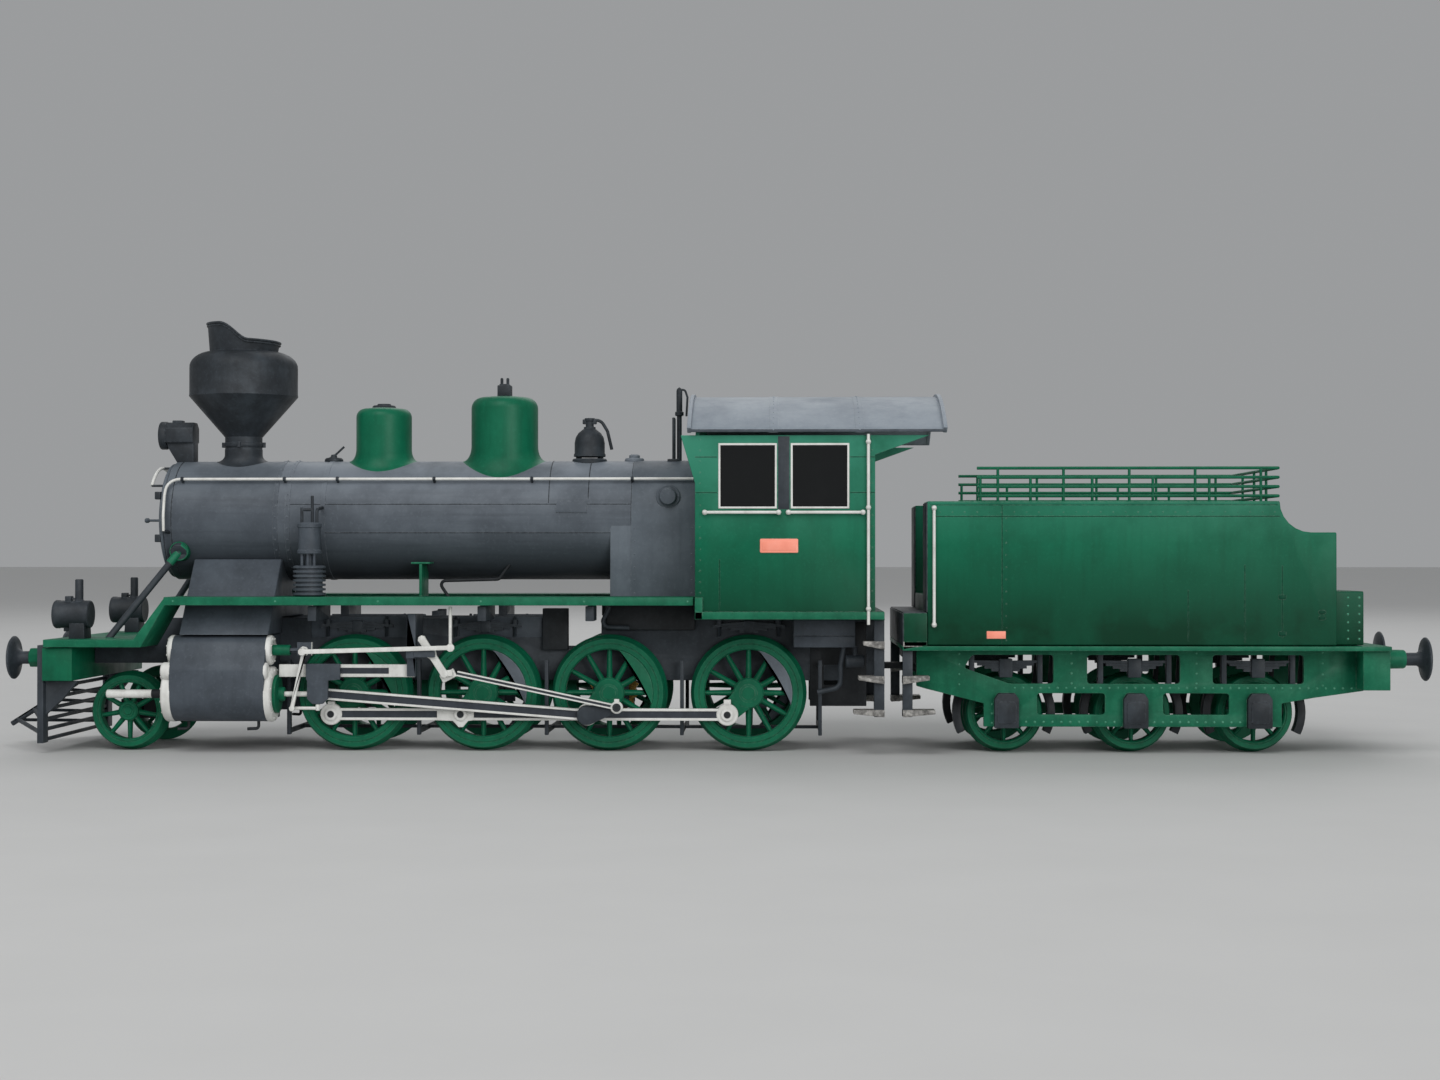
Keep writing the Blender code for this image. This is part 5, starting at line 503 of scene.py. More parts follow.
def spoke_tree():
    """Tapered oval spokes between a hub and a rim, round the Y axis."""
    tree, given = new_tree("wheel_spokes", {"Spokes": 12, "Hub radius": 5.0, "Rim radius": 15.6,
                                            "Root width": 1.1, "Tip width": 0.8, "Depth share": 1.5})
    both = add(tree, "ShaderNodeMath", {0: given["Hub radius"], 1: given["Rim radius"]}, operation="ADD")
    middle = add(tree, "ShaderNodeMath", {0: both.outputs[0], 1: 0.5}, operation="MULTIPLY")
    ring = add(tree, "GeometryNodeCurvePrimitiveCircle", {"Resolution": given["Spokes"],
                                                          "Radius": middle.outputs[0]})
    upright = add(tree, "GeometryNodeTransform", {"Geometry": ring.outputs[0],
                                                  "Rotation": (math.radians(90), math.radians(90), 0)})
    length = add(tree, "ShaderNodeMath", {0: given["Rim radius"], 1: given["Hub radius"]},
                 operation="SUBTRACT")
    spoke = add(tree, "GeometryNodeMeshCone", {"Vertices": 12, "Radius Top": given["Tip width"],
                                               "Radius Bottom": given["Root width"],
                                               "Depth": length.outputs[0]})
    half = add(tree, "ShaderNodeMath", {0: length.outputs[0], 1: -0.5}, operation="MULTIPLY")
    shift = add(tree, "ShaderNodeCombineXYZ", {2: half.outputs[0]})
    centred = add(tree, "GeometryNodeTransform", {"Geometry": spoke.outputs[0], "Translation": shift.outputs[0]})
    place = add(tree, "GeometryNodeInputPosition")
    radial = add(tree, "FunctionNodeAlignRotationToVector", {"Vector": place.outputs[0]}, axis="Z")
    flat = add(tree, "FunctionNodeAlignRotationToVector", {"Rotation": radial.outputs[0],
                                                           "Vector": (0.0, 1.0, 0.0)},
               axis="X", pivot_axis="Z")
    size = add(tree, "ShaderNodeCombineXYZ", {0: given["Depth share"], 1: 1.0, 2: 1.0})
    spokes = add(tree, "GeometryNodeInstanceOnPoints", {"Points": upright.outputs[0],
                                                        "Instance": centred.outputs[0],
                                                        "Rotation": flat.outputs[0], "Scale": size.outputs[0]})
    return end_tree(tree, given, spokes.outputs[0])


def leaf_tree():
    """A pack of spring leaves, each shorter than the one above it, bent up towards the ends."""
    tree, given = new_tree("leaf_springs", {"Leaves": 5, "Half length": 12.5, "Leaf thickness": 0.9,
                                            "Leaf width": 2.2, "Camber": 2.2})
    row = add(tree, "GeometryNodeMeshLine", {"Count": given["Leaves"]})
    rank = add(tree, "GeometryNodeInputIndex")
    length = add(tree, "ShaderNodeMath", {0: given["Half length"], 1: 2.0}, operation="MULTIPLY")
    size = add(tree, "ShaderNodeCombineXYZ", {0: length.outputs[0], 1: given["Leaf width"],
                                              2: given["Leaf thickness"]})
    leaf = add(tree, "GeometryNodeMeshCube", {"Size": size.outputs[0], "Vertices X": 17})
    drop = add(tree, "ShaderNodeMath", {0: rank.outputs[0], 1: given["Leaf thickness"]}, operation="MULTIPLY")
    down = add(tree, "ShaderNodeMath", {0: drop.outputs[0], 1: -1.0}, operation="MULTIPLY")
    lower = add(tree, "ShaderNodeCombineXYZ", {2: down.outputs[0]})
    placed = add(tree, "GeometryNodeSetPosition", {"Geometry": row.outputs[0], "Position": lower.outputs[0]})
    share = add(tree, "ShaderNodeMath", {0: rank.outputs[0], 1: given["Leaves"]}, operation="DIVIDE")
    shorter = add(tree, "ShaderNodeMath", {0: 1.0, 1: share.outputs[0]}, operation="SUBTRACT")
    scale = add(tree, "ShaderNodeCombineXYZ", {0: shorter.outputs[0], 1: 1.0, 2: 0.94})
    pack = add(tree, "GeometryNodeInstanceOnPoints", {"Points": placed.outputs[0], "Instance": leaf.outputs[0],
                                                      "Scale": scale.outputs[0]})
    real = add(tree, "GeometryNodeRealizeInstances", {0: pack.outputs[0]})
    place = add(tree, "GeometryNodeInputPosition")
    parts = add(tree, "ShaderNodeSeparateXYZ", {0: place.outputs[0]})
    along = add(tree, "ShaderNodeMath", {0: parts.outputs[0], 1: given["Half length"]}, operation="DIVIDE")
    square = add(tree, "ShaderNodeMath", {0: along.outputs[0], 1: along.outputs[0]}, operation="MULTIPLY")
    rise = add(tree, "ShaderNodeMath", {0: square.outputs[0], 1: given["Camber"]}, operation="MULTIPLY")
    offset = add(tree, "ShaderNodeCombineXYZ", {2: rise.outputs[0]})
    bent = add(tree, "GeometryNodeSetPosition", {"Geometry": real.outputs[0], "Offset": offset.outputs[0]})
    return end_tree(tree, given, bent.outputs[0])


PIPES = pipe_tree()
RIVETS = rivet_tree()
SPOKES = spoke_tree()
LEAVES = leaf_tree()


def grown(tree, carrier, finish, sizes=None):
    """Runs a tree on a carrier mesh and returns the plain result as (shape, finish)."""
    obj = bpy.data.objects.new("carrier", carrier)
    bpy.context.scene.collection.objects.link(obj)
    modifier = obj.modifiers.new("grow", "NODES")
    modifier.node_group = tree
    values = {**(sizes or {}), "Finish": finish}
    for item in tree.interface.items_tree:
        if item.in_out == "INPUT" and item.name in values:
            modifier[item.identifier] = values[item.name]
    graph = bpy.context.evaluated_depsgraph_get()
    mesh = bpy.data.meshes.new_from_object(obj.evaluated_get(graph), depsgraph=graph)
    bm = bmesh.new()
    bm.from_mesh(mesh)
    bpy.data.objects.remove(obj)
    bpy.data.meshes.remove(mesh)
    bpy.data.meshes.remove(carrier)
    return bm, finish


def pipes(paths, radius, finish, bend=2.0, sides=14):
    carrier = bpy.data.meshes.new("paths")
    points, edges = [], []
    for path in paths:
        edges += [(len(points) + i, len(points) + i + 1) for i in range(len(path) - 1)]
        points += path
    carrier.from_pydata(points, edges, [])
    return grown(PIPES, carrier, finish, {"Radius": radius, "Bend radius": bend, "Sides": sides})


def rivets(rows, finish, pitch=4.0, radius=0.45, height=0.35):
    """Rivets along rows, each row a list of points and the direction the heads face."""
    carrier = bpy.data.meshes.new("rows")
    points, edges, ways = [], [], []
    for row, out in rows:
        edges += [(len(points) + i, len(points) + i + 1) for i in range(len(row) - 1)]
        points += row
        ways += out if isinstance(out, list) else [out] * len(row)
    carrier.from_pydata(points, edges, [])
    facing = carrier.attributes.new("out", "FLOAT_VECTOR", "POINT")
    for item, way in zip(facing.data, ways):
        item.vector = way
    return grown(RIVETS, carrier, finish, {"Pitch": pitch, "Head radius": radius, "Head height": height})


def bolt_ring(centre, radius, count, axis, finish, head=0.6, height=0.5, out=1.0):
    """Bolt heads round a cover whose face looks along an axis."""
    rows = []
    for t in (2 * math.pi * (i + 0.5) / count for i in range(count)):
        a, b = radius * math.cos(t), radius * math.sin(t)
        spot = Vector(centre) + Vector({"X": (0, a, b), "Y": (a, 0, b), "Z": (a, b, 0)}[axis])
        way = Vector({"X": (out, 0, 0), "Y": (0, out, 0), "Z": (0, 0, out)}[axis])
        rows.append(([spot, spot + Vector((1e-3, 1e-3, 1e-3))], way))
    return rivets(rows, finish, pitch=1.0, radius=head, height=height)


def piece(name, body, parts, stands_for=(), crease=38.0):
    """Joins shapes with their finishes into one object, which rides on a body."""
    whole = bmesh.new()
    finishes = []
    for shape, finish in parts:
        if finish not in finishes:
            finishes.append(finish)
        for face in shape.faces:
            face.material_index = finishes.index(finish)
            face.smooth = True
        part = bpy.data.meshes.new("part")
        shape.to_mesh(part)
        shape.free()
        whole.from_mesh(part)
        bpy.data.meshes.remove(part)
    whole.transform(TO_FRAME)
    mesh = bpy.data.meshes.new(name)
    whole.to_mesh(mesh)
    whole.free()
    for finish in finishes:
        mesh.materials.append(finish)
    mesh.set_sharp_from_angle(angle=math.radians(crease))
    obj = bpy.data.objects.new(name, mesh)
    bpy.context.scene.collection.objects.link(obj)
    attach(obj, body)
    if stands_for:
        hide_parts(*stands_for)
    return obj


def crank_pin(x, side):
    turn = math.radians(CRANK_TURNS[side])
    return x + CRANK_THROW * math.cos(turn), DRIVER_Z + CRANK_THROW * math.sin(turn)


def return_pin(side):
    return DRIVER_XS[2] + RETURN_FROM_AXLE[side][0], DRIVER_Z + RETURN_FROM_AXLE[side][1]


def tyre(x, z, radius, rim, side):
    """Flange, coned tread and rim, with the groove where the tyre meets the wheel centre."""
    back, face = WHEEL_BACK, WHEEL_FACE
    inner = radius - rim
    profile = [(radius + 0.6, back), (radius + 1.0, back + 0.4), (radius + 0.9, back + 1.1),
               (radius + 0.3, back + 1.9), (radius, back + 2.4), (radius - 0.1, face - 0.5),
               (radius - 0.5, face), (radius - 1.9, face), (radius - 2.05, face - 0.3), (radius - 2.25, face - 0.3),
               (radius - 2.4, face - 0.05), (inner + 0.5, face - 0.05), (inner, face - 0.6),
               (inner, back + 1.0), (inner + 0.5, back), (radius + 0.6, back)]
    return lathe([(r, side * a) for r, a in profile], (x, 0, z), "Y", 72)


def spokes(x, z, count, hub, rim, root, tip, side, finish):
    carrier = bpy.data.meshes.new("hub")
    bm, finish = grown(SPOKES, carrier, finish, {"Spokes": count, "Hub radius": hub, "Rim radius": rim,
                                                 "Root width": root, "Tip width": tip})
    bm.transform(Matrix.Translation((x, side * 23.6, z)))
    return bm, finish


def hub(x, z, radius, side, finish, axle):
    """Hub with a raised ring and the axle's turned end."""
    profile = [(0, 20.9), (radius - 0.4, 20.9), (radius, 21.3), (radius, 26.4), (radius - 0.5, 26.9),
               (axle + 0.9, 26.9), (axle + 0.5, 26.5), (axle + 0.1, 26.5), (axle - 0.2, 26.95), (0, 26.95)]
    return lathe([(r, side * a) for r, a in profile], (x, 0, z), "Y", 40), finish


def driver(index):
    x = DRIVER_XS[index]
    parts = [(lathe([(0, -22), (2.5, -22), (2.5, 22), (0, 22)], (x, 0, DRIVER_Z), "Y", 24), IRON)]
    for name, side in SIDES.items():
        pin = crank_pin(x, name)
        turn = CRANK_TURNS[name]
        weight = turn + (166.0 if name == "left" else -166.0)
        heavy = math.radians(weight)
        parts += [(tyre(x, DRIVER_Z, DRIVER_R, 4.3, side), GREEN_WHEEL), hub(x, DRIVER_Z, 5.5, side, GREEN_WHEEL, 2.5),
                  spokes(x, DRIVER_Z, 12, 4.8, 15.8, 1.15, 0.85, side, GREEN_WHEEL)]
        inner = (x - 61.4 * math.cos(heavy), DRIVER_Z - 61.4 * math.sin(heavy))
        crescent = circle((x, DRIVER_Z), 15.9, 28, weight - 48, 96) + circle(inner, 73.0, 12, weight + 9.3, -18.6)
        parts.append((prism(crescent, "XZ", *side_span(side, 22.6, 26.1), bevel=0.3),
                      GREEN_WHEEL if index in (0, 2) else SLATE_SIDE))
        web = hull(circle((x, DRIVER_Z), 4.6, 24), circle(pin, 3.3, 24))
        parts.append((prism(web, "XZ", *side_span(side, 22.2, 26.8), bevel=0.4), GREEN_WHEEL))
        reach = RETURN_Y[1] - 0.3 if index == 2 else COUPLING_Y[1] + 0.85
        size = 1.7 if index == 2 else 1.5
        head = [(0, 26), (size, 26), (size, COUPLING_Y[1] + 0.25), (2.0, COUPLING_Y[1] + 0.25),
                (2.2, COUPLING_Y[1] + 0.45), (2.2, COUPLING_Y[1] + 0.75), (1.9, COUPLING_Y[1] + 0.85)]
        tail = [(size, COUPLING_Y[1] + 0.85), (size, reach)] if index == 2 else []
        turned = [(r, side * a) for r, a in head + tail + [(0, reach)]]
        parts.append((lathe(turned, (pin[0], 0, pin[1]), "Y", 24), SPRING_GREY if index == 2 else WHITE))
        if index != 2:
            dot = [(0, reach - 0.1), (1.25, reach - 0.1), (1.25, reach + 0.1), (0, reach + 0.1)]
            parts.append((lathe([(r, side * a) for r, a in dot], (pin[0], 0, pin[1]), "Y", 20), IRON))
        if index == 2:
            foot = return_pin(name)
            arm = hull(circle(pin, 3.5, 8, 22.5), circle(foot, 1.7, 20))
            parts.append((prism(arm, "XZ", *side_span(side, *RETURN_Y), bevel=0.3), SPRING_GREY))
            end = [(0, 34), (1.0, 34), (1.0, 36.95), (1.5, 36.95), (1.5, 37.0), (0, 37.0)]
            parts.append((lathe([(r, side * a) for r, a in end], (foot[0], 0, foot[1]), "Y", 20), IRON))
    piece(f"driving_wheels_{index + 1}", f"driver_{index + 1}", parts, [f"driver_wheelset_{index + 1}"])


def carrying(name, body, node, x, z, radius, count, journals):
    parts = [(lathe([(0, -journals), (1.5, -journals), (1.5, -25), (2.0, -22), (2.0, 22), (1.5, 25),
                     (1.5, journals), (0, journals)], (x, 0, z), "Y", 20), IRON)]
    for side in SIDES.values():
        parts += [(tyre(x, z, radius, 3.1, side), GREEN_WHEEL), hub(x, z, 3.5, side, GREEN_WHEEL, 1.5),
                  spokes(x, z, count, 3.0, radius - 2.9, 1.0, 0.75, side, GREEN_WHEEL)]
    piece(name, body, parts, [node])


def fluted(start, end, height, span, flange=0.95):
    """A rod of I section: pale flanges with a dark flute between them."""
    along = Vector((end[0] - start[0], end[1] - start[1])).normalized()
    off = Vector((-along.y, along.x)) * (height - flange) / 2
    depth = (span[1] - span[0]) * 0.25
    parts = [(bar(start, end, height - flange, span[0] + depth, span[1] - depth, 0), FLUTE)]
    for way in (-1, 1):
        ends = [tuple(Vector(p) + off * way) for p in (start, end)]
        parts.append((bar(*ends, flange, *span), WHITE))
    return parts


def eye(centre, radius, bore, span, finish):
    """A rod's eye with a raised rim round its bore."""
    low, high = span
    profile = [(bore, low), (radius - 0.3, low), (radius, low + 0.3), (radius, high - 0.3),
               (radius - 0.3, high), (bore + 0.9, high), (bore + 0.7, high - 0.2), (bore, high - 0.2), (bore, low)]
    return lathe(profile, (centre[0], 0, centre[1]), "Y", 32), finish


def coupling_rod(name, side):
    pins = [crank_pin(x, name) for x in DRIVER_XS]
    span = side_span(side, *COUPLING_Y)
    parts = []
    for a, b in zip(pins, pins[1:]):
        parts += fluted((a[0] + 3.2, a[1]), (b[0] - 3.2, b[1]), 4.3, span)
    for i, (x, z) in enumerate(pins):
        parts.append(eye((x, z), 3.9 if i != 1 else 2.9, 1.8, span, WHITE))
        if i != 1:
            cup = prism(rectangle((x - 1.3, z + 3.2), (x + 1.3, z + COUPLING_CUPS[i])), "XZ", *span, bevel=0.25)
            parts.append((cup, WHITE))
    x, z = pins[1]
    knuckle = [(x + a, z + b) for a, b in KNUCKLE]
    hole = [circle((x, z), 1.8, 20)]
    parts.append((prism(knuckle, "XZ", *side_span(side, COUPLING_Y[0] + 0.1, COUPLING_Y[1] + 0.1), hole, bevel=0.2), WHITE))
    piece(f"side_rod_{name}", f"coupling_rod_{name}", parts, [f"coupling_rod_{name}"])


def main_rod(name, side):
    big = crank_pin(DRIVER_XS[2], name)
    span = side_span(side, *MAIN_Y)
    along = (Vector(WRIST) - Vector(big)).normalized()
    parts = fluted(tuple(Vector(big) + along * 2.9), tuple(Vector(WRIST) - along * 2.4), 4.0, span, 0.8)
    parts += [eye(big, 3.5, 2.0, span, SPRING_GREY), eye(WRIST, 2.9, 1.5, span, WHITE)]
    piece(f"connecting_rod_{name}", f"main_rod_{name}", parts, [f"main_rod_{name}"])


def eccentric_rod(name, side):
    start = return_pin(name)
    left = return_pin("left")
    end = (start[0] + LINK_TOE[0] - left[0], start[1] + LINK_TOE[1] - left[1])
    if name == "right":
        end = LINK_TOE
    span = side_span(side, *ECCENTRIC_Y)
    along = (Vector(end) - Vector(start)).normalized()
    parts = fluted(tuple(Vector(start) + along * 1.8), tuple(Vector(end) - along * 1.4), 1.9, span, 0.55)
    parts.append(eye(start, 2.2, 1.25, span, WHITE))
    fork = bar((end[0] - 4.2, end[1] - 2.4), (end[0] + 0.7, end[1] + 0.2), 3.1, *span, 0.3)
    parts.append((fork, WHITE))
    cup = rectangle((start[0] - 0.9, start[1] + 1.7), (start[0] + 0.9, start[1] + 3.0))
    parts.append((prism(cup, "XZ", *span, bevel=0.2), WHITE))
    piece(f"valve_rod_{name}", f"eccentric_rod_{name}", parts, [f"eccentric_rod_{name}"])


def motion(name, side):
    """Crosshead, slide bar, link, radius rod and lever of one side."""
    slipper = refined(f"crosshead_{name}", 0.18)
    rods = split(slipper, lambda c: c.x < -144.5 or c.z < 17.1)
    piece(f"crosshead_block_{name}", f"crosshead_{name}", [(slipper, SLATE_BLOCK), (rods, WHITE)],
          [f"crosshead_{name}"])
    bracket = refined(f"motion_bracket_{name}", 0.18)
    slide = split(bracket, lambda c: c.x < -108.0 and c.z < 32 and abs(c.y) > 32.8)
    span = side_span(side, SLIDE_BAR_Y[0] + 0.4, SLIDE_BAR_Y[1] + 0.03)
    flute = prism(rectangle((-132.0, 28.1), (-114.5, 30.2)), "XZ", *span, bevel=0.0)
    piece(f"slide_bar_{name}", "engine", [(bracket, SLATE_BLOCK), (slide, WHITE), (flute, FLUTE)],
          [f"motion_bracket_{name}"])
    piece(f"rocking_link_{name}", f"expansion_link_{name}", [(refined(f"expansion_link_{name}", 0.2), WHITE)],
          [f"expansion_link_{name}"])
    rod = refined(f"radius_rod_{name}", 0.15)
    jaw = split(rod, lambda c: c.x < -144.0)
    piece(f"valve_radius_rod_{name}", f"radius_rod_{name}", [(rod, WHITE), (jaw, SLATE_BLOCK)],
          [f"radius_rod_{name}"])
    piece(f"lap_lever_{name}", f"combination_lever_{name}", [(refined(f"combination_lever_{name}", 0.15), WHITE)],
          [f"combination_lever_{name}"])


def cylinder(name, side):
    """Cylinder and valve chest under one cladding, with pale end covers and the tail-rod tube."""
    chest = (side * CHEST[0], CHEST[1])
    middle = (side * MIDDLE_COVER[0], MIDDLE_COVER[1])
    low = (side * CYLINDER_Y, DRIVER_Z)
    inner = side * 18.4
    cladding = hull(circle(chest, 5.2, 40), circle(middle, 3.0, 24), circle(low, 9.7, 56),
                    [(inner, 11.6), (inner, 41.5)])
    parts = [(prism(cladding, "YZ", -190.6, -157.0, bevel=0.3), SLATE_BLOCK)]
    for (y, z), radius, front, rear in ((chest, 5.35, -192.4, -155.3), (middle, 3.1, -193.9, -156.0),
                                        (low, 9.85, -193.9, -154.9)):
        for face, back in ((front, -190.4), (rear, -157.2)):
            way = 1 if face > back else -1
            profile = [(0, back), (radius, back), (radius, face - way * 0.9), (radius - 0.35, face - way * 0.3),
                       (radius - 1.0, face), (radius * 0.55, face), (radius * 0.5, face - way * 0.3), (0, face - way * 0.3)]
            parts.append((lathe(profile, (0, y, z), "X", 48), WHITE))
            if radius > 5:
                parts.append(bolt_ring((face, y, z), radius - 1.15, 8 if radius < 6 else 12, "X", WHITE, 0.4, 0.3, way))
    tail = [(0, -215.5), (1.2, -215.5), (1.5, -215.2), (1.5, -199.0), (0, -199.0)]
    sleeve = [(0, -199.2), (1.5, -199.2), (1.6, -199.0), (1.6, -193.0), (0, -193.0)]
    gland = [(0, -155.5), (6.6, -155.5), (6.8, -155.2), (6.8, -153.8), (2.5, -153.6), (2.5, -152.0), (2.2, -151.6),
             (1.2, -151.6), (1.2, -155.5)]
    guide = [(1.2, -156.0), (1.9, -156.0), (1.9, -149.6), (1.7, -149.3), (1.2, -149.3), (1.2, -156.0)]
    parts += [(lathe(tail, (0, *low), "X", 24), WHITE), (lathe(sleeve, (0, *low), "X", 24), IRON),
              (lathe(gland, (0, *low), "X", 24), GREEN_WHEEL), (lathe(guide, (0, *chest), "X", 24), GREEN_WHEEL)]
    drains = [[(x, low[0], 12.0), (x, low[0], 8.6), (x - 3.5, low[0] + side * 2.0, 8.6)] for x in (-186.0, -161.0)]
    parts.append(pipes(drains, 0.55, IRON, 1.0))
    piece(f"cylinder_block_{name}", "engine", parts, [f"cylinder_{name}"])


def on_boiler(x, angle, side, out=0.0):
    """A point on the barrel, or this far out of it, at an angle above its middle in degrees."""
    t = math.radians(angle)
    return x, side * (BOILER_R + out) * math.cos(t), BOILER_Z + (BOILER_R + out) * math.sin(t)


def boiler():
    """Smokebox, barrel and firebox in one cladding, with its bands, seams and fittings."""
    front, rear, radius = SMOKEBOX_X, BOILER_REAR_X, BOILER_R
    profile = [(0, front + 30.0), (radius - 1.8, front + 30.0), (radius - 1.8, front + 0.4), (radius - 1.4, front),
               (radius - 0.5, front), (radius, front + 0.5)]
    for band in (-158.3, -153.9, -141.0):
        profile += [(radius, band - 0.9), (radius + 0.22, band - 0.8), (radius + 0.22, band + 0.8), (radius, band + 0.9)]
    profile += [(radius, rear), (0, rear)]
    shell = lathe(profile, (0, 0, BOILER_Z), "X", 96)
    smokebox = split(shell, lambda c: c.x < SMOKEBOX_REAR_X)
    parts = [(shell, SLATE), (smokebox, SLATE_SMOKE)]
    box = prism(rectangle((-21.7, FIREBOX_Z), (21.7, BOILER_Z + 2)), "YZ", FIREBOX_X, rear, bevel=0.5)
    parts.append((box, SLATE_SIDE))
    wrap = circle((0, BOILER_Z), radius + 0.2, 48, 0, 180)
    strip = [(radius + 0.2, FIREBOX_Z)] + wrap + [(-radius - 0.2, FIREBOX_Z)]
    inside = circle((0, BOILER_Z), radius - 1, 48, 180, -180)
    inside = [(-radius + 1, FIREBOX_Z)] + inside + [(radius - 1, FIREBOX_Z)]
    parts.append((prism(strip + inside, "YZ", WRAPPER_X, rear, bevel=0.1), SLATE_SIDE))
    seams = []
    for side in SIDES.values():
        # The washout cover, the inspection hatch, lap seams along and round the barrel, and rivets.
        cover = [(0, 19.5), (4.4, 19.5), (4.4, 21.4), (4.0, 21.8), (3.3, 21.8), (3.3, 23.0), (2.7, 23.8), (0, 24.2)]
        parts.append((lathe([(r, side * a) for r, a in cover], (-16.0, 0, 91.3), "Y", 40), SLATE_SIDE))
        hatch = [on_boiler(0, a, side, out)[1:] for out, turn in ((0.35, 1), (-0.4, -1))
                 for a in HATCH_ANGLES[::turn]]
        parts.append((prism(hatch, "YZ", *HATCH_XS, bevel=0.12), SLATE))
        for angle, start, end in ((14.7, -152.9, WRAPPER_X), (-12.6, -142.5, WRAPPER_X)):
            seams.append([on_boiler(x, angle, side) for x in (start, end)])
        for x, low, high in ((-59.2, 16, 90), (-44.9, 20, 76), (WRAPPER_X, -4, 90), (SMOKEBOX_X + 3.0, -70, 90)):
            seams.append([on_boiler(x, a, side, 0.05) for a in range(low, high + 1, 2)])
        turns = range(-85, 91, 5)
        ways = [Vector(on_boiler(0, a, side)) - Vector((0, 0, BOILER_Z)) for a in turns]
        lines = [[on_boiler(x, a, side, 0.25) for a in turns] for x in (-158.3, -153.9)]
        parts.append(rivets([(line, ways) for line in lines], SLATE, 4.0, 0.32, 0.22))
        wall = [[(x, side * 21.95, z) for z in (56.5, 80.0)] for x in (WRAPPER_X + 1.2, -7.5)]
        parts.append(rivets([(line, Vector((0, side, 0))) for line in wall], SLATE_SIDE, 4.5, 0.32, 0.25))
    parts.append(pipes(seams, 0.17, SOOT, 0.0, 6))
    cap = [(0, 103), (3.6, 103), (3.6, 105.5), (3.2, 106.0), (2.0, 106.0), (2.0, 107.0), (1.4, 107.4), (0, 107.4)]
    parts.append((lathe(cap, (-29.5, 0, 0), "Z", 32), SLATE))
    # The blower valve ahead of the sand dome, with its lever.
    valve = [(0, 103.5), (3.4, 103.5), (3.4, 105.6), (2.8, 106.2), (1.2, 106.4), (1.0, 107.4), (0, 107.6)]
    parts.append((lathe(valve, (-141.2, 0, 0), "Z", 28), SOOT))
    parts.append(pipes([[(-143.6, 0, 105.6), (-140.4, 0, 107.6), (-137.4, 0, 110.4)]], 0.4, SOOT, 0.5, 10))
    piece("boiler_shell", "engine", parts, ["boiler"])


def smokebox_door():
    """Dished door with its rim, two strap hinges, clips, the long handle and the rail over the top."""
    radius = BOILER_R - 1.0
    profile = [(0, 1.4), (radius, 1.4), (radius + 0.2, 1.1), (radius + 0.2, 0.5), (radius - 0.6, 0),
               (radius - 2.2, 0), (radius - 2.8, -0.5)]
    profile += [((radius - 2.8) * math.cos(t), -0.5 - 1.7 * math.sin(t))
                for t in (math.radians(a) for a in range(15, 90, 15))]
    profile += [(1.6, -2.2), (1.6, -3.2), (0.9, -3.6), (0.5, -3.9), (0.45, -9.2), (0.85, -9.6), (0.95, -10.4),
                (0.7, -11.0), (0, -11.2)]
    parts = [(lathe([(r, DOOR_X + a) for r, a in profile], (0, 0, BOILER_Z), "X", 72), SLATE_SIDE)]
    for z in (BOILER_Z - 7.5, BOILER_Z + 7.5):
        parts.append((block((DOOR_X - 2.4, -9.0, z - 1.3), (DOOR_X - 0.3, 19.5, z + 1.3), 0.35), SLATE_SIDE))
        pin = [(0, z - 2.2), (1.3, z - 2.2), (1.3, z + 2.2), (0, z + 2.2)]
        parts.append((lathe(pin, (DOOR_X - 0.3, 19.8, 0), "Z", 20), SLATE_SIDE))
    for z in (76.3, 91.8):
        parts.append((block((DOOR_X - 1.7, -20.4, z - 1.4), (DOOR_X + 0.4, -17.4, z + 1.4), 0.3), SOOT))
    arch = [(DOOR_X - 4.2, y, z) for y, z in circle((0, BOILER_Z), 19.35, 24, 40, 100)]
    parts.append(pipes([arch], 0.6, WHITE, 0.0))
    feet = [[p, (DOOR_X - 0.2, p[1], p[2])] for p in (arch[0], arch[12], arch[-1])]
    parts.append(pipes(feet, 0.45, SOOT, 0.0, 10))
    parts.append(bolt_ring((DOOR_X + 0.1, 0, BOILER_Z), radius - 1.4, 20, "X", SLATE_SIDE, 0.45, 0.35, -1.0))
    piece("smokebox_front", "smokebox_door", parts, ["smokebox_door"])


def saddle_flange(x, radius, flare, top, profile_top, steps=64):
    """A turned shell whose flared foot follows the boiler, under a profile of (radius, height) points."""
    bm = bmesh.new()
    rows = []
    for k in range(9):
        t = math.radians(90 * k / 8)
        rows.append((radius + flare * (1 - math.sin(t)), top * (1 - math.cos(t)), True))
    rows += [(r, z, False) for r, z in profile_top]
    rings = []
    for r, z, on_boiler in [(radius + flare, -1.2, True)] + rows:
        ring = []
        for i in range(steps):
            t = 2 * math.pi * i / steps
            y = r * math.sin(t)
            base = BOILER_Z + math.sqrt(max(BOILER_R**2 - y**2, 0.0)) if on_boiler else 0.0
            ring.append(bm.verts.new((x + r * math.cos(t), y, base + z)) if r > 1e-6 else None)
        if ring[0] is None:
            ring = [bm.verts.new((x, 0, z))] * steps
        rings.append(ring)
    for low, high in zip(rings, rings[1:]):
        for i in range(steps):
            j = (i + 1) % steps
            corners = list(dict.fromkeys([low[i], low[j], high[j], high[i]]))
            if len(corners) > 2:
                bm.faces.new(corners)
    bmesh.ops.holes_fill(bm, edges=bm.edges)
    return smooth_merge(bm)


def shoulder(radius, top, size):
    """The rounded top of a dome: from its wall at this radius to its crown."""
    turned = [(radius - size + size * math.cos(t), top - size + size * math.sin(t) - 0.5)
              for t in (math.radians(a) for a in range(0, 91, 10))]
    return turned + [(radius * 0.4, top - 0.15), (0, top)]


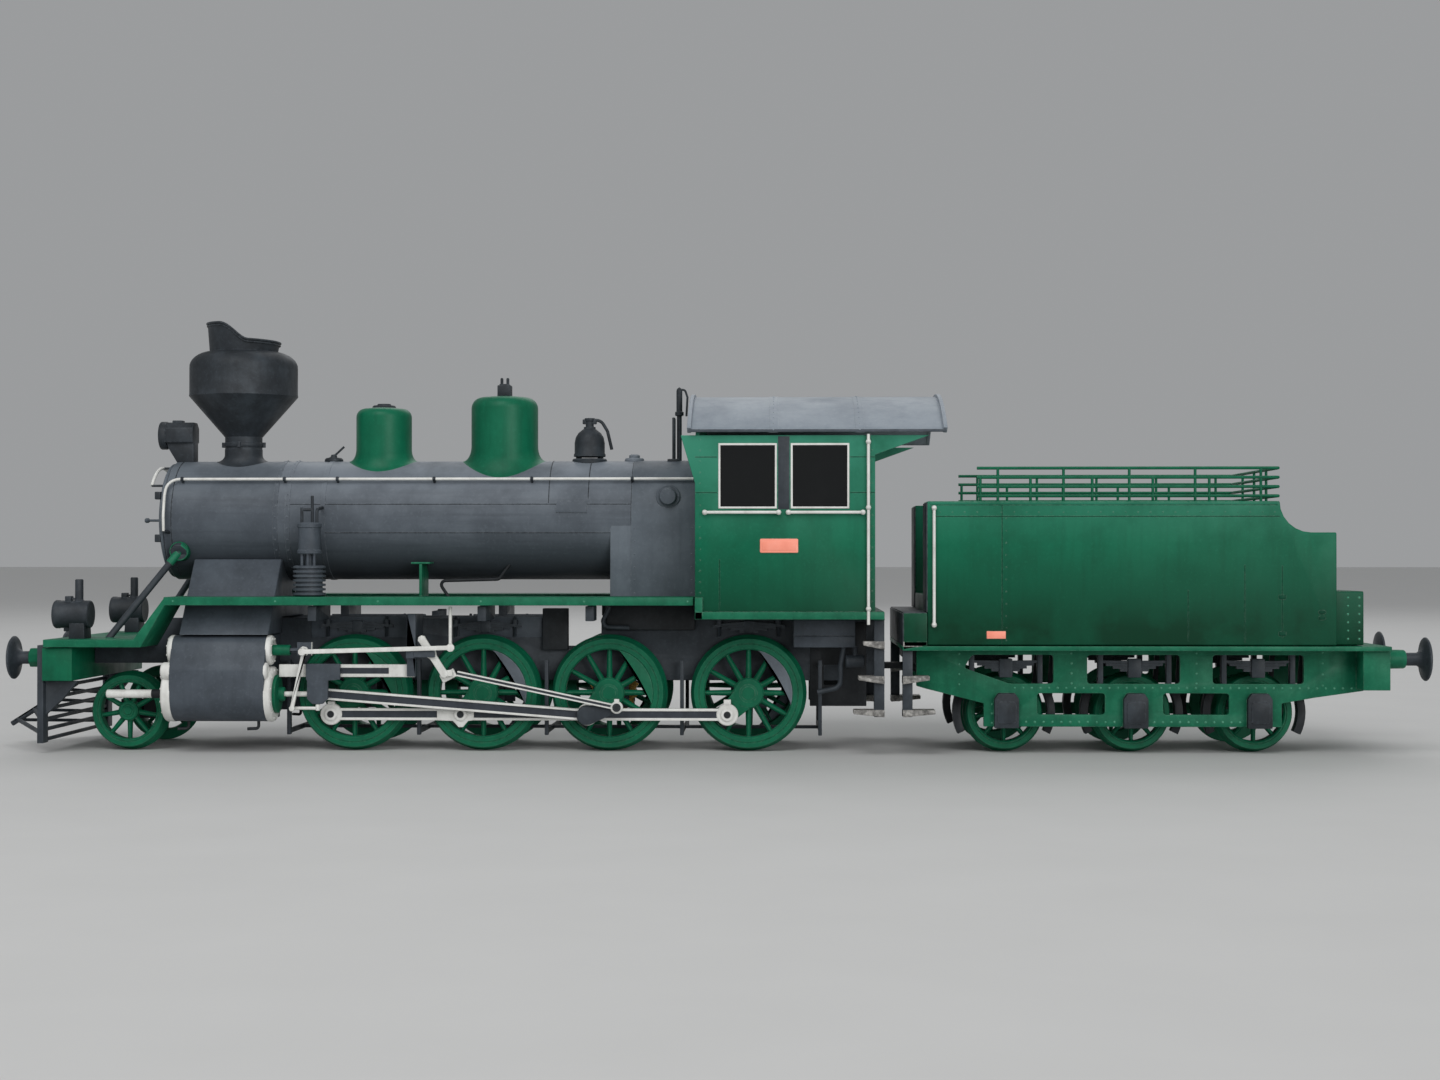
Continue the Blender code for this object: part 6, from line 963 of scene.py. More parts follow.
def domes():
    sand = saddle_flange(-122.5, 10.2, 2.6, 4.6, shoulder(10.2, 124.9, 3.2))
    cap = [(0, 124.3), (4.3, 124.3), (4.3, 125.2), (3.9, 125.6), (2.6, 125.7), (2.4, 126.2), (0, 126.3)]
    piece("sand_dome_shell", "engine", [(sand, GREEN_DOME),(lathe(cap, (-122.5, 0, 0), "Z", 40), SOOT)],
          ["sand_dome"])
    steam = saddle_flange(-77.6, 12.3, 3.2, 5.6, shoulder(12.3, 129.0, 4.2))
    parts = [(steam, GREEN_DOME),(block((-80.1, -2.5, 128.5), (-75.1, 2.5, 133.0), 0.3), SOOT),
             (block((-79.4, -1.9, 132.7), (-75.8, 1.9, 133.5), 0.2), SOOT)]
    for dx in (-1.1, 1.1):
        pin = [(0, 133), (0.55, 133), (0.55, 135.5), (0.3, 135.8), (0, 135.8)]
        parts.append((lathe(pin, (-77.6 + dx, 0, 0), "Z", 12), SOOT))
    piece("steam_dome_shell", "engine", parts, ["steam_dome"])


def hood_lip(turn):
    """The height of the hood's edge, which falls in an S from its front left to its rear right."""
    back = (1 + math.cos(turn - math.radians(22.0))) / 2
    share = min(max((back - 0.11) / 0.37, 0.0), 1.0)
    return 156.0 - 6.0 * share * share * (3 - 2 * share) - 0.8 * back


def chimney():
    """Spark-arresting chimney: saddle, stem and ring, cone, bowl and a hood cut in an S."""
    base = saddle_flange(CHIMNEY_X, 6.9, 2.9, 2.6, [(6.9, 108.4), (6.9, 109.4), (0, 109.4)])
    profile = [(0, 107), (6.7, 107), (6.8, 110.2), (7.2, 110.3), (7.4, 110.6), (7.4, 111.5), (7.2, 111.8), (6.8, 111.9),
               (6.8, 113.9), (7.1, 114.2), (19.6, 128.7), (19.85, 129.0), (19.85, 129.5), (19.75, 129.7), (19.75, 139.3)]
    profile += [(11.4 + 8.4 * math.cos(t), 139.6 + 6.0 * math.sin(t)) for t in (math.radians(a) for a in range(10, 91, 10))]
    profile += [(11.2, 145.6), (11.2, 128.9), (0, 128.9)]
    parts = [(base, SOOT), (lathe(profile, (CHIMNEY_X, 0, 0), "Z", 72), SOOT)]
    bm = bmesh.new()
    steps, rings = 96, []
    for inner in (False, True):
        levels = range(7) if not inner else range(6, -1, -1)
        for k in levels:
            ring = []
            for i in range(steps):
                t = 2 * math.pi * i / steps
                r = (11.5 if inner else 12.4) + 0.8 * (k / 6)
                z = 145.4 + (hood_lip(t) - 145.4) * k / 6
                ring.append(bm.verts.new((CHIMNEY_X + r * math.cos(t), r * math.sin(t), z)))
            rings.append(ring)
    for low, high in zip(rings, rings[1:] + rings[:1]):
        for i in range(steps):
            j = (i + 1) % steps
            bm.faces.new((low[i], low[j], high[j], high[i]))
    parts.append((smooth_merge(bm), SOOT))
    turns = [2 * math.pi * i / 72 for i in range(73)]
    for r, drop, size in ((13.3, 0.25, 0.42), (13.2, 1.15, 0.3)):
        lip = [(CHIMNEY_X + r * math.cos(t), r * math.sin(t), hood_lip(t) - drop) for t in turns]
        parts.append(pipes([lip], size, SOOT, 0.0, 8))
    for t in (math.radians(a) for a in (0, 90, 180, 270)):
        spot = (CHIMNEY_X + 7.5 * math.cos(t), 7.5 * math.sin(t), 0)
        parts.append((lathe([(0, 110.1), (0.7, 110.1), (0.7, 112.0), (0, 112.0)], spot, "Z", 8), SOOT))
    piece("chimney_stack", "engine", parts, ["chimney"])


def boiler_top():
    """Safety valve, whistle, and the electric headlight with its bracket."""
    x = -46.1
    bell = [(0, 106.4), (4.8, 106.4), (5.9, 106.6), (5.9, 107.4), (5.6, 107.8), (5.6, 111.6), (5.2, 113.6), (4.2, 115.3),
            (2.7, 116.5), (2.2, 116.9), (2.2, 117.5), (1.5, 117.7), (1.5, 119.6), (1.9, 119.9), (1.9, 120.8), (0, 121.0)]
    parts = [(lathe(bell, (x, 0, 0), "Z", 40), SOOT)]
    for dx in (-4.0, 4.0):
        foot = [(0, 102.5), (1.3, 102.5), (1.1, 104.9), (1.1, 106.7), (0, 106.7)]
        parts.append((lathe(foot, (x + dx, 0, 0), "Z", 16), SOOT))
    parts.append((lathe([(0, 103.2), (6.4, 103.2), (6.4, 105.4), (6.0, 105.8), (0, 105.8)], (x, 0, 0), "Z", 40), SOOT))
    parts.append(pipes([[(x - 1.0, 0, 120.2), (x + 4.2, 0, 120.0), (x + 6.6, 0, 116.0), (x + 8.2, 0, 109.2)]], 0.6, SOOT, 3.0))
    parts.append((block((x - 2.6, -0.9, 118.6), (x + 2.6, 0.9, 120.4), 0.3), SOOT))
    piece("safety_valve_bell", "engine", parts, ["safety_valve"])
    x = -13.5
    parts = [(block((x - 1.9, -3.3, 104.0), (x - 0.9, 3.3, 120.9), 0.25), SOOT),
             (block((x - 3.6, -4.5, 103.4), (x + 0.8, 4.5, 105.6), 0.3), SOOT)]
    tube = [(0, 105), (0.9, 105), (0.9, 121.5), (1.6, 121.8), (1.6, 123.0), (1.1, 123.3), (1.1, 130.8), (0.9, 131.6), (0, 132.3)]
    parts.append((lathe(tube, (x + 0.6, 0, 0), "Z", 20), SOOT))
    parts.append(pipes([[(x + 0.6, 0, 131.0), (x + 2.6, 0, 131.6), (x + 3.6, 0, 128.5), (x + 3.2, 0, 121.5)]], 0.4, SOOT, 1.2))
    piece("whistle_stand", "engine", parts, ["whistle"])
    z = 114.6
    ring = [(0, -205.3), (4.3, -205.3), (4.4, -205.7), (5.0, -205.7), (5.2, -205.4), (5.2, -203.5), (4.9, -203.1),
            (0, -203.1)]
    half = [(4.7, z - 2.7), (4.7, z + 2.8), (2.3, z + 4.8)]
    shell = half + [(-y, h) for y, h in half[::-1]]
    foot = [(-203.0, z - 2.2), (-192.8, z - 2.2), (-192.8, 103.8), (-198.6, 103.8), (-202.4, z - 4.6)]
    glass = [(0, -205.5), (4.1, -205.5), (3.0, -205.9), (0, -206.1)]
    parts = [(lathe(ring, (0, 0, z), "X", 48), SOOT), (prism(shell, "YZ", -203.4, -192.8, bevel=0.3), SOOT),
             (lathe(glass, (0, 0, z), "X", 40), LENS),
             (block((-201.2, -1.9, z + 4.4), (-197.4, 1.9, z + 5.6), 0.3), SOOT),
             (prism(foot, "XZ", -3.4, 3.4, bevel=0.35), SOOT)]
    for side in SIDES.values():
        panel = side_span(side, 4.5, 4.95)
        parts.append((prism(rectangle((-202.9, z - 2.4), (-193.4, z + 2.5)), "XZ", *panel, bevel=0.15), SOOT))
    piece("headlight_lantern", "engine", parts, ["headlight"])


def air_pump():
    """Steam-driven air pump on the left: steam cylinder above, finned air cylinder below, and its pipes."""
    x, y = -143.8, -30.5
    steam = [(0, 70.6), (4.1, 70.6), (4.35, 70.9), (4.35, 71.8), (4.0, 72.2), (4.0, 79.8), (4.35, 80.2), (4.35, 81.3),
             (3.9, 81.8), (0, 81.8)]
    air = [(0, 55.5), (4.9, 55.5)]
    for z in (56.0 + 1.6 * k for k in range(6)):
        air += [(5.75, z), (5.75, z + 0.75), (4.7, z + 0.85), (4.7, z + 1.5)]
    air += [(5.75, 65.6), (5.75, 66.2), (4.9, 66.5), (0, 66.5)]
    parts = [(lathe(steam, (x, y, 0), "Z", 40), SLATE_BLOCK), (lathe(air, (x, y, 0), "Z", 40), SLATE_BLOCK)]
    for dx, dy in ((-2.2, -2.2), (2.2, -2.2), (0.0, 2.6), (0.0, -2.8)):
        parts.append((lathe([(0, 66), (0.55, 66), (0.55, 70.8), (0, 70.8)], (x + dx, y + dy, 0), "Z", 12), SLATE_BLOCK))
    parts.append((lathe([(0, 66), (1.6, 66), (1.6, 70.8), (0, 70.8)], (x, y, 0), "Z", 20), SLATE_BLOCK))
    parts.append(bolt_ring((x, y, 81.3), 3.4, 8, "Z", SLATE_BLOCK, 0.4, 0.35))
    lines = [[(x - 2.6, y - 0.6, 81.0), (x - 2.6, y - 0.6, 87.2)],
             [(x + 2.8, y - 0.6, 81.0), (x + 2.8, y - 0.6, 86.6), (x + 2.8, -20.4, 87.4)],
             [(x + 1.0, y, 81.0), (x + 1.0, y, 91.4)], [(x - 2.6, y - 0.6, 86.4), (x + 1.0, y, 86.4)],
             [(x - 4.0, y + 3, 58.0), (x - 7.0, y + 5, 58.0), (x - 7.0, y + 7, 56.0)]]
    parts.append(pipes(lines, 0.55, SOOT, 1.6))
    parts.append((block((x - 2.2, -30.0, 72.0), (x + 2.2, -17.4, 76.5), 0.4), SLATE_BLOCK))
    piece("brake_air_pump", "engine", parts, ["air_pump"])


def handrails():
    """Boiler rails on pillars, one for each side."""
    posts = (-192.9, -155.5, -136.2, -101.0, -65.5, -29.1)
    for name, side in SIDES.items():
        z = 97.8
        y = side * (math.sqrt(BOILER_R**2 - (z - BOILER_Z) ** 2) + 2.3)
        path = [(-7.0, y, z), (RAIL_FRONT_X, y, z), (RAIL_FRONT_X, side * 22.6, 91.5),
                (RAIL_FRONT_X, side * 24.0, 84.5), (RAIL_FRONT_X, side * 23.6, 78.9)]
        parts = [pipes([path], 0.52, WHITE, 4.6)]
        for x in posts:
            spot, inward = Vector((x, y, z)), Vector((0, -side * 3.2, -2.6))
            parts.append(pipes([[spot + inward * 1.35, spot - inward * 0.2]], 0.5, SOOT, 0.0, 10))
            knob = [(0, x - 0.7), (0.8, x - 0.5), (0.8, x + 0.5), (0, x + 0.7)]
            parts.append((lathe(knob, (0, y, z), "X", 16), SOOT))
        end = [(RAIL_FRONT_X, side * 23.6, 78.9), (RAIL_FRONT_X + 1.6, side * 20.6, 78.4)]
        parts.append(pipes([end], 0.65, SOOT, 0.0, 12))
        piece(f"boiler_rail_{name}", "engine", parts, [f"handrail_{name}"])


def front_lamps():
    for name, side in SIDES.items():
        y, z = side * 33.6, 49.1
        body = [(0, -221.4), (4.6, -221.4), (4.9, -221.7), (4.9, -232.3), (5.05, -232.6), (5.05, -233.8), (4.8, -234.2),
                (4.4, -234.2), (4.2, -233.8), (0, -233.8)]
        glass = [(0, -233.7), (4.1, -233.7), (2.6, -234.0), (0, -234.1)]
        flue = [(0, 53.0), (1.8, 53.0), (1.8, 54.0), (1.45, 54.4), (1.45, 61.2), (1.2, 61.6), (0.8, 61.6), (0.8, 60.0),
                (0, 60.0)]
        foot = [(-228.4, 40.45), (-222.6, 40.45), (-222.9, 46.0), (-228.1, 46.0)]
        parts = [(lathe(body, (0, y, z), "X", 48), SOOT), (lathe(glass, (0, y, z), "X", 40), LENS),
                 (prism(foot, "XZ", *side_span(side, 29.4, 37.4), bevel=0.25), SOOT),
                 (lathe(flue, (-225.7, y, 0), "Z", 20), SOOT),
                 (block((-230.4, y - 1.7, 53.2), (-228.2, y + 1.7, 55.6), 0.3), SOOT),
                 (block((-231.0, y - 1.2, 43.0), (-228.0, y + 1.2, 45.2), 0.25), SOOT)]
        parts.append(pipes([[(-228.4, y, 53.2), (-227.8, y, 56.6), (-226.8, y, 53.4)]], 0.35, SOOT, 0.6, 8))
        piece(f"front_lamp_body_{name}", "engine", parts, [f"front_lamp_{name}"])


def front_end():
    """Running boards, buffer beam, braces and the slatted cowcatcher."""
    boards = refined("running_board", 0.25)
    stays = split(boards, lambda c: c.z > 41.5 and c.x < -193.0 and abs(c.y) < 32 and c.z > 41.5)
    parts = [(boards, GREEN_FRAME), (stays, SPRING_GREY)]
    rows = []
    for side in SIDES.values():
        rows += [([(-189.0, side * 45.0, 54.0), (-8.0, side * 45.0, 54.0)], Vector((0, side, 0)))]
    parts.append(rivets(rows, GREEN_RIVET_HIGHLIGHT, 31.5, 0.3, 0.2))
    # The boiler's stay on the left board, with a dark rod behind it.
    web = [(-25.4, 55.2), (-25.4, 67.4), (-15.0, 67.4), (-10.0, 64.2), (-10.0, 55.2)]
    parts.append((prism(web, "YZ", -105.3, -104.3, bevel=0.2), GREEN_FRAME))
    parts.append((block((-108.2, -25.6, 67.0), (-101.4, -16.0, 67.7), 0.2), GREEN_FRAME))
    rod = [(-74.0, -14, 66.8), (-78.0, -14, 61.4), (-100.2, -14, 60.8), (-96.4, -14, 55.0)]
    parts.append(pipes([rod], 0.6, IRON, 1.5, 10))
    for side in SIDES.values():
        # The green ring and sleeve at the brace's upper end.
        top =Vector((BRACE_TOP[0], side * BRACE_TOP[1], BRACE_TOP[2]))
        foot = Vector((BRACE_FOOT[0], side * BRACE_FOOT[1], BRACE_FOOT[2]))
        parts.append(pipes([[top.lerp(foot, 0.02), top.lerp(foot, 0.14)]], 1.5, GREEN_FRAME, 0.0, 16))
        ring = [(3.0, 15.5), (3.5, 15.5), (3.5, 21.2), (3.35, 21.4), (3.15, 21.4), (3.0, 21.2), (3.0, 15.5)]
        parts.append((lathe([(r, side * a) for r, a in ring], (top.x, 0, top.z), "Y", 32), GREEN_WHEEL))
        boss = [(0, 15.5), (3.05, 15.5), (3.05, 21.0), (0, 21.0)]
        parts.append((lathe([(r, side * a) for r, a in boss], (top.x, 0, top.z), "Y", 32), SPRING_GREY))
    piece("running_board_plates", "engine", parts, ["running_board"])
    beam = refined("front_beam", 0.3)
    parts = [(beam, GREEN_WHEEL)]
    rows = [([(BEAM_X, side * 39.0, z), (BEAM_X, side * 4.0, z)], Vector((-1, 0, 0)))
            for side in SIDES.values() for z in (27.6, 35.8)]
    parts.append(rivets(rows, GREEN_RIVET_HIGHLIGHT, 5.0, 0.5, 0.35))
    piece("buffer_beam", "engine", parts, ["front_beam"])
    piece("cowcatcher_grille", "engine", [(refined("cowcatcher", 0.15), SPRING_GREY)], ["cowcatcher"])
    piece("smokebox_cradle", "engine", [(refined("smokebox_saddle", 0.4), SLATE_BLOCK)], ["smokebox_saddle"])


def buffers():
    for end, body_of, face in (("front", -1, -251.2), ("rear", 1, 252.6)):
        for name, side in SIDES.items():
            profile = [(0, 0), (5.2, 0.05), (7.2, 0.3), (7.7, 0.7), (7.7, 1.1), (7.3, 1.5), (5.6, 1.8), (3.4, 2.5), (2.3, 4.0),
                       (2.3, 15.0), (0, 15.0)]
            shape = lathe([(r, face - body_of * a) for r, a in profile], (0, side * 30.0, 33.5), "X", 48)
            piece(f"buffer_head_{end}_{name}", f"buffer_{end}_{name}", [(shape, SPRING_GREY)], [f"buffer_{end}_{name}"])


def underframe():
    """Main frames with their axle springs, ash pan and boxes, the brake gear, the leading truck and the drawbar."""
    plates = refined("main_frame", 0.2, notch=((-61.3, -30.0, 36.0), (-40.3, 30.0, 60.0)))
    parts = [(plates, SPRING_GREY), (block((-38.6, -20.4, 43.0), (-6.2, 20.4, 52.3), 0.6), IRON)]
    for side in SIDES.values():
        y = side * 19.1
        for x in DRIVER_XS[:2] + DRIVER_XS[3:]:
            spring, finish = grown(LEAVES, bpy.data.meshes.new("axle"), SPRING_GREY,
                                   {"Half length": 13.0, "Leaf width": 2.3, "Camber": -1.2, "Leaves": 4,
                                    "Leaf thickness": 0.95})
            spring.transform(Matrix.Translation((x, y, 45.6)))
            parts.append((spring, finish))
            parts.append((block((x - 1.8, y - 1.25, 42.2), (x + 1.8, y + 1.25, 46.6), 0.3), SPRING_GREY))
            for dx in (-10.7, 10.7):
                nut = [(0, 40.8), (0.55, 40.8), (0.55, 45.0), (1.15, 45.1), (1.15, 46.9), (0.55, 47.0), (0.5, 48.0), (0, 48.1)]
                parts.append((lathe(nut, (x + dx, y, 0), "Z", 10), SPRING_GREY))
        # Grey plates over the first axles, the feed box ahead of the firebox, the deep plate under the cab
        # and the panels beside it, and a pipe with its small cylinder.
        low, high = side_span(side, 17.6, 18.4)
        for front, rear in ((-145.6, -109.8), (-91.8, -61.6)):
            parts.append((block((front, low, 40.4), (rear, high, 47.9), 0.2), SLATE_BLOCK))
        if side < 0:
            parts.append((block((-61.4, -20.2, 36.0), (-52.2, -16.2, 51.0), 0.3), IRON))
        blower = [(-37.1, side * 21.2, 51.5), (-39.6, side * 21.2, 46.4), (-38.6, side * 21.2, 44.3), (-30.0, side * 21.2, 44.0)]
        parts.append(pipes([blower], 0.8, SPRING_GREY, 1.6))
        hole = rounded(rectangle((40.0, 23.4), (45.6, 30.6)), 0.8)
        deep = rectangle((35.0, 15.8), (55.4, 46.0))
        parts.append((prism(deep, "XZ", *side_span(side, 15.8, 18.2), [hole], bevel=0.2), IRON))
        low, high = side_span(side, 29.4, 30.3)
        for bottom, top in ((37.4, 41.3), (41.7, 47.2)):
            parts.append((block((29.2, low, bottom), (51.0, high, top), 0.25), SLATE_BLOCK))
        drum = [(0, 47.5), (1.9, 47.5), (2.3, 47.9), (2.3, 53.9), (1.9, 54.3), (0, 54.3)]
        parts.append((lathe(drum, (0, side * 28.0, 32.4), "X", 24), SPRING_GREY))
        feed = [(47.0, side * 28.0, 37.6), (45.8, side * 28.5, 31.3), (45.7, side * 28.5, 23.1), (37.6, side * 28.5, 21.4)]
        parts.append(pipes([feed, [(51.0, side * 28.0, 34.0), (51.0, side * 28.0, 37.8)]], 0.9, SPRING_GREY, 3.0))
    piece("engine_frames", "engine", parts, ["main_frame"])
    piece("brake_rigging", "engine", [(refined("brake_gear", 0.15), SPRING_GREY)], ["brake_gear"])
    piece("leading_truck", "pony_truck", [(refined("pony_truck", 0.2), IRON)], ["pony_truck"])
    piece("engine_drawbar", "drawbar", [(refined("drawbar", 0.25), IRON)], ["drawbar"])


def window_trim(x, side):
    """The pale bead round one cab window."""
    outer = rectangle((x - 0.1, WINDOW_Z - 0.1), (x + WINDOW_WIDTH + 0.1, WINDOW_Z + WINDOW_HEIGHT + 0.1))
    inner = rectangle((x + 0.6, WINDOW_Z + 0.6), (x + WINDOW_WIDTH - 0.6, WINDOW_Z + WINDOW_HEIGHT - 0.6))
    return prism(outer, "XZ", *side_span(side, CAB_HALF - 1.2, CAB_HALF + 0.35), [inner], bevel=0.15), WHITE


def grab_rail(points, side, finish=WHITE, radius=0.55, foot=1.2):
    """A straight rail held off the sheet on small round feet at both ends."""
    a, b = [Vector(p) for p in points]
    out = Vector((0, side, 0))
    parts = [pipes([[a + out * foot, b + out * foot]], radius, finish, 0.0)]
    for p in (a, b):
        parts.append((lathe(RAIL_BALL, tuple(p + out * foot), "Z", 16), finish))
        parts.append(pipes([[p - out * 0.3, p + out * foot]], radius * 0.8, finish, 0.0, 10))
    return parts


def cab():
    """Cab sheets with beaded windows, laps, rails, blank plates, the valance under them and the steps."""
    shell = refined("cab", 0.25)
    split(shell, lambda c: c.z < 46.0).free()
    parts = [(shell, GREEN)]
    rows, seams = [], []
    for side in SIDES.values():
        y = side * CAB_HALF
        for x in WINDOW_XS:
            parts.append(window_trim(x, side))
        low, high = side_span(side, CAB_HALF - 0.3, CAB_HALF + 0.2)
        parts.append((block((23.6, low, 86.2), (27.6, high, 111.6), 0.1), SPRING_GREY))
        for a, b in ((-1.9, 23.8), (27.2, 53.1)):
            parts += grab_rail([(a, y, 85.1), (b, y, 85.1)], side)
        rail = y + side * 1.2
        parts.append(pipes([[(55.0, rail, 46.0), (55.0, rail, 112.3)]], 0.55, WHITE, 0.0))
        for z in (109.6, 86.7, 51.5):
            parts.append((lathe(RAIL_BALL, (55.0, rail, z), "Z", 16), WHITE))
            parts.append(pipes([[(55.0, y - side * 0.3, z), (55.0, rail, z)]], 0.55, WHITE, 0.0, 10))
        plate = rounded(rectangle((17.3, 71.0), (30.6, 75.9)), 0.5)
        parts.append((prism(plate, "XZ", *side_span(side, CAB_HALF - 0.2, CAB_HALF + 0.4), bevel=0.15), PLATE_RED))
        field = rectangle((18.1, 71.8), (29.8, 75.1))
        parts.append((prism(field, "XZ", *side_span(side, CAB_HALF + 0.1, CAB_HALF + 0.5), bevel=0.1), PLATE_RED))
        way = Vector((0, side, 0))
        rows += [([(-3.6, y, 57.0), (-3.6, y, 110.5)], way), ([(56.3, y, 54.0), (56.3, y, 110.5)], way)]
        low, high = side_span(side, CAB_HALF - 0.4, CAB_HALF + 0.9)
        parts.append((block((-5.4, low, 47.8), (60.6, high, 50.4), 0.2), GREEN_FRAME))
        parts.append((block((-5.4, low, 47.8), (-2.7, high, 55.4), 0.2), GREEN_FRAME))
        y += side * 0.04
        for z in (104.4, 92.0):
            seams += [[(-5.3, y, z), (2.3, y, z)], [(48.7, y, z), (57.3, y, z)]]
        seams += [[(3.2, y, 51.0), (3.2, y, 68.7)]]
        parts += ladder((57.1, 60.7), 48.0, (53.3, 51.6, 49.9), side)
    parts.append(pipes(seams, 0.12, GREEN_SEAM, 0.0, 6))
    parts.append(rivets(rows, GREEN, 3.6, 0.28, 0.16))
    piece("cab_shell", "engine", parts, ["cab"])


def roof_arc(radius, half, steps=36):
    reach = math.degrees(math.asin(half / radius))
    return circle((0, ROOF_CENTRE_Z), radius, steps, 90 - reach, 2 * reach)


def cab_roof():
    """Curved roof sheet with beaded ends, gutters and riveted laps."""
    outer, inner = roof_arc(ROOF_R, 48.0), roof_arc(ROOF_R - 2.0, 45.2)
    parts = [(prism(outer + inner[::-1], "YZ", -8.0, 82.3, bevel=0.25), ROOF_GREY)]
    ways = [Vector((0, y, z - ROOF_CENTRE_Z)).normalized() for y, z in outer]
    for x in (-7.4, 81.7):
        lip = roof_arc(ROOF_R + 1.0, 48.5) + roof_arc(ROOF_R - 2.2, 45.2)[::-1]
        parts.append((prism(lip, "YZ", x - 0.7, x + 0.7, bevel=0.2), ROOF_GREY))
    for x in (22.0, 52.0):
        lap = roof_arc(ROOF_R + 0.15, 47.9) + roof_arc(ROOF_R - 1.0, 47.4)[::-1]
        parts.append((prism(lap, "YZ", x - 1.6, x + 1.6, bevel=0.1), ROOF_GREY))
        line = [(x, y * 1.002, ROOF_CENTRE_Z + (z - ROOF_CENTRE_Z) * 1.002) for y, z in outer]
        parts.append(rivets([(line, ways)], ROOF_GREY, 4.5, 0.3, 0.2))
    for side in SIDES.values():
        parts.append((block((-7.8, side * 47.5 - 0.5, 113.0), (82.1, side * 47.5 + 0.5, 114.0), 0.2), SLATE_BLOCK))
    piece("cab_roof_sheet", "engine", parts, ["cab_roof"])


def tender_body():
    """Tank with its bunker, rails for the fuel and tool box."""
    tank = refined("tender_tank", 0.5, 3)
    parts = [(tank, GREEN)]
    rows, box_rows, seams = [], [], []
    for side in SIDES.values():
        y = side * TANK_HALF
        parts += grab_rail([(77.9, y, 45.9), (77.9, y, 86.6)], side)
        plate = prism(rectangle((96.2, 41.1), (102.8, 43.7)), "XZ", *side_span(side, TANK_HALF - 0.2, TANK_HALF + 0.4),
                      bevel=0.12)
        parts.append((plate, PLATE_RED))
        # Dark plates over the outer part of the tank's front on each side: painted shade on the front face.
        low, high = side_span(side, 25.2, TANK_HALF - 0.3)
        parts.append((block((75.3, low, 50.4), (75.8, high, 88.5), 0.1), SPRING_GREY))
        way = Vector((0, side, 0))
        rows += [([(80.0, y, 85.2), (196.0, y, 85.2)], way), ([(103.0, y, 40.5), (103.0, y, 83.0)], way)]
        low, high = side_span(side, TANK_HALF - 0.3, TANK_HALF + 0.3)
        parts.append((block((76.4, low, 87.7), (197.0, high, 88.7), 0.15), GREEN))
        for z in (55.6, 42.9):
            parts.append((block((197.3, low, z - 0.7), (199.7, high, z + 0.7), 0.2), GREEN_SEAM))
        for z in (50.4, 48.4):
            oval = hull(circle((211.6, z), 0.6, 12), circle((212.8, z), 0.6, 12))
            parts.append((prism(oval, "XZ", low, high, bevel=0.1), GREEN_SEAM))
        y += side * 0.04
        seams += [[(a, y, b), (c, y, d)] for a, b, c, d in TANK_SEAMS]
        box_rows += [([(x, side * 40.0, 41.0), (x, side * 40.0, 55.4)], way) for x in (222.1, 226.0)]
    parts.append(pipes(seams, 0.12, GREEN_SEAM, 0.0, 6))
    parts.append(rivets(rows, GREEN, 4.2, 0.24, 0.12))
    parts.append(rivets(box_rows, GREEN_RIVET_HIGHLIGHT, 2.6, 0.35, 0.25))
    piece("tender_tank_shell", "tender", parts, ["tender_tank"])
    levels = [90.9 + 3.25 * i for i in range(4)]
    rails = [[(93.2, -40, z), (198.2, -40, z), (198.2, 40, z), (93.2, 40, z)] for z in levels]
    posts = [[(x, side * 40, TANK_TOP - 0.3), (x, side * 40, levels[top])] for side in SIDES.values()
             for xs, top in (((94.4, 111.9, 133.4, 154.5, 174.1), 2), ((100.5, 123.4, 146.3, 169.2, 192.0), 3))
             for x in xs]
    posts += [[(198.2, y, TANK_TOP - 0.3), (198.2, y, levels[3])] for y in (-20.0, 0.0, 20.0)]
    parts = [pipes(rails, 0.55, GREEN_WHEEL, 0.9), pipes(posts, 0.5, GREEN_WHEEL, 0.0, 10)]
    piece("fuel_rails", "tender", parts, ["coal_rails"])


def ladder(post, top, tips, side):
    """A dark step post with three mottled treads, each reaching to a tip of its own."""
    low, high = side_span(side, 39.4, 43.4)
    parts = [(block((post[0], low, STEP_ZS[-1][0]), (post[1], high, top), 0.2), SPRING_GREY)]
    low, high = side_span(side, 37.0, 45.0)
    root = post[1] if tips[0] < post[0] else post[0]
    for tip, (bottom, tread) in zip(tips, STEP_ZS):
        outline = [(root, bottom), (tip, tread - 1.4), (tip, tread), (root, tread)]
        parts.append((prism(outline, "XZ", low, high, bevel=0.2), TREAD))
    return parts


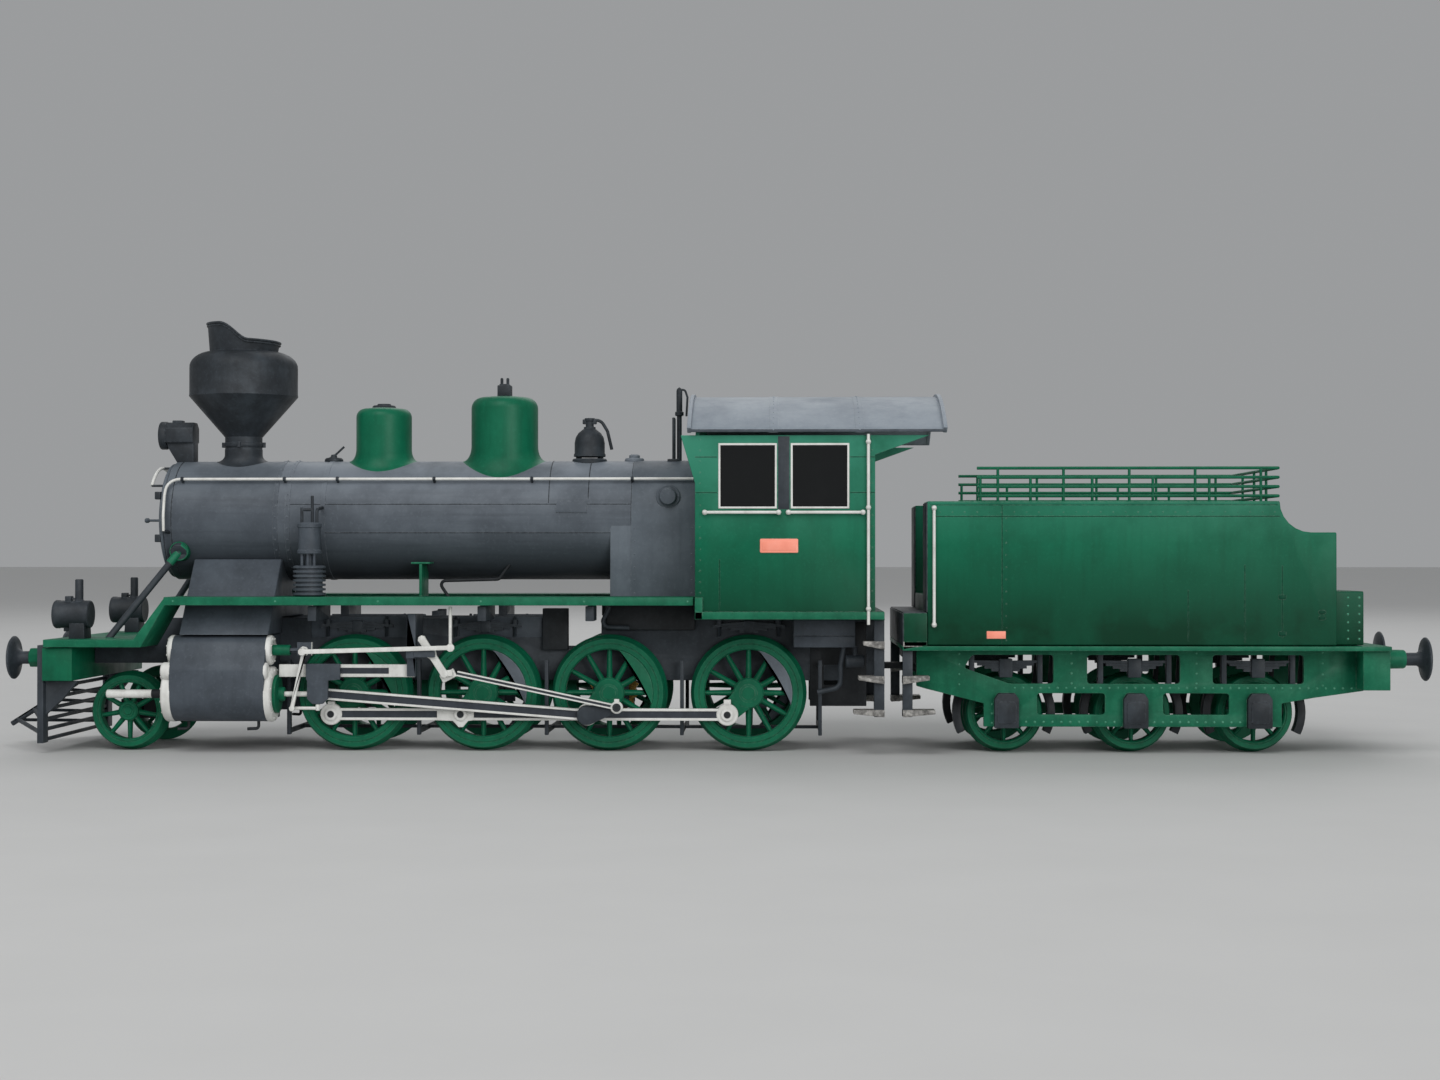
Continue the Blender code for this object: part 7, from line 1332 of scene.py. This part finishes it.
def axle_gear(x, side):
    """One tender axle's box with its lid, the spring over it on two hangers, and the brake shoes."""
    box = [(x - 4.3, 9.3), (x + 4.3, 9.3), (x + 4.3, 19.6), (x + 2.9, 21.6), (x - 2.9, 21.6), (x - 4.3, 19.6)]
    lid = rounded(rectangle((x - 3.2, 11.0), (x + 3.2, 18.6)), 1.2)
    parts = [(prism(box, "XZ", *side_span(side, PLATE_Y - 0.2, 36.3), bevel=0.4), SOOT),
             (prism(lid, "XZ", *side_span(side, 36.0, 36.8), bevel=0.2), SOOT)]
    spring, finish = grown(LEAVES, bpy.data.meshes.new("axle"), SPRING_GREY,
                           {"Half length": 12.4, "Leaf width": 2.4, "Camber": 0.2, "Leaves": 5,
                            "Leaf thickness": 0.95})
    spring.transform(Matrix.Translation((x, side * 31.0, 32.4)))
    parts.append((spring, finish))
    low, high = side_span(side, 29.4, 32.9)
    parts.append((block((x - 2.3, low, 27.0), (x + 2.3, high, 33.6), 0.3), SPRING_GREY))
    for dx in (-12.0, 12.0):
        parts.append((block((x + dx - 0.9, low, 24.6), (x + dx + 0.9, high, 35.2), 0.25), SPRING_GREY))
    low, high = side_span(side, 21.2, 25.8)
    for way, start in ((-1, 154.0), (1, -26.0)):
        shoe = circle((x, TENDER_Z), 15.4, 8, start, 52) + circle((x, TENDER_Z), 18.2, 8, start + 52, -52)
        parts.append((prism(shoe, "XZ", low, high, bevel=0.25), IRON))
        hanger = bar((x + way * 16.3, 17.5), (x + way * 17.6, 37.2), 1.8, *side_span(side, 22.6, 24.4))
        parts.append((hanger, IRON))
    return parts


def tender_frame():
    """Plate frames with axle boxes and leaf springs, footplate, steps and buffer beam."""
    parts = [(block((67.0, -45.0, 36.9), (236.0, 45.0, 38.5), 0.25), GREEN_FRAME),
             (block((67.3, -45.0, 38.3), (75.5, 45.0, 50.0), 0.3), GREEN),
             (block((67.0, -44.6, 38.7), (67.6, 44.6, 49.8), 0.15), SPRING_GREY),
             (block((67.3, -44.7, 49.8), (75.4, 44.7, 50.2), 0.15), SPRING_GREY),
             (block((70.1, -32.6, 31.8), (78.5, 32.6, 37.1), 0.4), IRON),
             (lathe([(0, 27.4), (1.5, 27.4), (1.8, 27.7), (1.8, 32.0), (0, 32.0)], (74.5, 0, 0), "Z", 24), IRON)]
    bores = [circle((side * 30.0, 33.5), 2.45, 28) for side in SIDES.values()]
    parts.append((prism(rectangle((-43.0, 23.2), (43.0, 37.1)), "YZ", 226.6, 236.0, bores, bevel=0.25), GREEN_FRAME))
    rows = []
    for side in SIDES.values():
        y = side * PLATE_Y
        way = Vector((0, side, 0))
        holes = [rounded(hole, 1.2) for hole in FRAME_HOLES]
        holes += [circle((x, TENDER_Z), 1.8, 20) for x in TENDER_XS]
        parts.append((prism(FRAME_PLATE, "XZ", *side_span(side, PLATE_Y - 2.0, PLATE_Y), holes, bevel=0.25), GREEN_FRAME))
        for x in TENDER_XS:
            parts += axle_gear(x, side)
        parts += ladder((67.1, 70.5), 37.2, (75.4, 76.4, 78.4), side)
        collar = [(2.45, 235.6), (4.3, 235.6), (4.3, 236.7), (3.4, 237.3), (3.3, 243.9), (3.0, 244.4), (2.45, 244.4),
                  (2.45, 235.6)]
        parts.append((lathe(collar, (0, side * 30.0, 33.5), "X", 32), GREEN_FRAME))
        rows += [([(x, y, low), (end, y, high)], way) for x, low, end, high in FRAME_RIVETS]
    parts.append(rivets(rows, GREEN_RIVET_HIGHLIGHT, 3.0, 0.34, 0.25))
    faces =[([(236.0, side * 40.0, z), (236.0, side * 4.0, z)], Vector((1, 0, 0)))
             for side in SIDES.values() for z in (25.0, 35.6)]
    parts.append(rivets(faces, GREEN_FRAME, 4.0, 0.45, 0.3))
    piece("tender_frames", "tender", parts, ["tender_frame"])


def materials_on_kept_nodes():
    for node, finish in (("cab_glazing", CAB_GLASS), ("motor", STEEL), ("worm_shaft", BRASS), ("drive_gear", BRASS)):
        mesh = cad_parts[node].data
        mesh.materials.clear()
        mesh.materials.append(finish)


def studio():
    """Camera at the photograph's place, a pale floor that runs out of sight, and soft light."""
    view = bpy.data.cameras.new("view")
    view.lens, view.sensor_width = 55.15, 36.0
    view.clip_start, view.clip_end = 0.01, 100.0
    camera = bpy.data.objects.new("view", view)
    camera.location = (0.0284395, -0.814467, 0.070233)
    camera.rotation_euler = (math.radians(90.3896), 0.0, math.radians(1.558))
    bpy.context.scene.collection.objects.link(camera)
    bpy.context.scene.camera = camera
    bm = bmesh.new()
    bmesh.ops.create_grid(bm, x_segments=8, y_segments=8, size=12.0)
    mesh = bpy.data.meshes.new("studio_floor")
    bm.to_mesh(mesh)
    bm.free()
    floor_paint, tree = new_material("pale_studio_paper")
    place = add(tree, "ShaderNodeTexCoord").outputs["Object"]
    pulp = add(tree, "ShaderNodeTexNoise", {"Vector": place, "Scale": per_mm(40.0), "Detail": 3.0})
    tone = add(tree, "ShaderNodeMix", {0: pulp.outputs[0], 6: linear("#c6c6c5"), 7: linear("#cccccb")}, data_type="RGBA")
    shader = add(tree, "ShaderNodeBsdfPrincipled", {"Base Color": tone.outputs[2], "Roughness": 0.8})
    add(tree, "ShaderNodeOutputMaterial", {0: shader.outputs[0]})
    mesh.materials.append(floor_paint)
    floor = bpy.data.objects.new("studio_floor", mesh)
    bpy.context.scene.collection.objects.link(floor)
    aim = (0, 0, 0.06)
    for name, kind, place, size, power in (("key_light", "AREA", (-0.4, -1.5, 1.5), 1.4, 20.0),
                                           ("fill_light", "SUN", (0.9, -1.5, 0.45), math.radians(31.0), 1.0),
                                           ("back_light", "AREA", (0.1, 1.2, 1.3), 1.4, 7.0)):
        lamp = bpy.data.lights.new(name, kind)
        lamp.energy = power
        if kind == "SUN":
            lamp.angle = size
        else:
            lamp.size = size
        obj = bpy.data.objects.new(name, lamp)
        obj.location = place
        obj.rotation_euler = (Vector(aim) - Vector(place)).to_track_quat("-Z", "Y").to_euler()
        bpy.context.scene.collection.objects.link(obj)
    world = bpy.data.worlds.new("studio_air")
    world.use_nodes = True
    world.node_tree.nodes.clear()
    air = add(world.node_tree, "ShaderNodeBackground", {"Color": linear("#e4e6e8"), "Strength": 0.42})
    add(world.node_tree, "ShaderNodeOutputWorld", {0: air.outputs[0]})
    bpy.context.scene.world = world
    bpy.context.scene.view_settings.view_transform = "Standard"


def build():
    for index in range(4):
        driver(index)
    carrying("leading_wheels", "pony_wheels", "pony_wheelset", PONY_X, PONY_Z, PONY_R, 9, 24.0)
    for i, x in enumerate(TENDER_XS, 1):
        carrying(f"tender_wheel_pair_{i}", f"tender_wheels_{i}", f"tender_wheelset_{i}", x, TENDER_Z, TENDER_R, 9, 33.0)
    for name, side in SIDES.items():
        coupling_rod(name, side)
        main_rod(name, side)
        eccentric_rod(name, side)
        motion(name, side)
        cylinder(name, side)
    boiler()
    smokebox_door()
    domes()
    chimney()
    boiler_top()
    air_pump()
    handrails()
    front_lamps()
    front_end()
    buffers()
    underframe()
    cab()
    cab_roof()
    tender_body()
    tender_frame()
    materials_on_kept_nodes()
    studio()


build()
